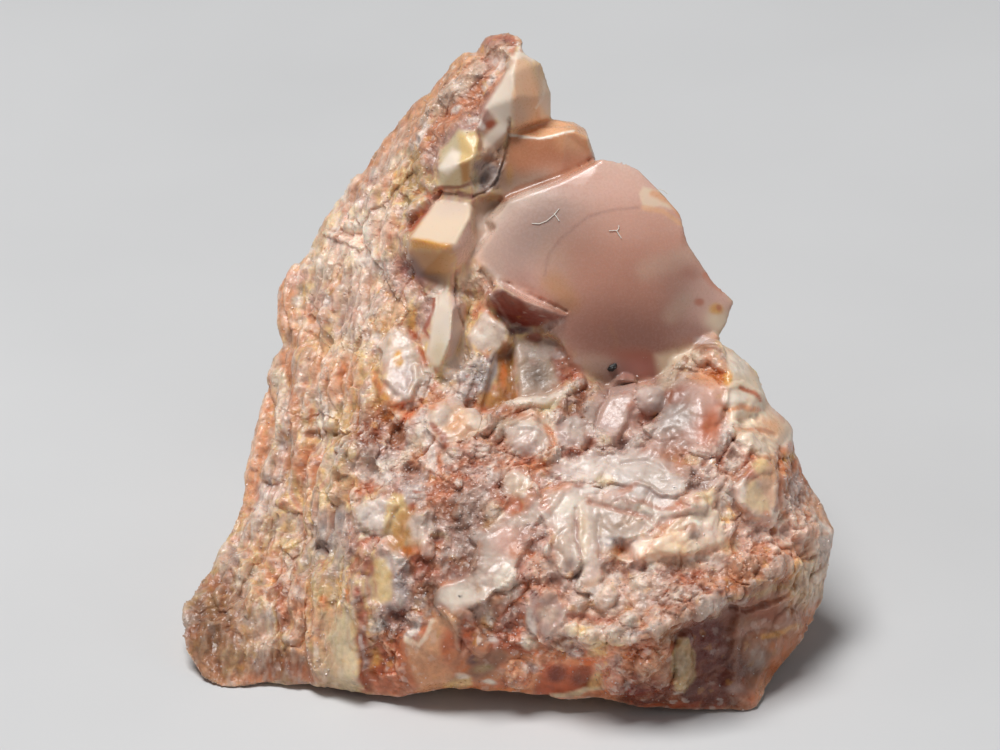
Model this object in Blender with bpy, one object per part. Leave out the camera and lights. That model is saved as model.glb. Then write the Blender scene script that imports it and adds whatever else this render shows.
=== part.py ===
"""Rough opal: a thumbnail-sized broken lump of common opal, one piece of stone in its rest pose.

The stone has one broad display face. It is laid out in that face's own frame, in millimetres:
u runs to the right, v up along the face and w out of it. The face then leans back by LEAN, so the
stone stands on its underside with its lowest points on z = 0. The back and the underside are
given as they stand, in x, y, z.
"""

import math

import bmesh
import bpy
import numpy as np
from mathutils import Vector, noise
from mathutils.geometry import delaunay_2d_cdt

MM = 0.001
LEAN = math.radians(30.0)  # how far the display face leans back from upright
NODE_NAME = "rough_opal"

SCULPT_VOXEL = 0.17  # mm, mesh size while the surface is carved
MOST_TRIANGLES = 9400
FRONT_SHARE = 0.35  # how strongly the thinning spares the display face, 0 to 1

# The stone's outline seen face-on, clockwise from the tip, with its depth.
OUTLINE = [
    (-0.8, 27.1, -4.2), (0.1, 27.3, -4.0), (0.6, 27.0, -3.6), (0.7, 26.4, -3.0),
    (1.4, 26.0, -3.2), (1.8, 24.8, -3.9), (1.8, 23.8, -4.3), (2.7, 23.7, -5.0),
    (3.2, 23.4, -4.8), (3.6, 22.2, -4.5), (3.8, 22.1, -2.4), (4.2, 22.3, -2.5),
    (5.3, 21.7, -2.5), (6.4, 20.6, -2.5), (7.0, 19.9, -2.5), (7.3, 18.7, -2.4),
    (8.3, 17.2, -2.7), (9.2, 16.4, -3.1), (8.9, 15.5, -3.2), (8.4, 14.7, -3.0),
    (9.1, 14.3, -2.8), (10.0, 13.5, -3.0), (10.5, 12.2, -2.8), (11.4, 11.4, -3.2),
    (11.7, 10.4, -3.2), (12.0, 9.6, -3.0), (12.5, 8.5, -3.0), (13.2, 7.1, -2.6),
    (13.0, 5.7, -2.8), (12.7, 4.2, -3.0), (11.9, 2.7, -2.6), (10.8, 1.4, -1.6),
    (10.0, 0.1, 0.0), (9.5, 0.0, 0.1), (7.7, 0.0, 0.4), (5.3, 0.1, 0.6),
    (3.7, 0.5, 0.7), (2.1, 0.5, 0.7), (0.5, 0.7, 0.6), (-1.5, 0.8, 0.4),
    (-2.7, 0.8, 0.2), (-4.3, 0.5, 0.0), (-5.5, 0.5, -0.4), (-6.7, 0.8, -0.8),
    (-7.9, 1.0, -1.0), (-9.5, 1.0, -1.3), (-11.5, 0.8, -1.3), (-12.3, 1.2, -1.7),
    (-13.0, 2.3, -2.2), (-13.6, 3.0, -2.5), (-13.1, 4.1, -3.3), (-12.3, 5.2, -4.3),
    (-11.5, 6.5, -5.1), (-10.8, 8.1, -5.8), (-10.7, 9.2, -6.6), (-10.4, 10.4, -6.8),
    (-10.2, 11.4, -7.0), (-9.8, 12.5, -7.2), (-9.6, 14.0, -7.4), (-9.1, 14.6, -7.2),
    (-9.4, 15.8, -7.7), (-9.5, 16.7, -7.9), (-8.9, 17.6, -8.0), (-8.2, 18.5, -8.0),
    (-7.7, 19.5, -8.0), (-6.9, 20.6, -8.0), (-6.4, 21.5, -7.8), (-5.9, 21.7, -7.4),
    (-5.1, 22.9, -7.0), (-3.9, 24.4, -6.4), (-2.7, 25.6, -5.6), (-1.8, 26.6, -5.0),
    (-1.3, 26.5, -4.6),
]

# The big smooth break of the display face: a shallow swelling of massive pink opal.
PINK_CENTRE = (3.0, 17.5, -1.4)
PINK_SWELL = 0.045  # mm of fall for each square millimetre from the centre
PINK_EDGE = [
    (3.8, 22.1), (4.2, 22.3), (5.3, 21.7), (6.4, 20.6), (7.0, 19.9), (7.3, 18.7),
    (8.3, 17.2), (9.2, 16.4), (8.9, 15.5), (8.4, 14.7), (7.4, 14.4), (6.7, 14.1),
    (6.2, 13.3), (5.0, 13.0), (4.2, 12.8), (3.2, 13.4), (2.6, 13.9), (2.1, 14.9),
    (2.5, 15.9), (-0.2, 17.3), (-0.7, 17.8), (-1.2, 18.2), (-0.8, 18.8),
    (-0.4, 19.3), (-0.6, 19.6), (-0.2, 20.0), (0.1, 20.4), (1.1, 20.8), (2.2, 21.2),
]

# Flat breaks and blocks that stand out of the display face, each a closed polygon.
FACETS = {
    "tip_cream_edge": [
        (1.0, 25.8, -2.7), (1.3, 25.6, -3.1), (1.7, 24.8, -3.6), (1.6, 23.9, -3.8),
        (1.1, 23.7, -3.3), (1.3, 24.6, -2.8),
    ],
    "tip_cream_front": [
        (0.4, 26.2, -2.5), (0.9, 25.9, -2.6), (1.2, 24.6, -2.7), (1.0, 23.7, -3.2),
        (0.3, 23.4, -2.6), (0.3, 24.6, -1.9), (0.2, 25.5, -2.0),
    ],
    "tip_cream_side": [
        (0.1, 25.5, -2.1), (0.2, 24.5, -2.0), (0.1, 23.3, -2.7), (-0.6, 22.6, -2.8),
        (-1.0, 22.9, -2.6), (-0.8, 24.2, -2.3),
    ],
    "peach_block": [
        (0.2, 23.2, -3.3), (1.4, 23.0, -3.2), (2.3, 23.2, -3.1), (2.8, 23.2, -3.2),
        (3.3, 23.0, -3.5), (3.5, 22.3, -3.8), (2.2, 21.4, -3.2), (1.1, 21.0, -3.1),
        (0.0, 20.6, -3.1), (-0.2, 21.4, -3.1), (0.0, 22.2, -3.2),
    ],
    "peach_top": [
        (0.8, 23.4, -4.0), (1.4, 23.2, -3.5), (2.3, 23.4, -3.4), (2.8, 23.5, -4.0),
    ],
    "grey_hollow": [
        (-1.2, 21.8, -2.7), (-0.6, 22.3, -2.9), (-0.4, 21.5, -2.9), (-0.6, 20.7, -2.8),
        (-1.2, 20.6, -2.6),
    ],
    "beige_recess": [
        (-0.4, 20.3, -3.5), (-0.9, 19.7, -3.4), (-0.7, 19.2, -3.2), (-1.2, 18.6, -3.0),
        (-1.3, 19.4, -3.0), (-1.2, 20.2, -3.2), (-0.8, 20.5, -3.4),
    ],
    "cream_block_high_top": [
        (-2.3, 22.4, -2.7), (-1.9, 23.2, -2.4), (-1.3, 23.2, -2.2), (-1.1, 22.9, -2.1),
        (-1.3, 22.2, -1.8), (-2.0, 21.9, -1.7), (-2.6, 21.7, -2.2),
    ],
    "cream_block_high_foot": [
        (-2.6, 21.5, -2.3), (-2.0, 21.7, -1.8), (-1.4, 22.0, -1.9), (-1.5, 21.3, -2.3),
        (-1.8, 20.9, -2.5), (-2.6, 21.0, -2.6),
    ],
    "cream_block_mid_top": [
        (-2.8, 20.5, -3.0), (-1.5, 20.3, -2.5), (-1.5, 19.8, -1.9), (-2.1, 18.7, -1.0),
        (-2.5, 18.6, -0.9), (-3.8, 18.9, -1.7), (-3.4, 19.6, -2.5),
    ],
    "cream_block_mid_side": [
        (-1.4, 19.5, -2.1), (-1.35, 18.8, -2.3), (-1.6, 17.9, -2.4), (-2.0, 17.5, -2.1),
        (-1.9, 18.5, -1.2),
    ],
    "cream_block_mid_foot": [
        (-3.8, 18.7, -1.9), (-2.5, 18.4, -1.0), (-2.2, 18.3, -1.1), (-2.2, 17.5, -2.1),
        (-2.5, 17.0, -2.4), (-3.5, 17.4, -2.5),
    ],
    "blade_left": [
        (-2.4, 16.9, -2.3), (-2.8, 16.2, -2.1), (-3.1, 15.2, -1.9), (-3.2, 14.4, -1.7),
        (-3.1, 13.7, -1.5), (-2.7, 13.8, -1.0), (-2.3, 14.8, -0.6), (-2.2, 16.0, -0.8),
    ],
    "blade_right": [
        (-2.1, 16.2, -1.1), (-2.2, 14.8, -0.8), (-2.6, 13.8, -1.1), (-2.2, 14.0, -1.7),
        (-1.8, 14.8, -2.2), (-1.7, 15.6, -2.3),
    ],
    "white_shard": [
        (-0.9, 16.2, -2.0), (-0.5, 15.6, -1.5), (0.0, 15.2, -1.4), (0.0, 14.7, -1.4),
        (-0.3, 14.5, -1.5), (-0.9, 14.3, -1.5), (-1.4, 14.6, -1.6), (-1.5, 14.9, -1.7),
        (-1.2, 15.4, -1.7), (-1.1, 15.7, -1.8),
    ],
    "red_wedge_top": [
        (-0.2, 17.2, -1.9), (2.4, 15.9, -1.8), (2.2, 15.8, -1.3), (0.9, 16.3, -0.5),
        (-0.2, 16.9, -0.5),
    ],
    "red_wedge_face": [
        (-0.3, 16.8, -0.6), (0.8, 16.2, -0.6), (2.1, 15.7, -1.4), (1.2, 15.3, -2.1),
        (0.4, 15.4, -2.2), (-0.2, 15.7, -2.0), (-0.7, 16.5, -1.2),
    ],
    "beige_panel": [
        (0.4, 14.9, -2.2), (0.6, 12.5, -1.3), (1.9, 12.6, -1.4), (2.2, 13.3, -1.7),
        (2.4, 13.8, -2.1), (2.0, 14.7, -2.3),
    ],
    "amber_panel": [
        (-0.4, 14.2, -1.9), (0.1, 14.3, -2.3), (0.3, 12.4, -1.7), (-0.4, 12.2, -1.5),
        (-1.0, 12.0, -1.3),
    ],
    "quartz_patch": [
        (-1.3, 14.1, -1.5), (-0.6, 14.2, -1.5), (-0.8, 13.4, -1.3), (-1.2, 12.4, -1.0),
        (-1.9, 12.3, -1.1), (-2.1, 13.3, -1.4),
    ],
    "lilac_shell": [
        (-4.7, 13.9, -1.7), (-4.0, 14.2, -1.8), (-3.5, 13.6, -1.6), (-3.9, 12.5, -1.0),
        (-4.6, 12.3, -0.9), (-5.0, 12.9, -1.3),
    ],
    "cream_plane": [
        (-2.9, 12.1, -0.7), (-2.2, 12.1, -0.8), (-1.4, 11.4, -0.3), (-2.0, 10.9, 0.0),
        (-2.7, 11.2, -0.3),
    ],
    "ochre_wedge": [
        (-4.5, 8.6, 1.1), (-4.1, 8.5, 1.2), (-3.8, 7.8, 1.4), (-3.5, 6.6, 1.7),
        (-4.2, 6.5, 1.5), (-4.8, 7.1, 1.2),
    ],
    "ochre_wedge_low": [
        (-5.3, 5.9, 1.2), (-4.9, 6.0, 1.4), (-4.6, 5.2, 1.6), (-4.8, 4.3, 1.5),
        (-5.3, 4.6, 1.2),
    ],
    "cream_slab": [
        (5.7, 6.4, 2.9), (6.6, 7.5, 2.4), (7.4, 7.9, 2.1), (8.2, 7.7, 1.9),
        (8.5, 6.8, 2.0), (7.1, 6.35, 2.7),
    ],
    "white_chip": [(4.95, 6.65, 2.3), (5.65, 6.85, 2.5), (5.5, 6.3, 3.0), (5.3, 6.15, 2.9)],
    "yellow_chip": [(7.0, 8.5, 1.7), (8.4, 9.0, 1.3), (8.0, 8.15, 2.0)],
    "cream_leaf": [
        (9.2, 8.9, 1.3), (9.9, 9.7, 1.0), (10.4, 10.0, 0.5), (10.7, 9.5, 0.4),
        (10.8, 8.3, 0.4), (10.5, 7.7, 0.7), (9.9, 7.8, 1.1), (9.35, 8.3, 1.4),
    ],
    "ledge_top": [
        (2.5, 3.8, 2.8), (3.2, 4.7, 2.6), (4.6, 5.6, 2.5), (5.8, 6.0, 2.4),
        (7.0, 6.1, 2.3), (8.6, 6.5, 1.7), (10.6, 6.4, 0.7), (11.9, 5.9, -0.6),
        (10.6, 5.6, 1.4), (9.0, 4.7, 2.4), (7.7, 4.1, 3.1), (6.3, 3.4, 3.5),
        (5.2, 2.8, 3.5), (3.6, 2.9, 3.2), (2.7, 3.2, 3.1),
    ],
    "deep_face": [
        (6.7, 3.1, 2.3), (8.0, 3.7, 1.8), (9.0, 4.2, 1.4), (8.8, 2.4, 1.1),
        (8.6, 0.9, 0.8), (7.4, 0.6, 1.0), (6.9, 1.6, 1.6),
    ],
    "lobe": [
        (9.3, 3.9, 1.5), (10.4, 4.7, 0.8), (11.2, 3.7, -0.3), (10.5, 2.0, -0.4),
        (9.8, 0.7, 0.4), (9.1, 1.0, 0.9), (9.1, 2.4, 1.3),
    ],
    "peach_panel": [
        (-4.0, 2.8, 1.5), (-3.5, 2.6, 1.8), (-2.7, 3.9, 2.2), (-2.1, 3.5, 2.2),
        (-2.0, 2.0, 1.7), (-2.5, 1.2, 1.2), (-3.3, 1.1, 1.0), (-3.9, 1.6, 1.1),
    ],
    "brown_lobe": [
        (-1.7, 1.4, 1.3), (-1.4, 2.2, 1.8), (-0.6, 2.6, 2.1), (0.1, 2.3, 1.9),
        (-0.3, 1.5, 1.4), (-0.9, 1.2, 1.1),
    ],
    "orange_recess": [
        (1.3, 1.0, 0.9), (1.9, 1.7, 1.3), (3.3, 1.9, 1.4), (3.4, 1.2, 1.0), (2.6, 0.9, 0.8),
    ],
    "lemon_panel": [
        (-6.9, 1.3, 0.0), (-6.9, 3.0, 0.3), (-6.5, 3.8, 0.6), (-6.1, 3.0, 0.9), (-6.05, 1.3, 0.6),
    ],
}

# Single points of the display face, by the part of the stone that they shape.
POINTS = {
    "tip": [
        (-0.3, 26.6, -3.2), (-1.6, 25.6, -3.4), (-1.6, 24.4, -3.0), (-2.6, 24.6, -4.4),
        (-3.3, 23.4, -4.6), (-2.4, 23.4, -3.2), (-3.1, 21.9, -3.3),
    ],
    "left_face_high": [
        (-4.4, 22.4, -5.0), (-5.4, 21.0, -5.8), (-3.9, 20.9, -4.0), (-6.4, 19.6, -6.2),
        (-4.9, 19.2, -4.2), (-7.2, 18.0, -6.6), (-5.6, 17.4, -4.4), (-4.2, 17.6, -3.2),
        (-7.9, 16.6, -6.6), (-6.4, 15.6, -4.4), (-4.8, 15.8, -2.9), (-3.7, 15.5, -2.3),
    ],
    "left_face_low": [
        (-8.3, 14.6, -5.9), (-6.8, 13.6, -3.8), (-5.5, 13.8, -2.4), (-3.9, 15.0, -2.2),
        (-8.6, 12.4, -5.6), (-7.0, 11.4, -3.0), (-6.0, 11.8, -1.6), (-8.9, 10.0, -5.0),
        (-7.6, 9.0, -3.0), (-9.1, 7.8, -4.5), (-8.0, 6.4, -2.4), (-9.8, 6.0, -3.7),
        (-8.8, 4.2, -1.8), (-10.6, 4.4, -2.9), (-11.6, 3.0, -2.0), (-9.8, 2.4, -1.3),
        (-8.0, 2.4, -0.7), (-11.2, 1.6, -1.5),
    ],
    "dividing_ridge": [
        (-5.6, 10.8, 0.0), (-6.3, 10.0, -0.5), (-6.1, 8.4, 0.6), (-6.6, 8.0, -0.2),
        (-6.4, 6.6, 0.8), (-6.9, 5.8, 0.1), (-6.1, 4.4, 0.9), (-5.6, 2.0, 0.6),
    ],
    "below_blocks": [
        (-1.5, 16.5, -2.8), (-1.6, 15.6, -2.7), (-1.6, 17.3, -2.4), (-1.1, 17.6, -2.0),
        (-0.7, 17.2, -1.9), (-0.9, 16.8, -2.0), (-1.7, 13.9, -2.1), (-2.4, 13.1, -1.5),
        (0.1, 15.3, -2.1),
    ],
    "crust_high": [
        (3.8, 12.3, -1.2), (5.2, 12.6, -1.2), (6.4, 12.9, -1.3), (7.2, 13.6, -1.6),
        (8.2, 14.3, -1.8), (9.0, 13.4, -1.2), (10.0, 12.6, -1.8), (7.8, 12.4, -0.4),
        (5.8, 11.2, -0.4), (3.8, 11.2, -0.6), (2.2, 11.6, -0.6), (0.6, 11.6, -0.4),
        (-1.2, 11.2, -0.4), (-2.6, 12.0, -0.6), (9.2, 11.2, -0.2), (10.6, 10.6, -1.2),
    ],
    "crust_low": [
        (3.8, 9.2, 0.9), (5.8, 9.2, 1.1), (7.8, 10.2, 0.6), (9.0, 9.5, 0.6),
        (8.9, 8.5, 0.9), (9.4, 7.6, 0.9), (10.4, 7.2, 0.2), (11.2, 8.6, -0.5),
        (12.0, 7.2, -1.2), (3.8, 7.0, 2.0), (4.6, 7.6, 1.9), (5.6, 7.6, 1.8),
        (2.0, 6.2, 2.3), (0.6, 6.2, 2.2), (2.0, 8.6, 1.4), (0.4, 9.4, 0.8),
        (2.2, 4.8, 2.5), (4.3, 6.1, 2.4),
    ],
    "brown_flank": [
        (-3.1, 11.6, -0.8), (-4.3, 11.0, -1.2), (-5.3, 12.0, -1.4), (-5.0, 9.4, 0.4),
        (-3.1, 8.6, 1.0), (-1.4, 9.2, 1.0), (-2.6, 6.2, 1.8), (-5.6, 7.0, 0.9),
        (-0.8, 6.8, 1.8), (-4.0, 5.6, 1.5), (-0.6, 4.4, 2.4), (-3.4, 4.4, 1.7),
        (1.2, 3.4, 2.2), (-4.6, 3.4, 1.2), (-1.2, 3.3, 2.1), (1.0, 1.8, 1.5),
    ],
    "lower_right": [
        (12.0, 3.8, -1.9), (11.2, 2.3, -1.2), (5.2, 0.6, 1.2), (3.6, 0.9, 1.2),
        (2.9, 2.3, 2.0), (4.2, 2.3, 2.7), (5.4, 2.4, 2.9), (6.2, 2.6, 2.9),
        (4.6, 1.5, 2.2), (6.0, 1.6, 2.2), (6.3, 0.7, 1.3), (1.8, 2.3, 1.8),
        (0.4, 1.0, 1.0),
    ],
}

# Back and underside, as the stone stands: x, y, z. The underside lies below z = 0, where it is cut flat.
BACK_FACETS = {
    "underside": [
        (-9.8, 4.0, -0.5), (-10.4, 6.2, -0.5), (-9.0, 9.2, -0.6), (-6.4, 12.0, -0.6),
        (-3.0, 13.4, -0.5), (1.6, 13.2, -0.6), (5.4, 13.6, -0.5), (7.6, 10.6, -0.5),
        (7.2, 7.6, -0.6), (8.6, 4.0, -0.5), (3.6, 4.8, -0.5), (-1.4, 5.2, -0.6),
        (-5.6, 4.4, -0.5),
    ],
    "back_shell": [
        (-2.6, 18.6, 4.4), (2.0, 18.9, 3.4), (5.6, 17.6, 4.6), (6.6, 16.6, 8.6),
        (4.6, 16.9, 12.4), (1.4, 17.6, 13.4), (-1.6, 18.2, 11.0), (-3.0, 18.6, 7.4),
    ],
    "back_left": [
        (-9.4, 15.2, 3.0), (-5.4, 17.4, 2.6), (-4.2, 18.2, 6.6), (-5.0, 18.0, 10.4),
        (-7.8, 16.6, 10.2), (-8.8, 15.8, 6.4),
    ],
    "back_right": [
        (7.0, 16.4, 2.4), (10.2, 12.4, 2.2), (10.9, 10.6, 5.4), (9.2, 12.6, 7.4),
        (7.6, 14.6, 8.8), (6.9, 16.2, 6.2),
    ],
    "back_tip": [
        (-3.6, 18.4, 14.2), (-0.4, 18.2, 14.6), (0.9, 17.6, 16.8), (0.6, 17.8, 19.0),
        (-1.2, 18.6, 19.4), (-2.8, 18.6, 17.0),
    ],
}
BACK_POINTS = [
    (-11.6, 5.0, 0.2), (-11.0, 8.4, 1.4), (-10.2, 12.0, 4.0), (-9.2, 15.9, 9.0),
    (-7.6, 17.3, 13.0), (-4.8, 18.2, 15.4), (0.2, 17.9, 20.4), (1.1, 17.2, 18.4),
    (3.2, 16.4, 16.0), (5.4, 15.2, 14.0), (7.4, 13.6, 12.2), (11.5, 8.6, 4.4),
    (11.8, 6.0, 2.6), (11.4, 3.2, 1.4), (9.0, 13.6, 0.8), (-2.4, 18.0, 1.4),
    (4.0, 17.6, 1.2), (3.0, 17.0, 14.4), (2.0, 17.3, 8.4), (0.4, 17.7, 7.0),
    (3.6, 17.0, 7.2), (2.2, 17.2, 11.0), (-9.9, 9.2, 0.6), (-7.6, 13.4, 0.8),
    (-3.6, 15.4, 0.7), (0.8, 15.2, 0.4), (5.2, 15.8, 0.8), (8.6, 12.4, 0.5),
    (8.8, 8.4, 0.5), (10.4, 5.2, 0.2), (9.6, 2.4, 0.1), (5.6, 2.4, 0.3),
    (1.2, 2.8, 0.2), (-3.0, 2.9, 0.1), (-6.4, 2.6, 0.1),
]

# Raised runs of crust and ribs of stone, as strokes on the display face: points, half width and
# height in mm.
RIDGES = {
    "horn": (
        [(2.9, 13.1), (2.2, 12.6), (1.6, 12.35), (0.6, 12.25), (0.0, 12.0), (-0.5, 11.6), (-0.9, 11.1)],
        0.28, 0.40,
    ),
    "dome_side": ([(2.1, 12.2), (2.2, 11.4), (1.9, 10.6), (1.8, 9.9)], 0.30, 0.35),
    "grey_column": ([(4.7, 12.9), (4.3, 11.9), (3.9, 11.0)], 0.55, 0.50),
    "grey_column_left": ([(3.6, 12.8), (3.3, 12.2), (3.2, 11.8)], 0.30, 0.30),
    "rising_bar": ([(3.0, 9.8), (3.8, 10.1), (4.7, 10.2), (5.6, 10.8), (6.6, 11.8)], 0.38, 0.45),
    "flow_top": ([(3.2, 9.3), (4.4, 9.4), (5.4, 9.3), (6.3, 9.6)], 0.42, 0.50),
    "flow_belly": ([(5.0, 8.9), (5.9, 8.7), (6.7, 8.8)], 0.40, 0.40),
    "flow_mid": ([(2.4, 8.9), (3.3, 8.7), (4.3, 8.4), (5.4, 8.2), (6.6, 8.1), (7.6, 8.3)], 0.36, 0.45),
    "finger_left": ([(2.7, 8.5), (2.2, 7.7), (2.4, 6.9), (2.6, 6.2), (2.4, 5.7)], 0.42, 0.50),
    "finger_mid": ([(3.0, 8.0), (3.2, 7.2), (3.3, 6.4), (3.4, 5.6), (3.1, 5.0)], 0.34, 0.50),
    "finger_right": ([(3.9, 6.9), (4.0, 6.2)], 0.28, 0.30),
    "bulge": ([(3.9, 7.8), (4.6, 7.5), (5.4, 7.6)], 0.50, 0.45),
    "rim_high": ([(8.2, 14.5), (9.1, 14.0), (9.8, 13.2), (10.2, 12.3)], 0.60, 0.45),
    "rim_mid": ([(10.2, 12.1), (10.9, 11.4), (11.1, 10.6)], 0.55, 0.40),
    "rim_lip": ([(9.0, 11.2), (9.8, 11.1), (10.6, 11.0)], 0.35, 0.30),
    "pink_swell": ([(6.7, 12.8), (7.4, 11.8), (8.0, 10.8)], 0.80, 0.40),
    "cream_lobe": ([(8.6, 12.6), (9.4, 12.4), (10.0, 12.0)], 0.45, 0.40),
    "long_flow": (
        [(0.9, 8.5), (0.2, 7.6), (-0.5, 6.8), (-0.9, 5.9), (-0.9, 5.1), (-1.6, 4.6), (-2.3, 4.6)],
        0.60, 0.50,
    ),
    "ridge_plate": ([(-6.3, 10.9), (-6.6, 9.4), (-6.8, 8.4)], 0.28, 0.45),
    "flank_rib": ([(-3.3, 8.0), (-3.2, 7.2), (-3.1, 6.3)], 0.35, 0.40),
    "brown_rib": ([(-1.9, 4.0), (-1.5, 3.2), (-1.2, 2.6)], 0.45, 0.30),
    "left_rib_1": ([(-9.4, 13.4), (-9.0, 11.4), (-9.4, 9.4)], 0.45, 0.35),
    "left_rib_2": ([(-8.2, 12.6), (-8.4, 10.4), (-8.8, 8.2)], 0.40, 0.30),
    "left_rib_3": ([(-10.0, 7.4), (-10.6, 6.0), (-11.4, 4.4)], 0.50, 0.35),
    "left_rib_4": ([(-7.4, 15.6), (-7.0, 13.6), (-7.2, 11.6)], 0.45, 0.30),
    "left_rib_5": ([(-8.0, 6.4), (-8.4, 4.6), (-8.6, 3.0)], 0.45, 0.30),
    "high_rib": ([(-6.4, 19.6), (-5.2, 20.4), (-4.2, 21.8)], 0.40, 0.30),
    "tip_rib": ([(-2.9, 24.2), (-2.0, 25.2), (-1.2, 26.0)], 0.35, 0.25),
    "ledge_lip": ([(2.8, 3.3), (3.8, 3.05), (5.0, 3.0), (6.0, 3.5), (7.2, 4.1), (8.4, 4.6)], 0.30, 0.30),
    "yellow_flake": ([(7.0, 2.9), (7.1, 2.0), (6.9, 1.2)], 0.38, 0.40),
}

# Rounded lumps of crust: centre, radius and height.
LUMPS = [
    (0.9, 10.9, 1.0, 0.50), (5.8, 12.4, 0.65, 0.55), (2.7, 11.2, 0.55, 0.45), (-2.1, 10.3, 0.35, 0.35),
    (-1.5, 10.4, 0.35, 0.35), (-1.0, 10.4, 0.35, 0.30), (0.5, 9.1, 0.5, 0.40), (-0.5, 7.9, 0.5, 0.40),
    (0.0, 5.4, 0.5, 0.40), (-1.2, 7.1, 0.35, 0.30), (7.9, 14.3, 0.5, 0.40), (8.2, 4.0, 0.35, 0.40),
    (-2.0, 9.1, 0.25, 0.25), (-2.0, 7.9, 0.25, 0.25), (1.0, 5.6, 0.35, 0.40), (1.8, 6.4, 0.3, 0.30),
    (1.3, 4.4, 0.6, 0.30), (3.8, 4.6, 0.6, 0.30), (4.9, 3.6, 0.45, 0.30), (6.8, 4.9, 0.6, 0.30),
    (10.2, 2.4, 0.9, 0.30), (11.3, 3.4, 0.6, 0.25), (-8.8, 6.6, 0.5, 0.35), (-10.3, 6.1, 0.4, 0.30),
    (0.4, 1.5, 0.6, 0.30), (5.5, 2.0, 0.6, 0.30), (4.2, 1.2, 0.5, 0.25), (9.4, 5.8, 0.6, 0.30),
]

# Hollows: centre, radius and depth.
PITS = [
    (-5.2, 11.2, 0.9, 0.55), (-3.7, 9.6, 0.5, 0.50), (4.7, 10.6, 0.6, 0.50), (3.3, 10.6, 0.35, 0.35),
    (2.6, 10.1, 0.35, 0.35), (4.6, 6.5, 0.5, 0.40), (-2.8, 6.9, 0.35, 0.40), (1.4, 6.9, 0.4, 0.35),
    (7.6, 9.3, 0.7, 0.30), (6.7, 10.0, 0.5, 0.30), (9.1, 10.1, 0.4, 0.30), (0.7, 9.8, 0.6, 0.30),
    (-4.4, 3.8, 0.5, 0.50), (-1.0, 21.3, 0.55, 0.40), (-7.9, 11.0, 0.35, 0.35), (-7.4, 6.4, 0.4, 0.40),
    (9.5, 11.7, 0.5, 0.35), (5.3, 11.5, 0.4, 0.35), (-4.2, 4.9, 0.4, 0.30), (-2.4, 5.6, 0.6, 0.30),
    (3.0, 12.5, 0.35, 0.30), (0.2, 3.4, 0.6, 0.30), (1.8, 5.2, 0.4, 0.30), (-5.4, 9.6, 0.5, 0.30),
]

# Places where the crust or the stone is rounded over: centre and radius.
ROUNDED = [
    (4.4, 11.8, 1.2), (5.8, 12.4, 0.8), (7.5, 11.8, 1.7), (9.8, 12.4, 1.8), (5.4, 9.4, 1.4),
    (3.4, 7.2, 1.4), (2.4, 8.0, 1.1), (0.9, 11.0, 1.2), (-0.3, 6.6, 1.2), (-1.9, 4.6, 1.1),
    (10.6, 2.4, 1.6), (6.4, 8.2, 1.0), (11.0, 11.0, 1.2), (1.6, 12.6, 0.9),
]

# Roughness of the broken stone: size of the relief in mm and its height.
CHIP_GRAIN, CHIP_HEIGHT = 3.2, 0.42
SPALL_GRAIN, SPALL_HEIGHT = 1.3, 0.17
CRUST_GRAIN, CRUST_HEIGHT = 0.95, 0.26
STREAK_WIDTH, STREAK_LENGTH, STREAK_HEIGHT = 0.9, 5.0, 0.50
CRUST_CALM = 0.5  # how much less the crust is chipped
STREAK_CALM = 0.5  # how much less the streaked left face is spalled
ROUNDED_CALM = 0.75  # how much smoother the rounded places are
SEAM = 0.22  # share of a chip over which it drops to the seam round it
CHIP_SEED = 7  # which of the possible tilts the chips take
SMOOTH_MARGIN = 0.45  # mm over which the roughness fades out at a smooth break
RIM_MARGIN, RIM_ROUGHNESS = 1.2, 0.35  # the roughness left at the display face's rim
BACK_CALM = 0.7  # how much smoother the large breaks of the back are
FOOT_CALM = 0.2  # mm, height under which the underside stays even

# The flat rest on the underside, as drawn on z = 0: x and y in mm.
REST_FLAT = [(-4.5, 7.0), (4.5, 7.0), (4.5, 12.0), (-4.5, 12.0)]


def stood(u, v, w):
    """A point of the face frame as the stone stands, in mm."""
    across = math.sin(LEAN) * v - math.cos(LEAN) * w
    up = math.cos(LEAN) * v + math.sin(LEAN) * w
    return u, across, up


def laid(x, y, z):
    """A point of the standing stone in the face frame, in mm."""
    along = math.sin(LEAN) * y + math.cos(LEAN) * z
    out = math.sin(LEAN) * z - math.cos(LEAN) * y
    return x, along, out


def pink_depth(u, v):
    """Depth of the smooth pink break at a point of the display face."""
    centre_u, centre_v, centre_w = PINK_CENTRE
    return centre_w - PINK_SWELL * ((u - centre_u) ** 2 + (v - centre_v) ** 2)


def distance_to_run(points, run, closed=False):
    """Distance in the face plane of each point to a run of segments."""
    ends = list(zip(run, run[1:] + run[:1])) if closed else list(zip(run, run[1:]))
    nearest = np.full(len(points), np.inf)
    for start, end in ends:
        a = np.array(start[:2])
        along = np.array(end[:2]) - a
        share = np.clip((points - a) @ along / (along @ along), 0.0, 1.0)
        gap = np.linalg.norm(points - a - share[:, None] * along, axis=1)
        nearest = np.minimum(nearest, gap)
    return nearest


def crossings(points, segments):
    """How many segments each point of a plane meets on a run towards positive u."""
    found = np.zeros(len(points), int)
    for (u0, v0), (u1, v1) in segments:
        spans = (v0 > points[:, 1]) != (v1 > points[:, 1])
        rise = (points[:, 1] - v0) / (v1 - v0) if v1 != v0 else 0.0
        found += spans & (points[:, 0] < u0 + rise * (u1 - u0))
    return found


def inside(points, polygon):
    """Which points of the face plane lie in a polygon."""
    return crossings(points, list(zip(polygon, polygon[1:] + polygon[:1]))) % 2 == 1


def eased(share):
    share = np.clip(share, 0.0, 1.0)
    return share * share * (3.0 - 2.0 * share)


def rounded(share):
    """The height of a round back from its crest at 0 to its foot at 1."""
    return np.sqrt(1.0 - np.clip(share, 0.0, 1.0) ** 2)


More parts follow.
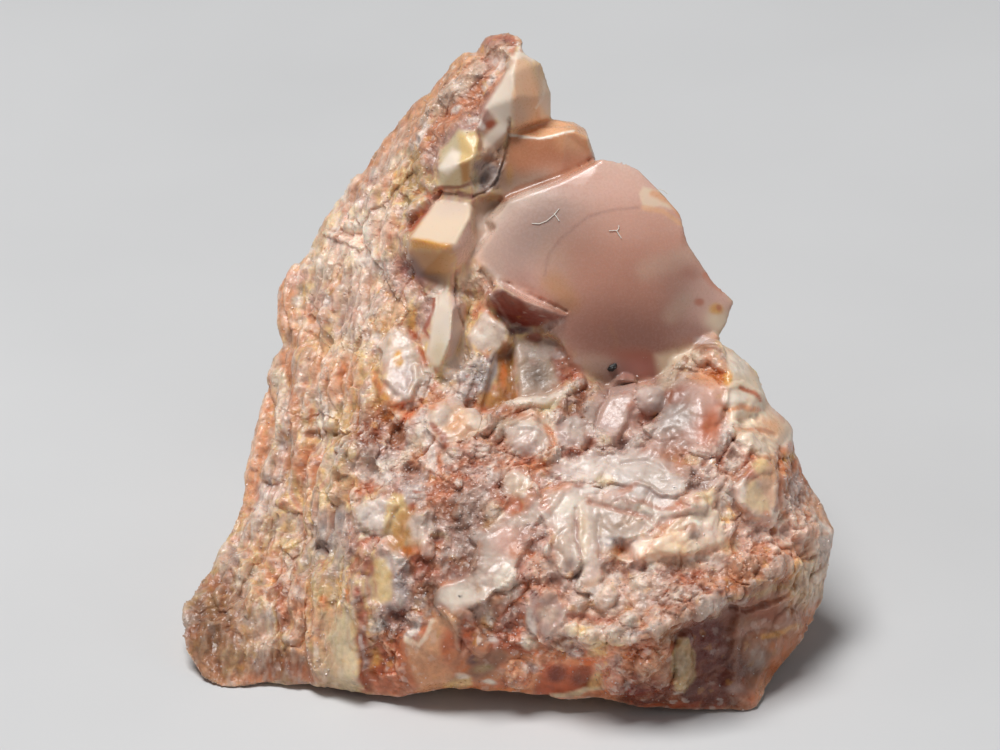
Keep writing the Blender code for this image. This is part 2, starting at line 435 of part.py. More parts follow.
def pink_landmarks():
    """Points over the smooth break, so that it stays one even curve."""
    spacing = 0.5
    grid = [
        (spacing * i, spacing * j)
        for i in range(-4, 20)
        for j in range(24, 46)
    ]
    points = np.array(grid)
    kept = inside(points, PINK_EDGE) & (distance_to_run(points, PINK_EDGE, True) > 0.4 * spacing)
    return [(u, v, pink_depth(u, v)) for u, v in points[kept]]


def sheet(rim, facets, points):
    """Triangles over the outline through landmarks in the face frame: (corners, faces)."""
    corners = list(rim)
    edges = [(i, (i + 1) % len(rim)) for i in range(len(rim))]
    place = {(round(u, 3), round(v, 3)): i for i, (u, v, _) in enumerate(corners)}

    def corner(point):
        key = (round(point[0], 3), round(point[1], 3))
        if key not in place:
            place[key] = len(corners)
            corners.append(point)
        return place[key]

    for facet in facets:
        ring = [corner(point) for point in facet]
        edges += list(zip(ring, ring[1:] + ring[:1]))
    for point in points:
        corner(point)
    flat = [Vector(point[:2]) for point in corners]
    made = delaunay_2d_cdt(flat, edges, [list(range(len(rim)))], 1, 1e-4)
    new_points, _, faces, origins = made[:4]
    if any(not origin for origin in origins):
        crossing = [tuple(round(c, 2) for c in p) for p, o in zip(new_points, origins) if not o]
        raise ValueError(f"two facets cross at {crossing}")
    return [corners[origin[0]] for origin in origins], [list(face) for face in faces]


def rough_block():
    """The stone's large breaks as one closed mesh of flat facets, in the face frame."""
    facets = [[(u, v, pink_depth(u, v)) for u, v in PINK_EDGE], *FACETS.values()]
    loose = [point for group in POINTS.values() for point in group]
    front_corners, front_faces = sheet(OUTLINE, facets, loose + pink_landmarks())
    back_rings = [[laid(*point) for point in facet] for facet in BACK_FACETS.values()]
    back_corners, back_faces = sheet(OUTLINE, back_rings, [laid(*p) for p in BACK_POINTS])
    mesh = bmesh.new()
    for corners, faces, turned in ((front_corners, front_faces, False), (back_corners, back_faces, True)):
        made = [mesh.verts.new(corner) for corner in corners]
        for face in faces:
            ring = [made[i] for i in face]
            mesh.faces.new(reversed(ring) if turned else ring)
    bmesh.ops.remove_doubles(mesh, verts=mesh.verts, dist=1e-4)
    bmesh.ops.recalc_face_normals(mesh, faces=mesh.faces)
    return mesh


def evaluated_copy(obj):
    """The object's mesh with its modifiers applied."""
    graph = bpy.context.evaluated_depsgraph_get()
    graph.update()
    return bpy.data.meshes.new_from_object(obj.evaluated_get(graph))


def remeshed(mesh, voxel):
    """The mesh rebuilt on an even grid, ready to be carved."""
    obj = bpy.data.objects.new("carving", mesh)
    bpy.context.scene.collection.objects.link(obj)
    grid = obj.modifiers.new("grid", "REMESH")
    grid.mode = "VOXEL"
    grid.voxel_size = voxel
    carved = evaluated_copy(obj)
    bpy.data.objects.remove(obj)
    return carved


def fractal(points, grain, octaves=4):
    """Smooth noise from about -1 to 1 at each point, its largest forms grain mm across."""
    scaled = points / grain
    return np.array([noise.fractal(Vector(p), 1.0, 2.0, octaves) for p in scaled])


def chips(points, grain):
    """Tilted flats about grain mm across, from about -1 to 1, as a brittle stone breaks."""
    values = []
    for point in points / grain:
        place = Vector(point)
        distances, centres = noise.voronoi(place)
        centre = centres[0]
        tilt = noise.noise_vector(centre * 7.3)
        flat = 1.6 * tilt.dot(place - centre) + noise.noise(centre * 5.1)
        seam = min((distances[1] - distances[0]) / SEAM, 1.0)
        values.append(flat * (0.4 + 0.6 * seam))
    return np.array(values)


def knobs(points, grain):
    """Rounded cells from 0 in the seams to 1 on the crowns, about grain mm apart."""
    values = []
    for p in points / grain:
        distances, _ = noise.voronoi(Vector(p))
        values.append(distances[1] - distances[0])
    return eased(np.array(values) / 0.7)


def calmness(plane, display):
    """From 0 on rough stone to 1 on the smooth breaks of the display face and of the back."""
    rough_ones = ("ledge_top", "quartz_patch", "cream_plane")
    front_breaks = [PINK_EDGE] + [FACETS[name] for name in FACETS if name not in rough_ones]
    back_breaks = [[laid(*corner) for corner in ring] for ring in BACK_FACETS.values()]
    calm = np.zeros(len(plane))
    for breaks, side in ((front_breaks, display), (back_breaks, BACK_CALM * (1.0 - display))):
        for corners in breaks:
            polygon = [corner[:2] for corner in corners]
            gap = distance_to_run(plane, polygon, True)
            gap[inside(plane, polygon)] = 0.0
            calm = np.maximum(calm, side * (1.0 - eased(gap / SMOOTH_MARGIN)))
    for u, v, radius in ROUNDED:
        away = np.hypot(plane[:, 0] - u, plane[:, 1] - v) / radius
        calm = np.maximum(calm, display * ROUNDED_CALM * (1.0 - eased(2.0 * away - 1.0)))
    return calm


def underside():
    return [laid(*corner)[:2] for corner in BACK_FACETS["underside"]]


def roughness(points, normals):
    """How far each point moves along its normal for the broken surface, in mm."""
    plane = points[:, :2]
    display = eased((normals[:, 2] + 0.1) / 0.3)
    calm = calmness(plane, display)
    left = eased((-5.2 - plane[:, 0] + 0.12 * (plane[:, 1] - 8.0)) / 1.4) * display
    crust = eased((plane[:, 0] + 5.6) / 1.0) * eased((13.4 - plane[:, 1]) / 1.2) * display
    streaked = points / (STREAK_WIDTH, STREAK_LENGTH, STREAK_WIDTH)
    spalls = chips(points, SPALL_GRAIN) + fractal(points, SPALL_GRAIN)
    moved = CHIP_HEIGHT * chips(points, CHIP_GRAIN) * (1.0 - CRUST_CALM * crust)
    moved += SPALL_HEIGHT * spalls * (1.0 - STREAK_CALM * left)
    moved += left * STREAK_HEIGHT * fractal(streaked, 1.0, 3)
    moved += crust * CRUST_HEIGHT * (knobs(points, CRUST_GRAIN) - 0.4)
    rim = distance_to_run(plane, OUTLINE, True)
    moved *= RIM_ROUGHNESS + (1.0 - RIM_ROUGHNESS) * eased(rim / RIM_MARGIN)
    foot = 1.0 - eased((stood(*points.T)[2] - FOOT_CALM) / FOOT_CALM)
    return moved * (1.0 - np.maximum(0.94 * calm, foot * inside(plane, underside())))


def carve(mesh):
    """Raises the crust's runs and lumps, sinks the hollows and roughens the breaks, in the face frame."""
    count = len(mesh.vertices)
    points = np.empty(3 * count, np.float32)
    normals = np.empty(3 * count, np.float32)
    mesh.vertices.foreach_get("co", points)
    mesh.vertex_normals.foreach_get("vector", normals)
    points = points.reshape(-1, 3).astype(float)
    normals = normals.reshape(-1, 3).astype(float)
    plane = points[:, :2]
    facing = eased((normals[:, 2] + 0.1) / 0.4)
    raised = np.zeros(count)
    for run, half_width, height in RIDGES.values():
        raised = np.maximum(raised, height * rounded(distance_to_run(plane, run) / half_width))
    for u, v, radius, height in LUMPS:
        away = np.hypot(plane[:, 0] - u, plane[:, 1] - v)
        raised = np.maximum(raised, height * rounded(away / radius))
    for u, v, radius, depth in PITS:
        away = np.hypot(plane[:, 0] - u, plane[:, 1] - v) / radius
        raised -= depth * (1.0 - eased(away))
    raised *= facing
    out = np.array([0.0, 0.0, 1.0])
    moved = points + raised[:, None] * (0.5 * normals + 0.5 * out)
    moved += roughness(points, normals)[:, None] * normals
    mesh.vertices.foreach_set("co", moved.astype(np.float32).ravel())
    mesh.update()
    return normals


def thinned(mesh, front):
    """The carved mesh brought down to the triangle budget, sparing the display face."""
    obj = bpy.data.objects.new("thinning", mesh)
    bpy.context.scene.collection.objects.link(obj)
    group = obj.vertex_groups.new(name="back")
    for index, weight in enumerate(front):
        group.add([index], float(1.0 - FRONT_SHARE * weight), "REPLACE")
    fewer = obj.modifiers.new("fewer", "DECIMATE")
    fewer.ratio = MOST_TRIANGLES / (2.0 * len(mesh.polygons))
    fewer.vertex_group = group.name
    fewer.use_collapse_triangulate = True
    made = evaluated_copy(obj)
    bpy.data.objects.remove(obj)
    return made


def drop_crumbs(shape):
    """Leaves only the largest connected piece."""
    left = set(shape.verts)
    pieces = []
    while left:
        front = [left.pop()]
        piece = list(front)
        while front:
            vertex = front.pop()
            near = {edge.other_vert(vertex) for edge in vertex.link_edges} & left
            left -= near
            front += near
            piece += near
        pieces.append(piece)
    pieces.sort(key=len)
    bmesh.ops.delete(shape, geom=[vertex for piece in pieces[:-1] for vertex in piece], context="VERTS")


def close_foot(shape, rim):
    """Fills the cut at z = 0, with the flat rest as one whole rectangle within it."""
    corners = list(dict.fromkeys(vertex for edge in rim for vertex in edge.verts))
    place = {vertex: i for i, vertex in enumerate(corners)}
    edges = [tuple(place[vertex] for vertex in edge.verts) for edge in rim]
    segments = [(corners[i].co[:2], corners[j].co[:2]) for i, j in edges]
    start = len(corners)
    flat = [Vector(vertex.co[:2]) for vertex in corners] + [Vector(c) * MM for c in REST_FLAT]
    edges += [(start + i, start + (i + 1) % len(REST_FLAT)) for i in range(len(REST_FLAT))]
    corners += [shape.verts.new((c.x, c.y, 0.0)) for c in flat[start:]]
    made = delaunay_2d_cdt(flat, edges, [], 0, 1e-8)
    middles = np.array([np.mean([made[0][i] for i in face], axis=0) for face in made[2]])
    within = crossings(middles, segments) % 2 == 1
    for face, kept in zip(made[2], within):
        if kept:
            shape.faces.new([corners[made[3][i][0]] for i in reversed(face)])


def stand(mesh):
    """Turns the mesh from the face frame into its rest pose in metres and cuts its foot flat at z = 0."""
    shape = bmesh.new()
    shape.from_mesh(mesh)
    for vertex in shape.verts:
        vertex.co = Vector(stood(*vertex.co)) * MM
    everything = [*shape.verts, *shape.edges, *shape.faces]
    bmesh.ops.bisect_plane(
        shape, geom=everything, dist=1e-7, plane_co=(0, 0, 0), plane_no=(0, 0, -1), clear_outer=True
    )
    drop_crumbs(shape)
    close_foot(shape, [edge for edge in shape.edges if edge.is_boundary])
    bmesh.ops.triangulate(shape, faces=[face for face in shape.faces if len(face.verts) > 3])
    bmesh.ops.recalc_face_normals(shape, faces=shape.faces)
    low = [min(vertex.co[axis] for vertex in shape.verts) for axis in range(3)]
    high = [max(vertex.co[axis] for vertex in shape.verts) for axis in range(3)]
    middle = Vector(((low[0] + high[0]) / 2, (low[1] + high[1]) / 2, 0.0))
    for vertex in shape.verts:
        vertex.co -= middle
    shape.to_mesh(mesh)
    shape.free()
    return mesh


def opal_material():
    material = bpy.data.materials.new("opal")
    material.use_nodes = True
    shader = material.node_tree.nodes["Principled BSDF"]
    shader.inputs["Base Color"].default_value = (0.60, 0.36, 0.27, 1.0)
    shader.inputs["Roughness"].default_value = 0.38
    shader.inputs["Metallic"].default_value = 0.0
    return material


def build():
    for obj in list(bpy.data.objects):
        bpy.data.objects.remove(obj)
    noise.seed_set(CHIP_SEED)
    block = rough_block()
    faceted = bpy.data.meshes.new("faceted")
    block.to_mesh(faceted)
    block.free()
    carved = remeshed(faceted, SCULPT_VOXEL)
    normals = carve(carved)
    mesh = stand(thinned(carved, eased((normals[:, 2] + 0.2) / 0.4)))
    mesh.name = NODE_NAME
    stone = bpy.data.objects.new(NODE_NAME, mesh)
    stone.data.materials.append(opal_material())
    bpy.context.scene.collection.objects.link(stone)


build()
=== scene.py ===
"""Looks of the rough opal: one finely broken stone with its coloured crust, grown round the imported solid.

The stone has one broad display face. It is laid out in that face's own frame, in millimetres:
u runs to the right, v up along the face and w out of it. The large forms are those of the solid,
made here on a finer grid, with the fine relief, the colours and the sugary crystals added.
"""

import math
from collections import namedtuple

import bmesh
import bpy
import numpy as np
from mathutils import Matrix, Vector, noise
from mathutils.geometry import delaunay_2d_cdt


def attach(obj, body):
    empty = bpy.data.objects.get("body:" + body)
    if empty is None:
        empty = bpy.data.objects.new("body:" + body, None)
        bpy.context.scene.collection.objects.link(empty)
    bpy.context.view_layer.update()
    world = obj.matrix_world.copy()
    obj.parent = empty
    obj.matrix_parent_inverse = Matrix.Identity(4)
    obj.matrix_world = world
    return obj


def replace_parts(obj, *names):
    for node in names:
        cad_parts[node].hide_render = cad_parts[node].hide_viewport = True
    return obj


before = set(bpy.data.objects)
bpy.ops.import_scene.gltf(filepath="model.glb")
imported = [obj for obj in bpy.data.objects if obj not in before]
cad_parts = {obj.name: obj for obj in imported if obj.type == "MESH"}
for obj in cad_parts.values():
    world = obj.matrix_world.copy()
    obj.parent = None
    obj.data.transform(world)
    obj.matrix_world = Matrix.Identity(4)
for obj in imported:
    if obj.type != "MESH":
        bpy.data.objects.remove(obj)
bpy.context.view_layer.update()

MM = 0.001
NODE_NAME = "rough_opal"
LEAN = math.radians(30.0)  # how far the display face leans back from upright
RAW_MIDDLE = (0.069, 8.681)  # mm, x and y of the standing stone that the row frame has at its origin

FINE_VOXEL = 0.08  # mm, mesh size while the surface is carved
EVEN_ROUNDS = 7  # how often the grid's steps are evened out before the carving
FLAT_FROM = 0.55  # the roughness from which the surface is seen facet by facet
MOST_TRIANGLES = 440000
FRONT_SHARE = 0.7  # how strongly the thinning spares the display face, 0 to 1

# The stone's outline seen face-on, clockwise from the tip, with its depth.
OUTLINE = [
    (-0.8, 27.1, -4.2), (0.1, 27.3, -4.0), (0.6, 27.0, -3.6), (0.7, 26.4, -3.0), (1.4, 26.0, -3.2),
    (1.8, 24.8, -3.9), (1.8, 23.8, -4.3), (2.7, 23.7, -5.0), (3.2, 23.4, -4.8), (3.6, 22.2, -4.5),
    (3.8, 22.1, -2.4), (4.2, 22.3, -2.5), (5.3, 21.7, -2.5), (6.4, 20.6, -2.5), (7.0, 19.9, -2.5),
    (7.3, 18.7, -2.4), (8.3, 17.2, -2.7), (9.2, 16.4, -3.1), (8.9, 15.5, -3.2), (8.4, 14.7, -3.0),
    (9.1, 14.3, -2.8), (10.0, 13.5, -3.0), (10.5, 12.2, -2.8), (11.4, 11.4, -3.2), (11.7, 10.4, -3.2),
    (12.0, 9.6, -3.0), (12.5, 8.5, -3.0), (13.2, 7.1, -2.6), (13.0, 5.7, -2.8), (12.7, 4.2, -3.0),
    (11.9, 2.7, -2.6), (10.8, 1.4, -1.6), (10.0, 0.1, 0.0), (9.5, 0.0, 0.1), (7.7, 0.0, 0.4),
    (5.3, 0.1, 0.6), (3.7, 0.5, 0.7), (2.1, 0.5, 0.7), (0.5, 0.7, 0.6), (-1.5, 0.8, 0.4), (-2.7, 0.8, 0.2),
    (-4.3, 0.5, 0.0), (-5.5, 0.5, -0.4), (-6.7, 0.8, -0.8), (-7.9, 1.0, -1.0), (-9.5, 1.0, -1.3),
    (-11.5, 0.8, -1.3), (-12.3, 1.2, -1.7), (-13.0, 2.3, -2.2), (-13.6, 3.0, -2.5), (-13.1, 4.1, -3.3),
    (-12.3, 5.2, -4.3), (-11.5, 6.5, -5.1), (-10.8, 8.1, -5.8), (-10.7, 9.2, -6.6), (-10.4, 10.4, -6.8),
    (-10.2, 11.4, -7.0), (-9.8, 12.5, -7.2), (-9.6, 14.0, -7.4), (-9.1, 14.6, -7.2), (-9.4, 15.8, -7.7),
    (-9.5, 16.7, -7.9), (-8.9, 17.6, -8.0), (-8.2, 18.5, -8.0), (-7.7, 19.5, -8.0), (-6.9, 20.6, -8.0),
    (-6.4, 21.5, -7.8), (-5.9, 21.7, -7.4), (-5.1, 22.9, -7.0), (-3.9, 24.4, -6.4), (-2.7, 25.6, -5.6),
    (-1.8, 26.6, -5.0), (-1.3, 26.5, -4.6),
]

# The big smooth break of the display face: a shallow swelling of massive pink opal.
PINK_CENTRE = (3.0, 17.5, -1.4)
PINK_SWELL = 0.045  # mm of fall for each square millimetre from the centre
PINK_EDGE = [
    (3.8, 22.1), (4.2, 22.3), (5.3, 21.7), (6.4, 20.6), (7.0, 19.9), (7.3, 18.7), (8.3, 17.2), (9.2, 16.4),
    (8.9, 15.5), (8.4, 14.7), (7.4, 14.4), (6.7, 14.1), (6.2, 13.3), (5.0, 13.0), (4.2, 12.8), (3.2, 13.4),
    (2.6, 13.9), (2.1, 14.9), (2.5, 15.9), (-0.2, 17.3), (-0.7, 17.8), (-1.2, 18.2), (-0.8, 18.8),
    (-0.4, 19.3), (-0.6, 19.6), (-0.2, 20.0), (0.1, 20.4), (1.1, 20.8), (2.2, 21.2),
]

# Flat breaks and blocks that stand out of the display face, each a closed polygon.
FACETS = {
    "tip_cream_edge": [
        (1.0, 25.8, -2.7), (1.3, 25.6, -3.1), (1.7, 24.8, -3.6), (1.6, 23.9, -3.8), (1.1, 23.7, -3.3),
        (1.3, 24.6, -2.8),
    ],
    "tip_cream_front": [
        (0.4, 26.2, -2.5), (0.9, 25.9, -2.6), (1.2, 24.6, -2.7), (1.0, 23.7, -3.2), (0.3, 23.4, -2.6),
        (0.3, 24.6, -1.9), (0.2, 25.5, -2.0),
    ],
    "tip_cream_side": [
        (0.1, 25.5, -2.1), (0.2, 24.5, -2.0), (0.1, 23.3, -2.7), (-0.6, 22.6, -2.8), (-1.0, 22.9, -2.6),
        (-0.8, 24.2, -2.3),
    ],
    "peach_block": [
        (0.2, 23.2, -3.3), (1.4, 23.0, -3.2), (2.3, 23.2, -3.1), (2.8, 23.2, -3.2), (3.3, 23.0, -3.5),
        (3.5, 22.3, -3.8), (2.2, 21.4, -3.2), (1.1, 21.0, -3.1), (0.0, 20.6, -3.1), (-0.2, 21.4, -3.1),
        (0.0, 22.2, -3.2),
    ],
    "peach_top": [
        (0.8, 23.4, -4.0), (1.4, 23.2, -3.5), (2.3, 23.4, -3.4), (2.8, 23.5, -4.0),
    ],
    "grey_hollow": [
        (-1.2, 21.8, -2.7), (-0.6, 22.3, -2.9), (-0.4, 21.5, -2.9), (-0.6, 20.7, -2.8), (-1.2, 20.6, -2.6),
    ],
    "beige_recess": [
        (-0.4, 20.3, -3.5), (-0.9, 19.7, -3.4), (-0.7, 19.2, -3.2), (-1.2, 18.6, -3.0), (-1.3, 19.4, -3.0),
        (-1.2, 20.2, -3.2), (-0.8, 20.5, -3.4),
    ],
    "cream_block_high_top": [
        (-2.3, 22.4, -2.7), (-1.9, 23.2, -2.4), (-1.3, 23.2, -2.2), (-1.1, 22.9, -2.1), (-1.3, 22.2, -1.8),
        (-2.0, 21.9, -1.7), (-2.6, 21.7, -2.2),
    ],
    "cream_block_high_foot": [
        (-2.6, 21.5, -2.3), (-2.0, 21.7, -1.8), (-1.4, 22.0, -1.9), (-1.5, 21.3, -2.3), (-1.8, 20.9, -2.5),
        (-2.6, 21.0, -2.6),
    ],
    "cream_block_mid_top": [
        (-2.8, 20.5, -3.0), (-1.5, 20.3, -2.5), (-1.5, 19.8, -1.9), (-2.1, 18.7, -1.0), (-2.5, 18.6, -0.9),
        (-3.8, 18.9, -1.7), (-3.4, 19.6, -2.5),
    ],
    "cream_block_mid_side": [
        (-1.4, 19.5, -2.1), (-1.35, 18.8, -2.3), (-1.6, 17.9, -2.4), (-2.0, 17.5, -2.1), (-1.9, 18.5, -1.2),
    ],
    "cream_block_mid_foot": [
        (-3.8, 18.7, -1.9), (-2.5, 18.4, -1.0), (-2.2, 18.3, -1.1), (-2.2, 17.5, -2.1), (-2.5, 17.0, -2.4),
        (-3.5, 17.4, -2.5),
    ],
    "blade_left": [
        (-2.4, 16.9, -2.3), (-2.8, 16.2, -2.1), (-3.1, 15.2, -1.9), (-3.2, 14.4, -1.7), (-3.1, 13.7, -1.5),
        (-2.7, 13.8, -1.0), (-2.3, 14.8, -0.6), (-2.2, 16.0, -0.8),
    ],
    "blade_right": [
        (-2.1, 16.2, -1.1), (-2.2, 14.8, -0.8), (-2.6, 13.8, -1.1), (-2.2, 14.0, -1.7), (-1.8, 14.8, -2.2),
        (-1.7, 15.6, -2.3),
    ],
    "white_shard": [
        (-0.9, 16.2, -2.0), (-0.5, 15.6, -1.5), (0.0, 15.2, -1.4), (0.0, 14.7, -1.4), (-0.3, 14.5, -1.5),
        (-0.9, 14.3, -1.5), (-1.4, 14.6, -1.6), (-1.5, 14.9, -1.7), (-1.2, 15.4, -1.7), (-1.1, 15.7, -1.8),
    ],
    "red_wedge_top": [
        (-0.2, 17.2, -1.9), (2.4, 15.9, -1.8), (2.2, 15.8, -1.3), (0.9, 16.3, -0.5), (-0.2, 16.9, -0.5),
    ],
    "red_wedge_face": [
        (-0.3, 16.8, -0.6), (0.8, 16.2, -0.6), (2.1, 15.7, -1.4), (1.2, 15.3, -2.1), (0.4, 15.4, -2.2),
        (-0.2, 15.7, -2.0), (-0.7, 16.5, -1.2),
    ],
    "beige_panel": [
        (0.4, 14.9, -2.2), (0.6, 12.5, -1.3), (1.9, 12.6, -1.4), (2.2, 13.3, -1.7), (2.4, 13.8, -2.1),
        (2.0, 14.7, -2.3),
    ],
    "amber_panel": [
        (-0.4, 14.2, -1.9), (0.1, 14.3, -2.3), (0.3, 12.4, -1.7), (-0.4, 12.2, -1.5), (-1.0, 12.0, -1.3),
    ],
    "quartz_patch": [
        (-1.3, 14.1, -1.5), (-0.6, 14.2, -1.5), (-0.8, 13.4, -1.3), (-1.2, 12.4, -1.0), (-1.9, 12.3, -1.1),
        (-2.1, 13.3, -1.4),
    ],
    "lilac_shell": [
        (-4.7, 13.9, -1.7), (-4.0, 14.2, -1.8), (-3.5, 13.6, -1.6), (-3.9, 12.5, -1.0), (-4.6, 12.3, -0.9),
        (-5.0, 12.9, -1.3),
    ],
    "cream_plane": [
        (-2.9, 12.1, -0.7), (-2.2, 12.1, -0.8), (-1.4, 11.4, -0.3), (-2.0, 10.9, 0.0), (-2.7, 11.2, -0.3),
    ],
    "ochre_wedge": [
        (-4.5, 8.6, 1.1), (-4.1, 8.5, 1.2), (-3.8, 7.8, 1.4), (-3.5, 6.6, 1.7), (-4.2, 6.5, 1.5),
        (-4.8, 7.1, 1.2),
    ],
    "ochre_wedge_low": [
        (-5.3, 5.9, 1.2), (-4.9, 6.0, 1.4), (-4.6, 5.2, 1.6), (-4.8, 4.3, 1.5), (-5.3, 4.6, 1.2),
    ],
    "cream_slab": [
        (5.7, 6.4, 2.9), (6.6, 7.5, 2.4), (7.4, 7.9, 2.1), (8.2, 7.7, 1.9), (8.5, 6.8, 2.0),
        (7.1, 6.35, 2.7),
    ],
    "white_chip": [(4.95, 6.65, 2.3), (5.65, 6.85, 2.5), (5.5, 6.3, 3.0), (5.3, 6.15, 2.9)],
    "yellow_chip": [(7.0, 8.5, 1.7), (8.4, 9.0, 1.3), (8.0, 8.15, 2.0)],
    "cream_leaf": [
        (9.2, 8.9, 1.3), (9.9, 9.7, 1.0), (10.4, 10.0, 0.5), (10.7, 9.5, 0.4), (10.8, 8.3, 0.4),
        (10.5, 7.7, 0.7), (9.9, 7.8, 1.1), (9.35, 8.3, 1.4),
    ],
    "ledge_top": [
        (2.5, 3.8, 2.8), (3.2, 4.7, 2.6), (4.6, 5.6, 2.5), (5.8, 6.0, 2.4), (7.0, 6.1, 2.3),
        (8.6, 6.5, 1.7), (10.6, 6.4, 0.7), (11.9, 5.9, -0.6), (10.6, 5.6, 1.4), (9.0, 4.7, 2.4),
        (7.7, 4.1, 3.1), (6.3, 3.4, 3.5), (5.2, 2.8, 3.5), (3.6, 2.9, 3.2), (2.7, 3.2, 3.1),
    ],
    "deep_face": [
        (6.7, 3.1, 2.3), (8.0, 3.7, 1.8), (9.0, 4.2, 1.4), (8.8, 2.4, 1.1), (8.6, 0.9, 0.8),
        (7.4, 0.6, 1.0), (6.9, 1.6, 1.6),
    ],
    "lobe": [
        (9.3, 3.9, 1.5), (10.4, 4.7, 0.8), (11.2, 3.7, -0.3), (10.5, 2.0, -0.4), (9.8, 0.7, 0.4),
        (9.1, 1.0, 0.9), (9.1, 2.4, 1.3),
    ],
    "peach_panel": [
        (-4.0, 2.8, 1.5), (-3.5, 2.6, 1.8), (-2.7, 3.9, 2.2), (-2.1, 3.5, 2.2), (-2.0, 2.0, 1.7),
        (-2.5, 1.2, 1.2), (-3.3, 1.1, 1.0), (-3.9, 1.6, 1.1),
    ],
    "brown_lobe": [
        (-1.7, 1.4, 1.3), (-1.4, 2.2, 1.8), (-0.6, 2.6, 2.1), (0.1, 2.3, 1.9), (-0.3, 1.5, 1.4),
        (-0.9, 1.2, 1.1),
    ],
    "orange_recess": [
        (1.3, 1.0, 0.9), (1.9, 1.7, 1.3), (3.3, 1.9, 1.4), (3.4, 1.2, 1.0), (2.6, 0.9, 0.8),
    ],
    "lemon_panel": [
        (-6.9, 1.3, 0.0), (-6.9, 3.0, 0.3), (-6.5, 3.8, 0.6), (-6.1, 3.0, 0.9), (-6.05, 1.3, 0.6),
    ],
}

# Single points of the display face, by the part of the stone that they shape.
POINTS = {
    "tip": [
        (-0.3, 26.6, -3.2), (-1.6, 25.6, -3.4), (-1.6, 24.4, -3.0), (-2.6, 24.6, -4.4), (-3.3, 23.4, -4.6),
        (-2.4, 23.4, -3.2), (-3.1, 21.9, -3.3),
    ],
    "left_face_high": [
        (-4.4, 22.4, -5.0), (-5.4, 21.0, -5.8), (-3.9, 20.9, -4.0), (-6.4, 19.6, -6.2), (-4.9, 19.2, -4.2),
        (-7.2, 18.0, -6.6), (-5.6, 17.4, -4.4), (-4.2, 17.6, -3.2), (-7.9, 16.6, -6.6), (-6.4, 15.6, -4.4),
        (-4.8, 15.8, -2.9), (-3.7, 15.5, -2.3),
    ],
    "left_face_low": [
        (-8.3, 14.6, -5.9), (-6.8, 13.6, -3.8), (-5.5, 13.8, -2.4), (-3.9, 15.0, -2.2), (-8.6, 12.4, -5.6),
        (-7.0, 11.4, -3.0), (-6.0, 11.8, -1.6), (-8.9, 10.0, -5.0), (-7.6, 9.0, -3.0), (-9.1, 7.8, -4.5),
        (-8.0, 6.4, -2.4), (-9.8, 6.0, -3.7), (-8.8, 4.2, -1.8), (-10.6, 4.4, -2.9), (-11.6, 3.0, -2.0),
        (-9.8, 2.4, -1.3), (-8.0, 2.4, -0.7), (-11.2, 1.6, -1.5),
    ],
    "dividing_ridge": [
        (-5.6, 10.8, 0.0), (-6.3, 10.0, -0.5), (-6.1, 8.4, 0.6), (-6.6, 8.0, -0.2), (-6.4, 6.6, 0.8),
        (-6.9, 5.8, 0.1), (-6.1, 4.4, 0.9), (-5.6, 2.0, 0.6),
    ],
    "below_blocks": [
        (-1.5, 16.5, -2.8), (-1.6, 15.6, -2.7), (-1.6, 17.3, -2.4), (-1.1, 17.6, -2.0), (-0.7, 17.2, -1.9),
        (-0.9, 16.8, -2.0), (-1.7, 13.9, -2.1), (-2.4, 13.1, -1.5), (0.1, 15.3, -2.1),
    ],
    "crust_high": [
        (3.8, 12.3, -1.2), (5.2, 12.6, -1.2), (6.4, 12.9, -1.3), (7.2, 13.6, -1.6), (8.2, 14.3, -1.8),
        (9.0, 13.4, -1.2), (10.0, 12.6, -1.8), (7.8, 12.4, -0.4), (5.8, 11.2, -0.4), (3.8, 11.2, -0.6),
        (2.2, 11.6, -0.6), (0.6, 11.6, -0.4), (-1.2, 11.2, -0.4), (-2.6, 12.0, -0.6), (9.2, 11.2, -0.2),
        (10.6, 10.6, -1.2),
    ],
    "crust_low": [
        (3.8, 9.2, 0.9), (5.8, 9.2, 1.1), (7.8, 10.2, 0.6), (9.0, 9.5, 0.6), (8.9, 8.5, 0.9),
        (9.4, 7.6, 0.9), (10.4, 7.2, 0.2), (11.2, 8.6, -0.5), (12.0, 7.2, -1.2), (3.8, 7.0, 2.0),
        (4.6, 7.6, 1.9), (5.6, 7.6, 1.8), (2.0, 6.2, 2.3), (0.6, 6.2, 2.2), (2.0, 8.6, 1.4),
        (0.4, 9.4, 0.8), (2.2, 4.8, 2.5), (4.3, 6.1, 2.4),
    ],
    "brown_flank": [
        (-3.1, 11.6, -0.8), (-4.3, 11.0, -1.2), (-5.3, 12.0, -1.4), (-5.0, 9.4, 0.4), (-3.1, 8.6, 1.0),
        (-1.4, 9.2, 1.0), (-2.6, 6.2, 1.8), (-5.6, 7.0, 0.9), (-0.8, 6.8, 1.8), (-4.0, 5.6, 1.5),
        (-0.6, 4.4, 2.4), (-3.4, 4.4, 1.7), (1.2, 3.4, 2.2), (-4.6, 3.4, 1.2), (-1.2, 3.3, 2.1),
        (1.0, 1.8, 1.5),
    ],
    "lower_right": [
        (12.0, 3.8, -1.9), (11.2, 2.3, -1.2), (5.2, 0.6, 1.2), (3.6, 0.9, 1.2), (2.9, 2.3, 2.0),
        (4.2, 2.3, 2.7), (5.4, 2.4, 2.9), (6.2, 2.6, 2.9), (4.6, 1.5, 2.2), (6.0, 1.6, 2.2),
        (6.3, 0.7, 1.3), (1.8, 2.3, 1.8), (0.4, 1.0, 1.0),
    ],
}

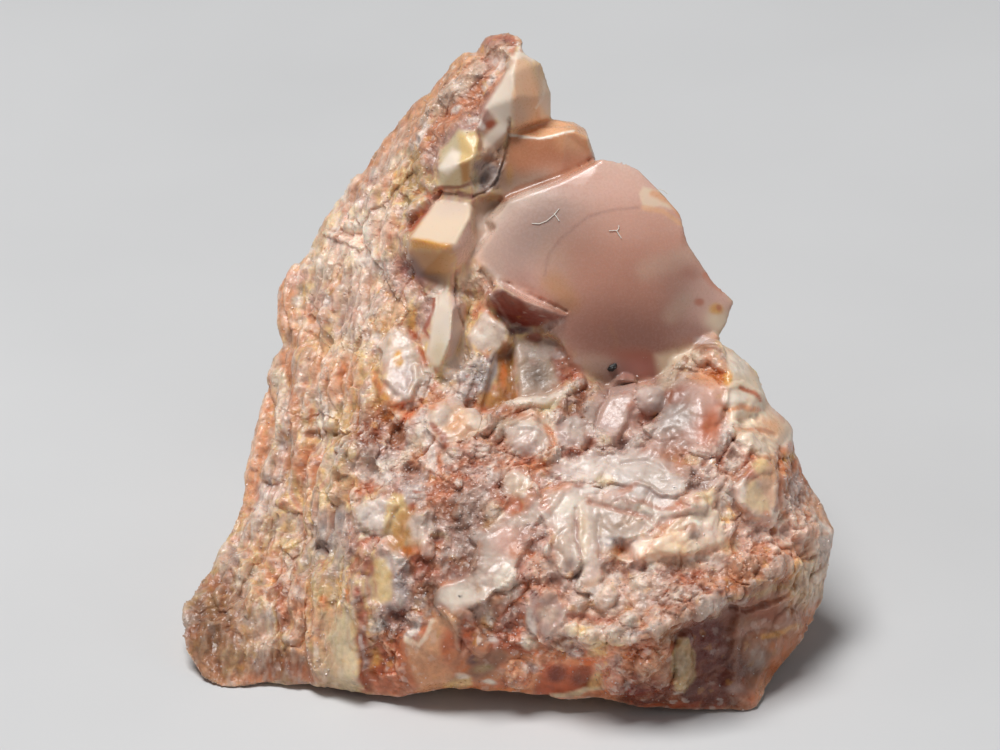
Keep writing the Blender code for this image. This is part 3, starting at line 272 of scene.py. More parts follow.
# Back and underside, as the stone stands: x, y, z. The underside lies below z = 0, where it is cut flat.
BACK_FACETS = {
    "underside": [
        (-9.8, 4.0, -0.5), (-10.4, 6.2, -0.5), (-9.0, 9.2, -0.6), (-6.4, 12.0, -0.6), (-3.0, 13.4, -0.5),
        (1.6, 13.2, -0.6), (5.4, 13.6, -0.5), (7.6, 10.6, -0.5), (7.2, 7.6, -0.6), (8.6, 4.0, -0.5),
        (3.6, 4.8, -0.5), (-1.4, 5.2, -0.6), (-5.6, 4.4, -0.5),
    ],
    "back_shell": [
        (-2.6, 18.6, 4.4), (2.0, 18.9, 3.4), (5.6, 17.6, 4.6), (6.6, 16.6, 8.6), (4.6, 16.9, 12.4),
        (1.4, 17.6, 13.4), (-1.6, 18.2, 11.0), (-3.0, 18.6, 7.4),
    ],
    "back_left": [
        (-9.4, 15.2, 3.0), (-5.4, 17.4, 2.6), (-4.2, 18.2, 6.6), (-5.0, 18.0, 10.4), (-7.8, 16.6, 10.2),
        (-8.8, 15.8, 6.4),
    ],
    "back_right": [
        (7.0, 16.4, 2.4), (10.2, 12.4, 2.2), (10.9, 10.6, 5.4), (9.2, 12.6, 7.4), (7.6, 14.6, 8.8),
        (6.9, 16.2, 6.2),
    ],
    "back_tip": [
        (-3.6, 18.4, 14.2), (-0.4, 18.2, 14.6), (0.9, 17.6, 16.8), (0.6, 17.8, 19.0), (-1.2, 18.6, 19.4),
        (-2.8, 18.6, 17.0),
    ],
}
BACK_POINTS = [
    (-11.6, 5.0, 0.2), (-11.0, 8.4, 1.4), (-10.2, 12.0, 4.0), (-9.2, 15.9, 9.0), (-7.6, 17.3, 13.0),
    (-4.8, 18.2, 15.4), (0.2, 17.9, 20.4), (1.1, 17.2, 18.4), (3.2, 16.4, 16.0), (5.4, 15.2, 14.0),
    (7.4, 13.6, 12.2), (11.5, 8.6, 4.4), (11.8, 6.0, 2.6), (11.4, 3.2, 1.4), (9.0, 13.6, 0.8),
    (-2.4, 18.0, 1.4), (4.0, 17.6, 1.2), (3.0, 17.0, 14.4), (2.0, 17.3, 8.4), (0.4, 17.7, 7.0),
    (3.6, 17.0, 7.2), (2.2, 17.2, 11.0), (-9.9, 9.2, 0.6), (-7.6, 13.4, 0.8), (-3.6, 15.4, 0.7),
    (0.8, 15.2, 0.4), (5.2, 15.8, 0.8), (8.6, 12.4, 0.5), (8.8, 8.4, 0.5), (10.4, 5.2, 0.2),
    (9.6, 2.4, 0.1), (5.6, 2.4, 0.3), (1.2, 2.8, 0.2), (-3.0, 2.9, 0.1), (-6.4, 2.6, 0.1),
    (8.7, 11.5, 12.2),
]

# Raised runs of crust and ribs of stone, as strokes on the display face: points, half width and
# height in mm.
RIDGES = {
    "horn": (
        [(2.9, 13.1), (2.2, 12.6), (1.6, 12.35), (0.6, 12.25), (0.0, 12.0), (-0.5, 11.6), (-0.9, 11.1)],
        0.28, 0.40,
    ),
    "dome_side": ([(2.1, 12.2), (2.2, 11.4), (1.9, 10.6), (1.8, 9.9)], 0.30, 0.35),
    "grey_column": ([(4.7, 12.9), (4.3, 11.9), (3.9, 11.0)], 0.55, 0.50),
    "grey_column_left": ([(3.6, 12.8), (3.3, 12.2), (3.2, 11.8)], 0.30, 0.30),
    "rising_bar": ([(3.0, 9.8), (3.8, 10.1), (4.7, 10.2), (5.6, 10.8), (6.6, 11.8)], 0.38, 0.45),
    "flow_top": ([(3.2, 9.3), (4.4, 9.4), (5.4, 9.3), (6.3, 9.6)], 0.42, 0.50),
    "flow_belly": ([(5.0, 8.9), (5.9, 8.7), (6.7, 8.8)], 0.40, 0.40),
    "flow_mid": ([(2.4, 8.9), (3.3, 8.7), (4.3, 8.4), (5.4, 8.2), (6.6, 8.1), (7.6, 8.3)], 0.36, 0.45),
    "finger_left": ([(2.7, 8.5), (2.2, 7.7), (2.4, 6.9), (2.6, 6.2), (2.4, 5.7)], 0.42, 0.50),
    "finger_mid": ([(3.0, 8.0), (3.2, 7.2), (3.3, 6.4), (3.4, 5.6), (3.1, 5.0)], 0.34, 0.50),
    "finger_right": ([(3.9, 6.9), (4.0, 6.2)], 0.28, 0.30),
    "bulge": ([(3.9, 7.8), (4.6, 7.5), (5.4, 7.6)], 0.50, 0.45),
    "rim_high": ([(8.2, 14.5), (9.1, 14.0), (9.8, 13.2), (10.2, 12.3)], 0.60, 0.45),
    "rim_mid": ([(10.2, 12.1), (10.9, 11.4), (11.1, 10.6)], 0.55, 0.40),
    "rim_lip": ([(9.0, 11.2), (9.8, 11.1), (10.6, 11.0)], 0.35, 0.30),
    "pink_swell": ([(6.7, 12.8), (7.4, 11.8), (8.0, 10.8)], 0.80, 0.40),
    "cream_lobe": ([(8.6, 12.6), (9.4, 12.4), (10.0, 12.0)], 0.45, 0.40),
    "long_flow": (
        [(0.9, 8.5), (0.2, 7.6), (-0.5, 6.8), (-0.9, 5.9), (-0.9, 5.1), (-1.6, 4.6), (-2.3, 4.6)],
        0.60, 0.50,
    ),
    "ridge_plate": ([(-6.3, 10.9), (-6.6, 9.4), (-6.8, 8.4)], 0.28, 0.45),
    "flank_rib": ([(-3.3, 8.0), (-3.2, 7.2), (-3.1, 6.3)], 0.35, 0.40),
    "brown_rib": ([(-1.9, 4.0), (-1.5, 3.2), (-1.2, 2.6)], 0.45, 0.30),
    "left_rib_1": ([(-9.4, 13.4), (-9.0, 11.4), (-9.4, 9.4)], 0.45, 0.35),
    "left_rib_2": ([(-8.2, 12.6), (-8.4, 10.4), (-8.8, 8.2)], 0.40, 0.30),
    "left_rib_3": ([(-10.0, 7.4), (-10.6, 6.0), (-11.4, 4.4)], 0.50, 0.35),
    "left_rib_4": ([(-7.4, 15.6), (-7.0, 13.6), (-7.2, 11.6)], 0.45, 0.30),
    "left_rib_5": ([(-8.0, 6.4), (-8.4, 4.6), (-8.6, 3.0)], 0.45, 0.30),
    "high_rib": ([(-6.4, 19.6), (-5.2, 20.4), (-4.2, 21.8)], 0.40, 0.30),
    "tip_rib": ([(-2.9, 24.2), (-2.0, 25.2), (-1.2, 26.0)], 0.35, 0.25),
    "ledge_lip": ([(2.8, 3.3), (3.8, 3.05), (5.0, 3.0), (6.0, 3.5), (7.2, 4.1), (8.4, 4.6)], 0.30, 0.30),
    "yellow_flake": ([(7.0, 2.9), (7.1, 2.0), (6.9, 1.2)], 0.38, 0.40),
}

# Rounded lumps of crust: centre, radius and height.
LUMPS = [
    (0.9, 10.9, 1.0, 0.50), (5.8, 12.4, 0.65, 0.55), (2.7, 11.2, 0.55, 0.45), (-2.1, 10.3, 0.35, 0.35),
    (-1.5, 10.4, 0.35, 0.35), (-1.0, 10.4, 0.35, 0.30), (0.5, 9.1, 0.5, 0.40), (-0.5, 7.9, 0.5, 0.40),
    (0.0, 5.4, 0.5, 0.40), (-1.2, 7.1, 0.35, 0.30), (7.9, 14.3, 0.5, 0.40), (8.2, 4.0, 0.35, 0.40),
    (-2.0, 9.1, 0.25, 0.25), (-2.0, 7.9, 0.25, 0.25), (1.0, 5.6, 0.35, 0.40), (1.8, 6.4, 0.3, 0.30),
    (1.3, 4.4, 0.6, 0.30), (3.8, 4.6, 0.6, 0.30), (4.9, 3.6, 0.45, 0.30), (6.8, 4.9, 0.6, 0.30),
    (10.2, 2.4, 0.9, 0.30), (11.3, 3.4, 0.6, 0.25), (-8.8, 6.6, 0.5, 0.35), (-10.3, 6.1, 0.4, 0.30),
    (0.4, 1.5, 0.6, 0.30), (5.5, 2.0, 0.6, 0.30), (4.2, 1.2, 0.5, 0.25), (9.4, 5.8, 0.6, 0.30),
]

# Hollows: centre, radius and depth.
PITS = [
    (-5.2, 11.2, 0.9, 0.55), (-3.7, 9.6, 0.5, 0.50), (4.7, 10.6, 0.6, 0.50), (3.3, 10.6, 0.35, 0.35),
    (2.6, 10.1, 0.35, 0.35), (4.6, 6.5, 0.5, 0.40), (-2.8, 6.9, 0.35, 0.40), (1.4, 6.9, 0.4, 0.35),
    (7.6, 9.3, 0.7, 0.30), (6.7, 10.0, 0.5, 0.30), (9.1, 10.1, 0.4, 0.30), (0.7, 9.8, 0.6, 0.30),
    (-4.4, 3.8, 0.5, 0.50), (-1.0, 21.3, 0.55, 0.40), (-7.9, 11.0, 0.35, 0.35), (-7.4, 6.4, 0.4, 0.40),
    (9.5, 11.7, 0.5, 0.35), (5.3, 11.5, 0.4, 0.35), (-4.2, 4.9, 0.4, 0.30), (-2.4, 5.6, 0.6, 0.30),
    (3.0, 12.5, 0.35, 0.30), (0.2, 3.4, 0.6, 0.30), (1.8, 5.2, 0.4, 0.30), (-5.4, 9.6, 0.5, 0.30),
]

# Places where the crust or the stone is rounded over: centre and radius.
ROUNDED = [
    (4.4, 11.8, 1.2), (5.8, 12.4, 0.8), (7.5, 11.8, 1.7), (9.8, 12.4, 1.8), (5.4, 9.4, 1.4),
    (3.4, 7.2, 1.4), (2.4, 8.0, 1.1), (0.9, 11.0, 1.2), (-0.3, 6.6, 1.2), (-1.9, 4.6, 1.1),
    (10.6, 2.4, 1.6), (6.4, 8.2, 1.0), (11.0, 11.0, 1.2), (1.6, 12.6, 0.9),
]

# Roughness of the broken stone: size of the relief in mm and its height.
CHIP_GRAIN, CHIP_HEIGHT = 3.2, 0.30
SPALL_GRAIN, SPALL_HEIGHT = 1.3, 0.22
CRUST_GRAIN, CRUST_HEIGHT = 0.95, 0.05
STREAK_WIDTH, STREAK_LENGTH, STREAK_HEIGHT = 0.9, 5.0, 0.50
CRUST_CALM = 0.5  # how much less the crust is chipped
STREAK_CALM = 0.7  # how much less the streaked left face is spalled
ROUNDED_CALM = 0.75  # how much smoother the rounded places are
SEAM = 0.22  # share of a chip over which it drops to the seam round it
CHIP_SEED = 7  # which of the possible tilts the chips take
LANDMARK_SPACING = 0.5  # mm between the points that hold the pink break's curve
CRUST_LEFT, CRUST_TOP = -5.6, 13.4  # mm, where the knobby crust begins
FLANK_EDGE, FLANK_SLANT = -5.2, 0.12  # mm, right edge of the streaked flank, and how it slants
FOOT_LEFT, FOOT_TOP = -6.0, 3.9  # mm, where the glassy foot begins
ROUGH_BREAKS = ("ledge_top", "quartz_patch", "cream_plane")  # the flat breaks that are chipped all the same
SMOOTH_MARGIN = 0.45  # mm over which the roughness fades out at a smooth break
RIM_MARGIN, RIM_ROUGHNESS = 1.2, 0.35  # the roughness left at the display face's rim
BACK_CALM = 0.5  # how much smoother the large breaks of the back are
FOOT_CALM = 0.2  # mm, height under which the underside stays even

# Fine relief that the solid leaves out: size of its grain in mm and its height.
SMALL_CHIP_GRAIN, SMALL_CHIP_HEIGHT = 0.6, 0.07
FLAKE_GRAIN, FLAKE_HEIGHT = 0.27, 0.022
CREST_GRAIN, CREST_HEIGHT = 1.2, 0.05
SUGAR_GRAIN, SUGAR_HEIGHT = 0.24, 0.07
SHARD, SHARD_HEIGHT = (0.55, 3.0, 0.55), 0.13  # mm, width, length and depth of the left flank's shards
BEND_GRAIN, BEND = 2.2, 0.9  # mm, how widely and how far the streaks bend
FINE_STREAK, FINE_STREAK_HEIGHT = (0.28, 1.3, 0.28), 0.045
SWAY_GRAIN, SWAY = 1.0, 0.17  # how unevenly the drawn ribs, lumps and hollows run
SWELLING = 0.45  # how much the ribs' height comes and goes along them
HOLLOW_ROUNDS = 12  # how far out a point looks to tell crest from hollow
HOLLOW_DEPTH = 0.05  # mm above or below its surroundings that counts as a full crest or hollow
PLAIN_BREAKS = (  # the breaks that keep some of the fine chips
    "cream_plane", "ochre_wedge", "ochre_wedge_low", "cream_slab", "white_chip", "yellow_chip",
    "cream_leaf", "ledge_top", "peach_panel", "brown_lobe", "orange_recess", "lemon_panel",
    "deep_face", "lobe", "lilac_shell", "white_shard", "amber_panel", "beige_panel", "grey_hollow",
    "red_wedge_face", "quartz_patch",
)
PLAIN_CALM = 0.5
NODULE_GRAIN, NODULE_HEIGHT = 0.42, 0.02
FOLD_GRAIN, FOLD_HEIGHT = 1.3, 0.24
FOLD_LEVEL = 0.6  # the share of a fold's crown that stays where the plain surface was
FOLD_TURN, FOLD_LENGTH = math.radians(50.0), 1.8

# Smooth sheets that drape the crust: height in mm, then the outline.
SHEETS = {
    "main_drape": (0.24, [
        (1.5, 8.6), (2.3, 9.0), (3.6, 8.9), (5.2, 8.8), (6.4, 8.4), (7.3, 8.1), (6.2, 7.7), (5.5, 7.1),
        (4.8, 6.9), (4.0, 7.0), (3.8, 6.4), (3.75, 5.5), (3.3, 4.8), (3.0, 5.3), (3.0, 6.3), (2.8, 6.5),
        (2.65, 5.8), (2.3, 5.5), (1.9, 6.1), (1.8, 7.0), (1.45, 7.8),
    ]),
    "high_drape": (0.24, [
        (1.8, 9.5), (2.2, 9.9), (3.4, 10.2), (4.3, 10.1), (5.6, 10.5), (6.3, 11.6), (6.8, 11.7),
        (6.7, 10.6), (7.2, 9.4), (7.0, 8.8), (6.2, 8.8), (5.0, 9.2), (4.0, 9.1), (2.8, 9.2),
    ]),
    "long_drape": (0.24, [
        (-1.0, 7.3), (-0.2, 7.7), (0.4, 8.6), (1.2, 8.8), (1.4, 8.2), (1.0, 7.4), (0.6, 6.4), (0.2, 5.6),
        (-0.2, 5.0), (-0.8, 4.6), (-1.6, 4.15), (-2.3, 4.0), (-2.8, 4.4), (-2.6, 5.0), (-1.8, 5.2),
        (-1.2, 5.6), (-1.1, 6.4),
    ]),
    "rim_drape": (0.18, [
        (8.6, 14.5), (9.4, 14.1), (10.3, 13.0), (10.5, 12.1), (11.3, 11.4), (11.3, 10.8), (10.6, 10.3),
        (9.9, 10.5), (9.2, 10.9), (8.9, 11.8), (8.9, 12.8), (8.8, 13.6),
    ]),
    "rose_swell": (0.24, [
        (6.8, 13.2), (7.9, 13.6), (8.6, 12.8), (8.4, 11.6), (7.9, 10.6), (6.9, 10.3), (6.2, 11.0),
        (6.4, 12.3),
    ]),
    "grey_drape": (0.24, [
        (3.5, 12.6), (4.4, 13.1), (5.2, 12.9), (5.0, 12.0), (4.4, 11.0), (3.7, 11.1), (3.2, 11.8),
    ]),
    "flank_drape": (0.20, [
        (-3.2, 12.2), (-2.0, 12.3), (-1.2, 11.9), (-0.8, 11.3), (-1.6, 10.8), (-2.4, 10.6), (-3.0, 11.2),
    ]),
    "frost_drape": (0.24, [(-6.1, 8.2), (-5.0, 8.6), (-4.5, 8.2), (-4.9, 7.2), (-6.0, 7.3)]),
    "left_lobe": (0.20, [(-4.9, 13.2), (-5.2, 14.6), (-4.4, 15.3), (-3.7, 14.6), (-3.3, 13.4), (-3.9, 12.5)]),
    "mid_lobe": (0.18, [(-0.2, 9.5), (0.6, 9.5), (1.0, 9.0), (0.7, 8.5), (0.0, 8.5)]),
    "quartz_lobe": (0.18, [(1.9, 11.2), (2.4, 11.8), (3.2, 11.6), (3.4, 11.0), (2.8, 10.5), (2.1, 10.5)]),
    "crust_foot": (0.24, [(0.9, 4.4), (1.8, 4.8), (2.4, 4.2), (2.2, 3.6), (1.4, 3.2), (0.8, 3.6)]),
}
SHEET_EDGE = 0.22  # mm over which a sheet rises
SHEET_CALM = 0.5  # how smooth the sheets are
SHEET_SPREAD = 0.9  # how much of a run's height a sheet takes in

# The part of the display face that keeps no fine relief at all: the waxy blocks and the pink break.
CALM_ZONE = [
    (-1.5, 18.2), (-1.5, 20.4), (-0.2, 20.9), (0.2, 23.6), (0.4, 26.2), (1.2, 26.4), (2.0, 25.0),
    (1.9, 23.8), (3.4, 23.6), (3.8, 22.4), (4.9, 22.6), (7.4, 20.6), (9.6, 17.0), (9.8, 15.6), (8.0, 14.9),
    (6.6, 14.6), (4.4, 13.0), (2.6, 14.4), (2.4, 15.9), (0.0, 17.2),
]
KNIFE_MARGIN = 1.2  # mm from a thin rim over which the roughness grows back

# Fine ribs (height above 0) and grooves (below 0) of the display face: half width, height, run.
FINE_STROKES = [
    # Drapery of the pale crust
    (0.16, 0.08, [(2.1, 8.6), (1.7, 8.0), (1.3, 7.6)]),
    (0.14, 0.07, [(2.9, 7.6), (2.85, 6.9), (2.75, 6.2), (2.7, 5.7)]),
    (0.14, -0.09, [(2.75, 8.0), (2.75, 7.0), (2.95, 6.2)]),
    (0.12, -0.08, [(3.65, 7.7), (3.6, 6.9), (3.7, 6.2)]),
    (0.12, -0.08, [(3.3, 8.3), (4.0, 8.1), (4.9, 7.95), (5.8, 7.6)]),
    (0.14, -0.09, [(2.9, 9.1), (3.9, 8.9), (4.8, 8.85)]),
    (0.12, -0.07, [(4.6, 9.8), (5.6, 9.9), (6.3, 9.5)]),
    (0.16, 0.08, [(4.9, 8.3), (5.4, 8.1), (5.7, 7.8)]),
    (0.14, 0.07, [(6.7, 8.6), (7.3, 8.4), (8.0, 8.6), (8.6, 9.2)]),
    (0.12, -0.14, [(4.1, 12.6), (3.7, 11.9), (3.5, 11.2)]),
    (0.12, -0.08, [(5.15, 12.3), (4.85, 11.5), (4.5, 10.8)]),
    (0.15, 0.08, [(4.8, 10.6), (5.4, 11.0), (5.8, 11.3)]),
    (0.14, 0.07, [(2.3, 11.7), (2.7, 11.3), (3.1, 11.5)]),
    # Right rim
    (0.14, -0.07, [(8.8, 12.1), (9.5, 12.1), (10.0, 11.6)]),
    (0.14, 0.08, [(8.7, 12.9), (9.4, 13.0), (10.1, 12.5)]),
    (0.12, -0.07, [(9.1, 11.3), (9.9, 11.2), (10.7, 10.9)]),
    (0.14, 0.07, [(8.6, 11.3), (8.9, 10.7), (9.2, 10.3)]),
    (0.12, 0.07, [(10.7, 10.2), (10.7, 9.0), (10.6, 8.2)]),
    (0.12, -0.07, [(10.9, 10.3), (10.9, 9.0), (10.8, 8.0)]),
    # Dome and its rings
    (0.10, -0.12, [(0.2, 11.3), (1.0, 11.6), (1.7, 11.2), (1.9, 10.5), (1.6, 9.9), (0.9, 9.8)]),
    (0.08, 0.10, [(0.5, 11.2), (1.2, 11.2), (1.6, 10.8), (1.6, 10.3)]),
    # Crack and shell lines
    (0.07, -0.12, [(0.12, 23.7), (0.06, 22.9), (-0.1, 22.0), (-0.4, 21.2), (-0.9, 20.75), (-1.3, 20.6)]),
    (0.10, -0.30, [(-2.7, 20.8), (-3.1, 20.3), (-3.5, 19.9), (-3.9, 19.4)]),
    (0.05, -0.06, [(-0.4, 22.1), (-0.9, 21.9), (-1.25, 21.4), (-1.2, 20.9)]),
    (0.05, -0.06, [(-0.5, 21.8), (-0.85, 21.6), (-1.05, 21.2), (-0.9, 20.9)]),
    (0.05, 0.05, [(-0.3, 21.9), (-0.4, 21.4), (-0.7, 21.0)]),
    (0.07, -0.12, [(-2.0, 17.6), (-2.1, 16.8), (-1.9, 15.9), (-1.6, 15.2)]),
    (0.08, -0.10, [(-0.3, 17.2), (0.6, 16.75), (1.6, 16.3), (2.4, 15.95)]),
    # Left face
    (0.14, 0.18, [(-6.3, 11.0), (-6.35, 10.0), (-6.5, 9.2), (-6.6, 8.4)]),
    (0.12, -0.16, [(-7.1, 11.0), (-6.3, 11.05)]),
    (0.16, 0.16, [(-9.9, 12.6), (-9.9, 11.2), (-10.2, 9.6)]),
    (0.14, 0.14, [(-8.7, 17.9), (-8.9, 16.6), (-8.8, 15.4)]),
    (0.14, -0.14, [(-8.1, 15.8), (-7.6, 15.3), (-7.3, 14.8)]),
    (0.14, 0.15, [(-7.4, 19.2), (-6.6, 18.9), (-5.9, 18.6)]),
    (0.12, 0.14, [(-3.3, 13.8), (-3.2, 13.2), (-3.5, 12.6)]),
    (0.12, 0.12, [(-3.7, 13.7), (-3.65, 13.1), (-3.9, 12.5)]),
    # Lower edge
    (0.12, 0.14, [(10.0, 4.1), (10.8, 4.3), (11.5, 4.9)]),
    (0.12, -0.14, [(8.9, 4.2), (9.6, 4.0), (10.3, 4.3)]),
    (0.14, 0.15, [(-5.2, 4.2), (-5.0, 3.2), (-4.8, 2.2)]),
    (0.12, 0.12, [(-2.7, 4.1), (-2.1, 3.6), (-1.9, 2.6)]),
]

# Sugary places of the display face: centre, half width, half height and how strong.
SUGARY = [
    (-5.4, 11.2, 0.9, 0.8, 1.0), (-4.4, 11.0, 0.6, 0.6, 0.8), (-4.6, 9.6, 1.3, 1.2, 0.9),
    (-1.8, 9.6, 1.1, 0.7, 1.0), (-2.0, 7.6, 1.1, 1.5, 0.6), (-5.2, 7.6, 0.9, 0.8, 0.8),
    (0.0, 3.1, 0.9, 1.0, 0.9), (0.4, 1.5, 1.1, 0.8, 1.0), (2.4, 2.4, 1.1, 0.7, 0.9),
    (5.4, 2.2, 0.9, 0.8, 1.0), (9.8, 6.2, 1.1, 0.9, 0.8), (11.6, 8.2, 0.8, 1.3, 0.8),
    (7.7, 9.2, 1.0, 0.4, 1.0), (9.1, 9.7, 0.8, 0.6, 0.9), (5.0, 5.7, 0.6, 0.5, 0.9),
    (5.8, 13.7, 1.0, 0.6, 0.9), (2.4, 13.7, 0.7, 0.7, 0.9), (1.1, 5.2, 0.6, 1.0, 0.9),
    (-4.2, 5.2, 0.5, 0.9, 0.8), (-4.6, 3.6, 0.8, 0.7, 0.9), (6.8, 5.2, 1.6, 0.7, 0.8),
    (4.1, 6.7, 0.6, 0.4, 0.8), (-1.0, 13.8, 0.7, 0.6, 0.8), (-2.2, 23.8, 1.4, 1.2, 0.5),
    (-4.4, 17.6, 0.8, 0.9, 0.6), (-8.8, 5.0, 0.9, 1.6, 0.5), (4.5, 10.5, 0.7, 0.4, 0.8),
    (3.3, 10.5, 0.3, 0.3, 0.8), (2.5, 10.2, 0.4, 0.4, 0.8), (9.6, 7.6, 1.0, 0.6, 0.7),
    (7.4, 7.0, 0.5, 0.5, 0.6), (-6.8, 4.5, 0.8, 0.8, 0.6), (-0.6, 11.6, 0.8, 0.4, 0.4),
    (4.4, 1.4, 0.9, 0.8, 0.8), (0.7, 7.0, 0.7, 0.6, 0.7),
]


def stood(u, v, w):
    """A point of the face frame as the stone stands, in mm."""
    across = math.sin(LEAN) * v - math.cos(LEAN) * w
    up = math.cos(LEAN) * v + math.sin(LEAN) * w
    return u, across, up


def laid(x, y, z):
    """A point of the standing stone in the face frame, in mm."""
    along = math.sin(LEAN) * y + math.cos(LEAN) * z
    out = math.sin(LEAN) * z - math.cos(LEAN) * y
    return x, along, out


def pink_depth(u, v):
    """Depth of the smooth pink break at a point of the display face."""
    centre_u, centre_v, centre_w = PINK_CENTRE
    return centre_w - PINK_SWELL * ((u - centre_u) ** 2 + (v - centre_v) ** 2)


def eased(share):
    """A share from 0 to 1 with a soft start and end."""
    share = np.clip(share, 0.0, 1.0)
    return share * share * (3.0 - 2.0 * share)


def rising(values, start, run):
    """0 up to start, 1 from run past it on, with a soft rise between."""
    return eased((values - start) / run)


def rounded(share):
    """The height of a round back from its crest at 0 to its foot at 1."""
    return np.sqrt(1.0 - np.clip(share, 0.0, 1.0) ** 2)


def distance_to_run(points, run, closed=False):
    """Distance in the face plane of each point to a run of segments."""
    ends = list(zip(run, run[1:] + run[:1])) if closed else list(zip(run, run[1:]))
    nearest = np.full(len(points), np.inf)
    for start, end in ends:
        a = np.array(start[:2])
        along = np.array(end[:2]) - a
        share = np.clip((points - a) @ along / (along @ along), 0.0, 1.0)
        gap = np.linalg.norm(points - a - share[:, None] * along, axis=1)
        nearest = np.minimum(nearest, gap)
    return nearest


def distance_to(plane, u, v, across=1.0, along=1.0):
    """Distance in the face plane of each point to one place, as a share of an oval's half sizes."""
    return np.hypot((plane[:, 0] - u) / across, (plane[:, 1] - v) / along)


def inside(points, polygon):
    """Which points of the face plane lie in a polygon: those that meet its edge an odd number of times."""
    met = np.zeros(len(points), int)
    for (u0, v0, *_), (u1, v1, *_) in zip(polygon, polygon[1:] + polygon[:1]):
        spans = (v0 > points[:, 1]) != (v1 > points[:, 1])
        rise = (points[:, 1] - v0) / (v1 - v0) if v1 != v0 else 0.0
        met += spans & (points[:, 0] < u0 + rise * (u1 - u0))
    return met % 2 == 1


def within(plane, outline, edge):
    """1 inside an outline, 0 from edge mm outside it on."""
    gap = distance_to_run(plane, outline, True)
    gap[inside(plane, outline)] = 0.0
    return 1.0 - eased(gap / edge)


def turned_out(normals, start, run):
    """0 where the surface turns away from the display face's front, 1 from run past start on."""
    return rising(normals[:, 2], start, run)


def pink_landmarks():
    """Points over the smooth break, so that it stays one even curve."""
    columns, rows = range(-4, 20), range(24, 46)
    points = np.array([(LANDMARK_SPACING * i, LANDMARK_SPACING * j) for i in columns for j in rows])
    clear = distance_to_run(points, PINK_EDGE, True) > 0.4 * LANDMARK_SPACING
    return [(u, v, pink_depth(u, v)) for u, v in points[inside(points, PINK_EDGE) & clear]]


def sheet(rim, facets, points):
    """Triangles over the outline through landmarks in the face frame: (corners, faces)."""
    corners = list(rim)
    edges = [(i, (i + 1) % len(rim)) for i in range(len(rim))]
    place = {(round(u, 3), round(v, 3)): i for i, (u, v, _) in enumerate(corners)}

    def corner(point):
        key = (round(point[0], 3), round(point[1], 3))
        if key not in place:
            place[key] = len(corners)
            corners.append(point)
        return place[key]

    for facet in facets:
        ring = [corner(point) for point in facet]
        edges += list(zip(ring, ring[1:] + ring[:1]))
    for point in points:
        corner(point)
    flat = [Vector(point[:2]) for point in corners]
    _, _, faces, origins = delaunay_2d_cdt(flat, edges, [list(range(len(rim)))], 1, 1e-4)[:4]
    return [corners[origin[0]] for origin in origins], [list(face) for face in faces]


def rough_block():
    """The stone's large breaks as one closed mesh of flat facets, in the face frame."""
    facets = [[(u, v, pink_depth(u, v)) for u, v in PINK_EDGE], *FACETS.values()]
    loose = [point for group in POINTS.values() for point in group]
    front_corners, front_faces = sheet(OUTLINE, facets, loose + pink_landmarks())
    back_rings = [[laid(*point) for point in facet] for facet in BACK_FACETS.values()]
    back_corners, back_faces = sheet(OUTLINE, back_rings, [laid(*p) for p in BACK_POINTS])
    shape = bmesh.new()
    for corners, faces, turned in ((front_corners, front_faces, False), (back_corners, back_faces, True)):
        made = [shape.verts.new(corner) for corner in corners]
        for face in faces:
            ring = [made[i] for i in face]
            shape.faces.new(reversed(ring) if turned else ring)
    bmesh.ops.remove_doubles(shape, verts=shape.verts, dist=1e-4)
    bmesh.ops.recalc_face_normals(shape, faces=shape.faces)
    return mesh_of("faceted", shape)


def mesh_of(name, shape):
    """The mesh of a finished bmesh."""
    mesh = bpy.data.meshes.new(name)
    shape.to_mesh(mesh)
    shape.free()
    return mesh


def mesh_from(name, points, faces):
    """A mesh of these points and faces."""
    mesh = bpy.data.meshes.new(name)
    mesh.from_pydata(points, [], faces)
    return mesh


def placed(name, data):
    """A new object of this mesh, light or camera in the scene."""
    obj = bpy.data.objects.new(name, data)
    bpy.context.scene.collection.objects.link(obj)
    return obj


def reshaped(obj):
    """The object's mesh with its modifiers applied; the object itself is removed."""
    graph = bpy.context.evaluated_depsgraph_get()
    graph.update()
    mesh = bpy.data.meshes.new_from_object(obj.evaluated_get(graph))
    bpy.data.objects.remove(obj)
    return mesh


def remeshed(mesh):
    """The mesh rebuilt on an even grid, ready to be carved."""
    obj = placed("carving", mesh)
    grid = obj.modifiers.new("grid", "REMESH")
    grid.mode = "VOXEL"
    grid.voxel_size = FINE_VOXEL
    return reshaped(obj)


def fractal(points, grain, octaves=4):
    """Smooth noise from about -1 to 1 at each point, its largest forms grain mm across.

    A number added to the points gives another pattern of the same noise.
    """
    scaled = points / grain
    return np.array([noise.fractal(Vector(p), 1.0, 2.0, octaves) for p in scaled])


def chips(points, grain):
    """Tilted flats about grain mm across, from about -1 to 1, as a brittle stone breaks."""
    values = []
    for point in points / grain:
        place = Vector(point)
        distances, centres = noise.voronoi(place)
        centre = centres[0]
        tilt = noise.noise_vector(centre * 7.3)
        flat = 1.6 * tilt.dot(place - centre) + noise.noise(centre * 5.1)
        seam = min((distances[1] - distances[0]) / SEAM, 1.0)
        values.append(flat * (0.4 + 0.6 * seam))
    return np.array(values)


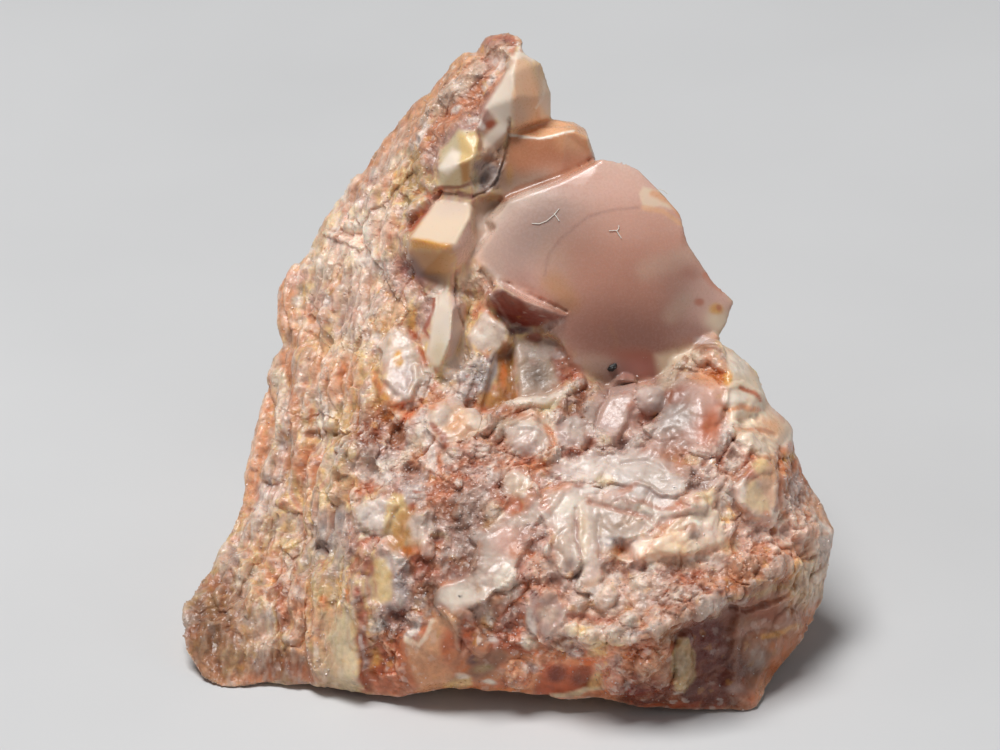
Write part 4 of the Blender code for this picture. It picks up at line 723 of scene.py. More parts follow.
def folds(points, grain):
    """Waxy folds hanging to the lower left, from 0 in the creases between them to 1 on their crowns."""
    turns = [fractal(points + start, 1.4 * grain, 2) for start in (3.0, 17.0, 29.0)]
    bent = points + 0.35 * grain * np.stack(turns, axis=1)
    along = bent @ (math.cos(FOLD_TURN), math.sin(FOLD_TURN), 0.0) / FOLD_LENGTH
    across = bent @ (-math.sin(FOLD_TURN), math.cos(FOLD_TURN), 0.0)
    bent = np.stack([along, across, bent[:, 2]], axis=1)
    return np.clip(2.8 * np.abs(fractal(bent, grain, 3)), 0.0, 1.0) ** 0.6


def knobs(points, grain):
    """Rounded cells from 0 in the seams to 1 on the crowns, about grain mm apart."""
    values = []
    for point in points / grain:
        distances, _ = noise.voronoi(Vector(point))
        values.append(distances[1] - distances[0])
    return eased(np.array(values) / 0.7)


def swayed(points, grain, reach):
    """The points' places on the display face, shifted a little so that what is drawn there runs unevenly."""
    shifts = [fractal(points + start, grain, 3) for start in (11.0, 23.0)]
    return points[:, :2] + reach * np.stack(shifts, axis=1)


def wandering(points):
    """The points bent sideways, so that the streaks laid out on them wander."""
    return np.column_stack((swayed(points, BEND_GRAIN, BEND), points[:, 2]))


def crust_share(plane, display):
    """1 on the knobby crust that covers the lower part of the display face, 0 elsewhere."""
    return rising(plane[:, 0], CRUST_LEFT, 1.0) * rising(-plane[:, 1], -CRUST_TOP, 1.2) * display


def left_share(plane, display):
    """1 on the streaked left flank of the display face, 0 elsewhere."""
    return eased((FLANK_EDGE - plane[:, 0] + FLANK_SLANT * (plane[:, 1] - 8.0)) / 1.4) * display


def low_share(plane, display):
    """1 on the glassy broken foot of the display face, 0 elsewhere."""
    lip = FOOT_TOP - 0.9 * rising(plane[:, 0], 0.5, 1.5) + 1.3 * rising(plane[:, 0], 5.5, 3.0)
    return rising(plane[:, 0], FOOT_LEFT, 1.0) * eased((lip - plane[:, 1]) / 0.8) * display


def flat(ring):
    """A ring of points without their depths."""
    return [corner[:2] for corner in ring]


def calmness(plane, display):
    """From 0 on rough stone to 1 on the smooth breaks of the display face and of the back."""
    front_breaks = [PINK_EDGE] + [flat(FACETS[name]) for name in FACETS if name not in ROUGH_BREAKS]
    back_breaks = [flat(laid(*corner) for corner in ring) for ring in BACK_FACETS.values()]
    calm = np.zeros(len(plane))
    for breaks, side in ((front_breaks, display), (back_breaks, BACK_CALM * (1.0 - display))):
        for ring in breaks:
            calm = np.maximum(calm, side * within(plane, ring, SMOOTH_MARGIN))
    for u, v, radius in ROUNDED:
        away = distance_to(plane, u, v) / radius
        calm = np.maximum(calm, display * ROUNDED_CALM * (1.0 - eased(2.0 * away - 1.0)))
    return calm


def rim_share(plane):
    """How much of the roughness is left near the display face's rim."""
    rim = distance_to_run(plane, OUTLINE, True)
    return RIM_ROUGHNESS + (1.0 - RIM_ROUGHNESS) * eased(rim / RIM_MARGIN)


def roughness(points, display):
    """How far each point moves along its normal for the broken surface, in mm."""
    plane = points[:, :2]
    crust = crust_share(plane, display)
    left = left_share(plane, display)
    streaked = points / (STREAK_WIDTH, STREAK_LENGTH, STREAK_WIDTH)
    spalls = chips(points, SPALL_GRAIN) + fractal(points, SPALL_GRAIN)
    moved = CHIP_HEIGHT * chips(points, CHIP_GRAIN) * (1.0 - CRUST_CALM * crust)
    moved += SPALL_HEIGHT * spalls * (1.0 - STREAK_CALM * left)
    moved += left * STREAK_HEIGHT * fractal(streaked, 1.0, 3)
    moved += crust * CRUST_HEIGHT * (knobs(points, CRUST_GRAIN) - 0.4)
    moved *= rim_share(plane)
    foot = 1.0 - rising(stood(*points.T)[2], FOOT_CALM, FOOT_CALM)
    underside = [laid(*corner)[:2] for corner in BACK_FACETS["underside"]]
    return moved * (1.0 - np.maximum(0.94 * calmness(plane, display), foot * inside(plane, underside)))


def drop_crumbs(shape):
    """Leaves only the largest connected piece."""
    left = set(shape.verts)
    pieces = []
    while left:
        front = [left.pop()]
        piece = list(front)
        while front:
            vertex = front.pop()
            near = {edge.other_vert(vertex) for edge in vertex.link_edges} & left
            left -= near
            front += near
            piece += near
        pieces.append(piece)
    pieces.sort(key=len)
    bmesh.ops.delete(shape, geom=[vertex for piece in pieces[:-1] for vertex in piece], context="VERTS")


# Colours of the stone: red, green and blue as sRGB from 0 to 255, then how glossy and how clear
# the stone of that colour is, from 0 to 1.
COLOURS = {
    "ivory": (240, 228, 208, 0.5, 0.2),
    "cream": (232, 212, 184, 0.5, 0.3),
    "frost": (232, 220, 207, 0.3, 0.2),
    "milk": (216, 198, 181, 0.6, 0.4),
    "beige": (204, 178, 155, 0.6, 0.3),
    "apricot": (228, 180, 138, 0.7, 0.5),
    "peach": (222, 160, 118, 0.7, 0.5),
    "honey": (222, 166, 82, 0.8, 0.8),
    "lemon": (214, 198, 160, 0.6, 0.6),
    "straw": (228, 200, 140, 0.6, 0.6),
    "ochre": (196, 146, 84, 0.6, 0.7),
    "olive": (176, 148, 104, 0.7, 0.8),
    "tan": (206, 154, 120, 0.5, 0.4),
    "terracotta": (197, 130, 92, 0.4, 0.4),
    "umber": (158, 112, 84, 0.4, 0.4),
    "amber": (172, 114, 58, 0.7, 0.8),
    "orange": (206, 118, 56, 0.6, 0.7),
    "rust": (180, 86, 44, 0.4, 0.5),
    "coral": (198, 114, 76, 0.4, 0.4),
    "brick": (160, 84, 58, 0.3, 0.3),
    "dust": (172, 108, 98, 0.3, 0.2),
    "blood": (124, 42, 32, 0.5, 0.4),
    "garnet": (122, 36, 22, 0.4, 0.0),
    # The deep red of the glassy stone; also painted shade in the recesses, in the rusty pit and under the
    # ledge.
    "deep_red_and_shade": (102, 44, 28, 0.9, 0.8),
    "rose": (218, 178, 160, 0.6, 0.3),
    "shell": (220, 182, 164, 0.8, 0.3),
    # The next three are darker copies of the pink: painted shade on the lower part of the pink break. The
    # first is also a middle band of the crust and painted shade in the grooves between its drapes.
    "dusk": (200, 150, 128, 0.8, 0.3),
    "shell_shade": (176, 126, 107, 0.8, 0.3),
    "deep": (146, 104, 90, 0.8, 0.3),
    "veil": (184, 156, 143, 0.8, 0.4),
    "clay": (182, 124, 92, 0.8, 0.4),
    "mauve": (177, 139, 126, 0.6, 0.4),
    "lilac": (204, 184, 173, 0.5, 0.4),
    "grey": (174, 164, 160, 0.7, 0.6),
    "plum": (110, 76, 72, 0.5, 0.4),
    "soot": (46, 38, 36, 0.3, 0.0),
}


# A mark on the display face: its colour and strength, the points that it lies round, how far it reaches
# from them in mm, and the function that gives how much of it lies on each point of the stone.
Mark = namedtuple("Mark", "colour strength points reach cover")


def area(colour, *outline, soft=0.12, strength=1.0):
    """A coloured area of the display face: its outline, and the softness of its edge in mm."""
    def cover(plane):
        gap = distance_to_run(plane, outline, True)
        gap[inside(plane, outline)] *= -1.0
        return fade(gap, soft)
    return Mark(colour, strength, outline, soft, cover)


def patch(colour, u, v, across, along=None, tilt=0.0, soft=0.5, strength=1.0):
    """A round or oval coloured patch: centre, half sizes in mm, turn in degrees, softness as a share."""
    along = along or across
    turn = math.radians(tilt)

    def cover(plane):
        away = plane - (u, v)
        first = away @ (math.cos(turn), math.sin(turn)) / across
        second = away @ (-math.sin(turn), math.cos(turn)) / along
        return fade(np.hypot(first, second) - 1.0, soft)
    return Mark(colour, strength, [(u, v)], max(across, along) * (1.0 + soft), cover)


def tinge(colour, strength, u, v, across, along=None, tilt=0.0):
    """A patch that fades out slowly from its middle to its edge."""
    return patch(colour, u, v, across, along, tilt, 0.9, strength)


def streak(colour, half_width, *run, soft=0.6, strength=1.0):
    """A coloured streak: half its width in mm, its run, and the softness of its edge as a share."""
    def cover(plane):
        return fade(distance_to_run(plane, run) / half_width - 1.0, soft)
    return Mark(colour, strength, run, half_width * (1.0 + soft), cover)


# All that is drawn on the display face, in the order of drawing: later marks lie over earlier ones.
PAINT = [
    # Left flank, from the tip down
    area("tan", (-4.0, 24.6), (-2.6, 25.8), (-1.8, 26.6), (-0.4, 27.3), (0.2, 27.3), (-0.4, 26.0),
        (-2.0, 25.0), (-3.4, 23.4), (-4.4, 22.2), (-5.6, 21.2), (-6.4, 21.6), (-5.4, 22.8), soft=0.4),
    area("mauve", (-0.6, 26.4), (0.2, 26.2), (-0.1, 25.4), (-0.6, 24.4), (-0.7, 23.6), (-1.4, 22.8),
        (-2.4, 22.6), (-3.0, 21.4), (-3.6, 21.6), (-3.8, 22.8), (-3.0, 23.8), (-1.6, 25.4), soft=0.35),
    streak("terracotta", 0.35, (-3.6, 22.2), (-2.8, 23.4), (-1.2, 24.8), (-0.4, 25.6)),
    streak("beige", 0.25, (-3.3, 23.8), (-2.4, 24.8), (-1.2, 25.8)),
    patch("milk", -1.9, 25.2, 0.3, 0.2),
    patch("brick", -0.65, 23.5, 0.25, 0.2),
    streak("frost", 0.13, (-0.9, 25.0), (-0.5, 25.5), (-0.2, 26.0)),
    streak("frost", 0.12, (-1.5, 23.6), (-1.2, 23.7), (-1.0, 23.4)),
    patch("frost", -2.0, 24.2, 0.2, 0.14, 30),
    streak("frost", 0.13, (-3.9, 22.4), (-3.5, 23.0), (-3.3, 23.5)),
    patch("mauve", -5.4, 21.5, 0.5, 0.4, 40),
    patch("tan", -4.9, 21.3, 0.4, 0.5),
    streak("straw", 0.2, (-4.7, 20.8), (-4.4, 21.4), (-4.3, 21.7)),
    patch("cream", -4.55, 22.1, 0.35, 0.22, 40),
    streak("olive", 0.35, (-4.0, 20.6), (-3.7, 21.6), (-3.8, 22.3)),
    streak("milk", 0.22, (-6.6, 21.1), (-6.0, 21.6), (-5.5, 21.7)),
    streak("ivory", 0.16, (-6.5, 20.5), (-6.7, 21.0), (-6.2, 21.5)),
    patch("mauve", -6.0, 20.7, 0.4, 0.6, 30),
    patch("tan", -4.9, 19.5, 0.6),
    patch("cream", -5.0, 20.0, 0.35, 0.3),
    patch("ivory", -6.0, 19.4, 0.42, 0.55, 20),
    streak("terracotta", 0.16, (-6.6, 19.7), (-6.7, 19.1), (-6.9, 18.6)),
    streak("straw", 0.22, (-7.6, 18.5), (-7.5, 19.2), (-7.0, 19.9)),
    patch("lilac", -7.0, 18.9, 0.35, 0.5, 20),
    area("cream", (-7.9, 18.4), (-6.9, 18.6), (-6.1, 18.6), (-5.6, 18.0), (-6.0, 17.2), (-7.0, 17.4),
        (-8.0, 17.2), soft=0.4),
    patch("straw", -6.4, 18.0, 0.3, 0.4),
    streak("umber", 0.05, (-6.65, 18.2), (-6.6, 17.6), (-6.7, 17.2)),
    streak("peach", 0.45, (-9.0, 17.2), (-9.1, 16.2), (-8.9, 15.4)),
    patch("rose", -8.6, 17.4, 0.5, 0.4, 30),
    streak("frost", 0.14, (-8.6, 17.9), (-8.2, 18.4), (-8.0, 18.5)),
    patch("ivory", -8.6, 16.4, 0.18),
    patch("lilac", -7.6, 16.4, 0.6, 0.5),
    patch("umber", -7.6, 15.6, 0.5, 0.3),
    patch("cream", -8.3, 15.4, 0.4, 0.3, -40),
    patch("tan", -6.1, 16.7, 0.7, 0.8),
    patch("milk", -5.9, 15.9, 0.6, 0.7),
    patch("brick", -6.3, 15.8, 0.2, 0.45),
    patch("lilac", -6.7, 15.1, 0.4, 0.6),
    patch("frost", -5.2, 17.9, 0.7, 0.3, -20),
    patch("frost", -4.9, 17.5, 0.3),
    area("brick", (-4.6, 18.2), (-4.2, 18.6), (-3.8, 18.3), (-2.9, 17.2), (-3.6, 17.0), (-4.8, 16.7),
        (-4.9, 17.2), soft=0.4),
    patch("plum", -3.6, 17.7, 0.5, 0.4, -40),
    patch("blood", -4.1, 17.5, 0.35, 0.2, -30),
    patch("rose", -4.2, 17.0, 0.4, 0.25),
    area("apricot", (-5.6, 15.2), (-4.9, 16.4), (-4.0, 16.6), (-3.7, 15.8), (-3.7, 14.9), (-4.2, 14.9),
        (-5.0, 15.2), soft=0.25),
    patch("honey", -3.85, 15.7, 0.22, 0.6),
    patch("honey", -5.3, 15.5, 0.3, 0.25),
    area("mauve", (-3.6, 16.8), (-3.0, 16.7), (-2.9, 15.9), (-3.2, 15.2), (-3.7, 15.6)),
    streak("brick", 0.06, (-3.4, 16.9), (-2.95, 16.5), (-2.95, 15.9), (-3.3, 15.2), (-3.1, 14.9)),
    streak("ivory", 0.05, (-3.3, 16.7), (-2.85, 16.6), (-2.85, 15.9)),
    patch("rust", -3.85, 14.95, 0.3, 0.25),
    streak("rust", 0.13, (-3.6, 14.4), (-3.4, 14.3), (-3.3, 13.8)),
    area("milk", (-5.4, 14.8), (-4.4, 15.4), (-3.8, 14.8), (-3.3, 13.8), (-3.3, 13.0), (-3.9, 12.4),
        (-4.7, 12.4), (-4.8, 13.4), soft=0.2),
    patch("lilac", -4.2, 13.2, 0.45, 0.7, -10),
    patch("honey", -4.35, 14.1, 0.2, 0.35),
    streak("frost", 0.07, (-4.3, 13.6), (-4.1, 13.9), (-4.1, 14.4)),
    streak("frost", 0.12, (-3.2, 13.6), (-3.2, 13.1), (-3.6, 12.5)),
    streak("ivory", 0.05, (-3.0, 13.7), (-3.05, 13.0), (-3.4, 12.5)),
    streak("frost", 0.1, (-5.3, 15.0), (-5.3, 14.4)),
    streak("honey", 0.16, (-5.4, 13.9), (-5.2, 13.1), (-5.1, 12.2)),
    streak("orange", 0.12, (-5.3, 13.4), (-5.0, 12.6)),
    streak("straw", 0.5, (-7.6, 14.4), (-6.2, 14.2)),
    area("peach", (-8.2, 14.4), (-6.2, 14.4), (-6.0, 13.2), (-6.6, 12.2), (-6.8, 11.2), (-7.4, 12.4),
        soft=0.4),
    patch("orange", -6.7, 13.6, 0.22, 0.35),
    streak("frost", 0.14, (-7.7, 12.8), (-7.5, 12.2), (-7.4, 11.6)),
    patch("ivory", -7.4, 11.4, 0.4, 0.16, -15),
    area("straw", (-7.2, 12.0), (-6.4, 12.4), (-6.0, 11.6), (-6.4, 11.1), (-7.2, 11.1), soft=0.2),
    area("milk", (-9.0, 14.8), (-9.5, 14.6), (-9.8, 13.6), (-9.5, 12.9), (-9.1, 13.3), (-8.9, 14.2),
        soft=0.15),
    patch("lemon", -9.3, 13.3, 0.25, 0.5, -15),
    streak("terracotta", 0.3, (-9.1, 14.2), (-8.7, 13.4), (-8.6, 12.4), (-8.7, 11.2)),
    patch("umber", -8.8, 14.9, 0.25, 0.35, 40),
    streak("mauve", 0.12, (-8.8, 14.4), (-8.5, 13.6), (-8.2, 12.8)),
    streak("milk", 0.12, (-8.3, 13.8), (-8.4, 12.8), (-8.2, 12.0)),
    streak("cream", 0.13, (-9.5, 12.9), (-9.3, 11.8), (-9.4, 10.9)),
    streak("orange", 0.1, (-8.1, 12.4), (-8.0, 11.6)),
    patch("plum", -7.9, 11.0, 0.35, 0.18),
    streak("peach", 0.45, (-9.9, 12.4), (-10.1, 11.2), (-10.4, 9.8), (-10.4, 8.6)),
    streak("lilac", 0.2, (-9.2, 10.6), (-9.1, 9.8), (-9.3, 8.8)),
    streak("milk", 0.13, (-9.0, 12.2), (-9.0, 11.2), (-8.7, 10.4)),
    area("olive", (-7.0, 11.0), (-6.3, 11.0), (-6.3, 10.2), (-6.7, 9.2), (-6.9, 8.2), (-7.2, 8.6),
        (-7.0, 9.8)),
    patch("lilac", -6.8, 10.2, 0.14, 0.4),
    streak("lemon", 0.1, (-6.6, 9.2), (-6.7, 8.5)),
    patch("terracotta", -8.2, 9.8, 0.7, 0.8),
    streak("cream", 0.12, (-8.0, 9.2), (-8.2, 8.6)),
    area("straw", (-7.2, 8.9), (-7.0, 8.4), (-7.2, 8.1), (-7.6, 8.2), soft=0.15),
    area("straw", (-6.6, 9.0), (-6.3, 8.4), (-6.0, 7.9), (-6.5, 8.0)),
    area("grey", (-7.7, 8.0), (-6.4, 8.0), (-6.2, 7.0), (-6.8, 6.4), (-7.6, 6.2), soft=0.3),
    patch("mauve", -6.4, 7.4, 0.2, 0.5),
    patch("plum", -7.5, 6.6, 0.25, 0.4, 20),
    patch("soot", -7.6, 6.2, 0.16, 0.1),
    patch("frost", -7.4, 6.9, 0.12, 0.25),
    area("lilac", (-9.8, 9.4), (-9.2, 9.0), (-9.9, 7.6), (-10.2, 6.4), (-10.8, 6.6), (-10.4, 8.0),
        soft=0.25),
    streak("frost", 0.08, (-9.9, 8.6), (-10.3, 7.2)),
    area("straw", (-9.4, 6.9), (-8.4, 6.8), (-8.5, 6.4), (-9.0, 6.1)),
    area("straw", (-10.3, 6.5), (-10.0, 6.0), (-10.2, 5.7), (-10.5, 5.8), soft=0.15),
    patch("lemon", -10.5, 5.2, 0.7, 0.5),
    streak("plum", 0.16, (-11.2, 6.4), (-11.0, 5.8)),
    streak("terracotta", 0.25, (-11.2, 5.4), (-11.9, 4.6)),
    streak("lilac", 0.12, (-11.2, 5.4), (-11.2, 4.6)),
    area("olive", (-12.4, 4.0), (-10.8, 4.8), (-9.4, 4.2), (-8.9, 2.6), (-8.8, 1.2), (-10.2, 1.2),
        (-11.6, 1.6), (-12.4, 2.6), soft=0.6, strength=0.45),
    tinge("peach", 0.5, -11.4, 3.4, 0.9, 1.2, -20),
    tinge("orange", 0.4, -9.8, 1.6, 0.8, 0.4),
    patch("straw", -11.9, 4.2, 0.2, 0.4),
    patch("cream", -9.6, 2.7, 0.3, 0.5, -20),
    patch("honey", -10.4, 3.1, 0.3, 0.2),
    patch("orange", -12.6, 3.0, 0.3),
    patch("rose", -13.0, 2.9, 0.25),
    patch("peach", -12.2, 1.6, 0.6, 0.5),
    streak("peach", 0.3, (-12.0, 1.1), (-10.8, 1.0), (-9.6, 1.0)),
    streak("brick", 0.22, (-9.2, 5.0), (-9.1, 4.0), (-9.0, 3.2)),
    streak("terracotta", 0.35, (-9.4, 6.0), (-8.6, 5.2), (-8.3, 4.0)),
    streak("cream", 0.13, (-8.9, 6.0), (-8.7, 5.2), (-8.6, 4.8)),
    patch("frost", -8.4, 4.6, 0.28, 0.3),
    patch("frost", -9.6, 3.9, 0.15, 0.35),
    streak("plum", 0.1, (-9.2, 3.9), (-9.0, 3.2)),
    patch("rust", -8.6, 1.7, 0.5, 0.28, -20),
    streak("cream", 0.08, (-8.8, 2.1), (-8.0, 2.0), (-7.6, 1.6)),
    area("lemon", (-7.6, 3.8), (-6.9, 3.9), (-6.3, 3.8), (-6.0, 2.0), (-6.0, 0.6), (-6.8, 0.7), (-7.6, 1.2),
        soft=0.3),
    patch("cream", -7.8, 3.1, 0.2, 0.3),
    patch("straw", -7.2, 4.6, 0.8, 0.6),
    patch("orange", -6.4, 4.6, 0.16, 0.28),
    patch("orange", -7.3, 4.3, 0.16, 0.35),
    streak("straw", 0.12, (-5.9, 5.2), (-6.1, 4.6)),
    streak("brick", 0.25, (-5.9, 4.8), (-5.8, 3.4), (-5.7, 2.0), (-5.6, 0.8)),
    streak("lilac", 0.08, (-5.8, 3.0), (-5.7, 1.8)),
    # The rusty pit and the slope below it
    area("amber", (-6.0, 12.0), (-5.2, 12.4), (-4.6, 12.4), (-4.2, 11.4), (-4.6, 10.6), (-6.0, 10.6),
        soft=0.3),
    area("blood", (-6.1, 11.6), (-5.2, 11.6), (-4.9, 11.0), (-5.4, 10.5), (-6.1, 10.5), soft=0.25),
    patch("umber", -4.4, 11.2, 0.5),
    streak("honey", 0.18, (-5.9, 12.1), (-5.4, 12.2), (-4.9, 12.5)),
    patch("mauve", -5.0, 10.3, 0.9, 0.4),
    patch("lilac", -5.0, 9.6, 1.2, 0.5),
    streak("ivory", 0.2, (-5.2, 9.7), (-4.2, 9.9), (-3.7, 10.8), (-3.3, 11.6)),
    area("cream", (-3.9, 11.0), (-3.3, 11.0), (-3.2, 10.6), (-4.2, 9.9), soft=0.15),
    patch("frost", -4.9, 9.3, 0.9, 0.18),
    streak("frost", 0.15, (-3.2, 11.4), (-3.1, 10.4), (-2.9, 9.4)),
    patch("soot", -3.75, 9.65, 0.3, 0.18, -20, soft=0.8),
    patch("plum", -3.4, 9.4, 0.22, 0.2),
    patch("coral", -5.6, 8.9, 0.4, 0.25),
    patch("mauve", -4.0, 9.0, 0.6, 0.35),
    patch("grey", -3.6, 8.7, 0.5, 0.4),
    area("frost", (-6.1, 8.2), (-5.0, 8.6), (-4.5, 8.2), (-4.9, 7.2), (-6.0, 7.3), soft=0.3),
    patch("ivory", -5.3, 7.0, 0.5, 0.2),
    area("straw", (-4.6, 8.7), (-4.1, 8.6), (-3.9, 8.0), (-4.4, 7.0), (-5.0, 7.1)),
    area("ochre", (-4.2, 8.0), (-3.7, 8.0), (-3.4, 6.8), (-3.6, 6.2), (-4.6, 6.4), (-4.8, 7.0), soft=0.25),
    patch("orange", -3.8, 6.4, 0.35, 0.25),
    patch("milk", -3.5, 7.4, 0.35, 0.55),
    patch("rose", -5.4, 6.7, 0.5, 0.25),
    streak("coral", 0.1, (-5.9, 6.7), (-5.4, 6.9), (-5.0, 6.7)),
    patch("brick", -5.7, 5.8, 0.5, 0.45),
    patch("mauve", -6.3, 6.8, 0.4, 0.6),
    area("straw", (-5.3, 6.1), (-4.8, 6.1), (-4.5, 5.4), (-4.6, 4.4), (-5.1, 4.3)),
    patch("grey", -4.2, 5.2, 0.35, 0.8),
    streak("frost", 0.1, (-4.5, 6.1), (-4.0, 5.9), (-3.9, 5.2)),
    patch("plum", -4.6, 3.7, 0.7, 0.5),
    patch("mauve", -4.4, 3.6, 0.4, 0.35),
    patch("frost", -5.2, 3.4, 0.3),
    streak("frost", 0.12, (-4.0, 3.0), (-3.7, 3.2), (-3.4, 3.7)),
    patch("brick", -3.4, 5.6, 0.5, 0.6),
    patch("umber", -3.0, 4.6, 0.5),
    area("coral", (-5.4, 3.0), (-4.2, 2.8), (-3.9, 1.6), (-3.6, 0.7), (-5.6, 0.6), soft=0.3),
    patch("honey", -5.3, 1.9, 0.2, 0.5),
    streak("peach", 0.08, (-5.0, 2.6), (-4.6, 2.4)),
    patch("rust", -5.2, 1.5, 0.25, 0.3),
    # Tip block, second block, the blades along the left edge, the red wedge and the panels under it
    area("ivory", (-0.9, 24.2), (-0.2, 25.2), (0.2, 25.9), (0.5, 26.3), (0.4, 25.2), (0.2, 24.3),
        (0.1, 23.4), (-0.2, 22.8), (-0.9, 22.4), (-1.0, 22.9), (-0.3, 23.6)),
    area("apricot", (0.35, 26.2), (0.9, 26.0), (1.4, 25.0), (1.5, 24.4), (1.2, 23.7), (0.3, 23.4),
        (0.25, 24.4)),
    patch("peach", 0.9, 25.0, 0.3, 0.7, 15),
    tinge("beige", 0.7, 0.6, 24.0, 0.6),
    tinge("cream", 0.45, 0.9, 25.4, 0.7, 0.9),
    streak("ivory", 0.14, (0.2, 26.2), (0.7, 26.4), (1.0, 26.2)),
    area("cream", (1.4, 25.6), (1.8, 24.8), (1.8, 23.8), (1.4, 23.7), (1.3, 24.6), soft=0.1),
    streak("ivory", 0.06, (1.5, 25.3), (1.45, 24.6), (1.2, 24.2)),
    streak("rust", 0.14, (0.2, 27.0), (0.2, 26.4)),
    patch("brick", -0.4, 27.0, 0.8, 0.3),
    streak("terracotta", 0.15, (0.5, 27.0), (0.7, 26.6)),
    streak("frost", 0.04, (0.4, 26.9), (0.5, 26.5)),
    area("beige", (-0.2, 22.9), (-0.8, 22.6), (-1.2, 22.2), (-0.6, 22.1), (-0.1, 22.2), soft=0.15),
    area("peach", (0.1, 23.1), (3.3, 23.2), (3.6, 22.2), (2.2, 21.4), (0.0, 20.5), (-0.3, 21.2),
        (0.0, 22.0), soft=0.08),
    tinge("clay", 0.95, 1.6, 22.1, 1.9, 1.0, 20),
    tinge("apricot", 1.0, 2.9, 22.9, 0.7, 0.5),
    area("beige", (-0.1, 21.6), (0.6, 21.4), (1.6, 21.6), (2.0, 21.3), (0.0, 20.4), (-0.3, 21.0), soft=0.5),
    tinge("honey", 0.6, 0.1, 21.5, 0.14, 0.35),
    area("apricot", (0.1, 23.2), (1.2, 23.7), (2.6, 23.75), (3.4, 23.1), (2.7, 23.3), (2.0, 23.05),
        (1.3, 22.95), soft=0.08),
    streak("ivory", 0.05, (0.1, 23.1), (1.3, 22.95), (2.0, 23.1), (2.7, 23.3)),
    streak("cream", 0.05, (3.25, 23.1), (3.45, 22.3)),
    area("grey", (-1.3, 21.9), (-0.6, 22.3), (-0.2, 21.9), (-0.4, 21.1), (-0.9, 20.7), (-1.4, 20.9),
        soft=0.15),
    patch("umber", -0.6, 22.0, 0.35, 0.16, -15),
    patch("lemon", -1.3, 21.2, 0.16, 0.5),
    streak("umber", 0.06, (0.12, 23.6), (0.06, 22.9), (-0.1, 22.0), (-0.4, 21.2), (-0.9, 20.75),
        (-1.3, 20.6), soft=0.9, strength=0.7),
    streak("frost", 0.03, (-0.25, 22.1), (-0.5, 21.5), (-0.8, 21.1)),
    area("lemon", (-2.7, 22.4), (-1.9, 23.3), (-1.3, 23.2), (-1.1, 22.6), (-1.4, 21.8), (-1.6, 21.0),
        (-2.8, 21.0), soft=0.1),
    area("straw", (-2.0, 23.1), (-1.3, 23.2), (-1.1, 22.7), (-1.5, 22.0), (-1.9, 21.9), (-1.9, 22.6),
        soft=0.15),
    area("ivory", (-2.8, 21.7), (-2.2, 22.6), (-1.9, 22.4), (-2.0, 21.8), (-2.4, 21.5)),
    area("ochre", (-1.9, 21.9), (-1.5, 22.0), (-1.5, 21.2), (-1.8, 21.1)),
    # A dark line along the lower edge of the high block's foot: painted shadow under the block.
    streak("umber", 0.07, (-2.8, 21.0), (-1.9, 20.95), (-1.5, 21.1)),
    streak("blood", 0.1, (-2.0, 20.7), (-1.6, 20.6), (-1.4, 20.6)),
    streak("rust", 0.2, (-2.7, 20.8), (-3.1, 20.3), (-3.5, 19.9), (-3.9, 19.4)),
    streak("blood", 0.07, (-2.8, 20.6), (-3.3, 20.0), (-3.8, 19.5)),
    area("cream", (-2.9, 20.4), (-1.4, 20.3), (-1.5, 19.6), (-2.1, 18.7), (-2.4, 18.6), (-3.9, 18.9),
        (-3.4, 19.6), soft=0.1),
    tinge("milk", 0.7, -2.2, 20.2, 0.8, 0.4),
    area("honey", (-3.9, 18.95), (-2.9, 18.75), (-2.2, 18.6), (-2.2, 18.4), (-3.8, 18.45)),
    area("ochre", (-3.8, 18.4), (-2.2, 18.4), (-2.2, 17.6), (-2.5, 17.1), (-3.2, 17.3), soft=0.2),
    tinge("umber", 0.5, -3.4, 18.0, 0.5, 0.4),
    tinge("plum", 0.7, -3.0, 17.3, 0.5, 0.25, -20),
    area("shell", (-1.5, 19.7), (-1.3, 18.9), (-1.5, 18.0), (-2.0, 17.8), (-2.1, 18.6), soft=0.1),
    streak("cream", 0.07, (-1.45, 20.2), (-1.55, 19.6), (-2.1, 18.7)),
    area("beige", (-1.3, 20.4), (-0.4, 20.4), (-0.5, 19.6), (-0.9, 19.4), (-0.9, 18.6), (-1.4, 18.2),
        (-1.4, 19.4), soft=0.15),
    patch("milk", -1.1, 19.6, 0.2, 0.4),
    area("cream", (-1.8, 17.3), (-1.2, 17.9), (-0.8, 17.6), (-0.8, 16.9), (-1.5, 16.9), soft=0.15),
    streak("frost", 0.1, (-0.7, 17.7), (-0.4, 17.4), (-0.2, 17.0)),
    patch("olive", -1.3, 18.2, 0.12),
    area("ivory", (-2.4, 17.0), (-2.2, 15.8), (-2.3, 14.6), (-2.8, 13.6), (-3.2, 14.2), (-3.0, 15.6),
        (-2.7, 16.6)),
    tinge("lemon", 0.7, -2.75, 14.2, 0.3, 0.7),
    area("lilac", (-2.1, 17.2), (-1.7, 16.2), (-1.7, 15.2), (-2.3, 13.9), (-2.2, 15.4), (-2.3, 16.6)),
    streak("umber", 0.05, (-2.1, 17.5), (-2.1, 16.8), (-1.9, 15.9), (-1.7, 15.2), soft=0.9, strength=0.7),
    area("milk", (-1.6, 14.9), (-0.9, 16.0), (-0.1, 15.4), (0.0, 14.8), (-0.4, 14.4), (-1.2, 14.4),
        soft=0.1),
    patch("ivory", -0.9, 15.1, 0.4, 0.35),
    area("milk", (-2.4, 14.0), (-1.6, 14.4), (-1.2, 14.0), (-1.9, 13.0), (-2.2, 12.4), (-2.6, 12.8),
        soft=0.15),
    area("grey", (-1.9, 13.4), (-1.2, 14.0), (-0.4, 14.3), (-0.4, 13.4), (-1.0, 12.3), (-1.8, 12.5)),
    streak("plum", 0.05, (-1.95, 13.3), (-1.9, 12.8), (-1.8, 12.4)),
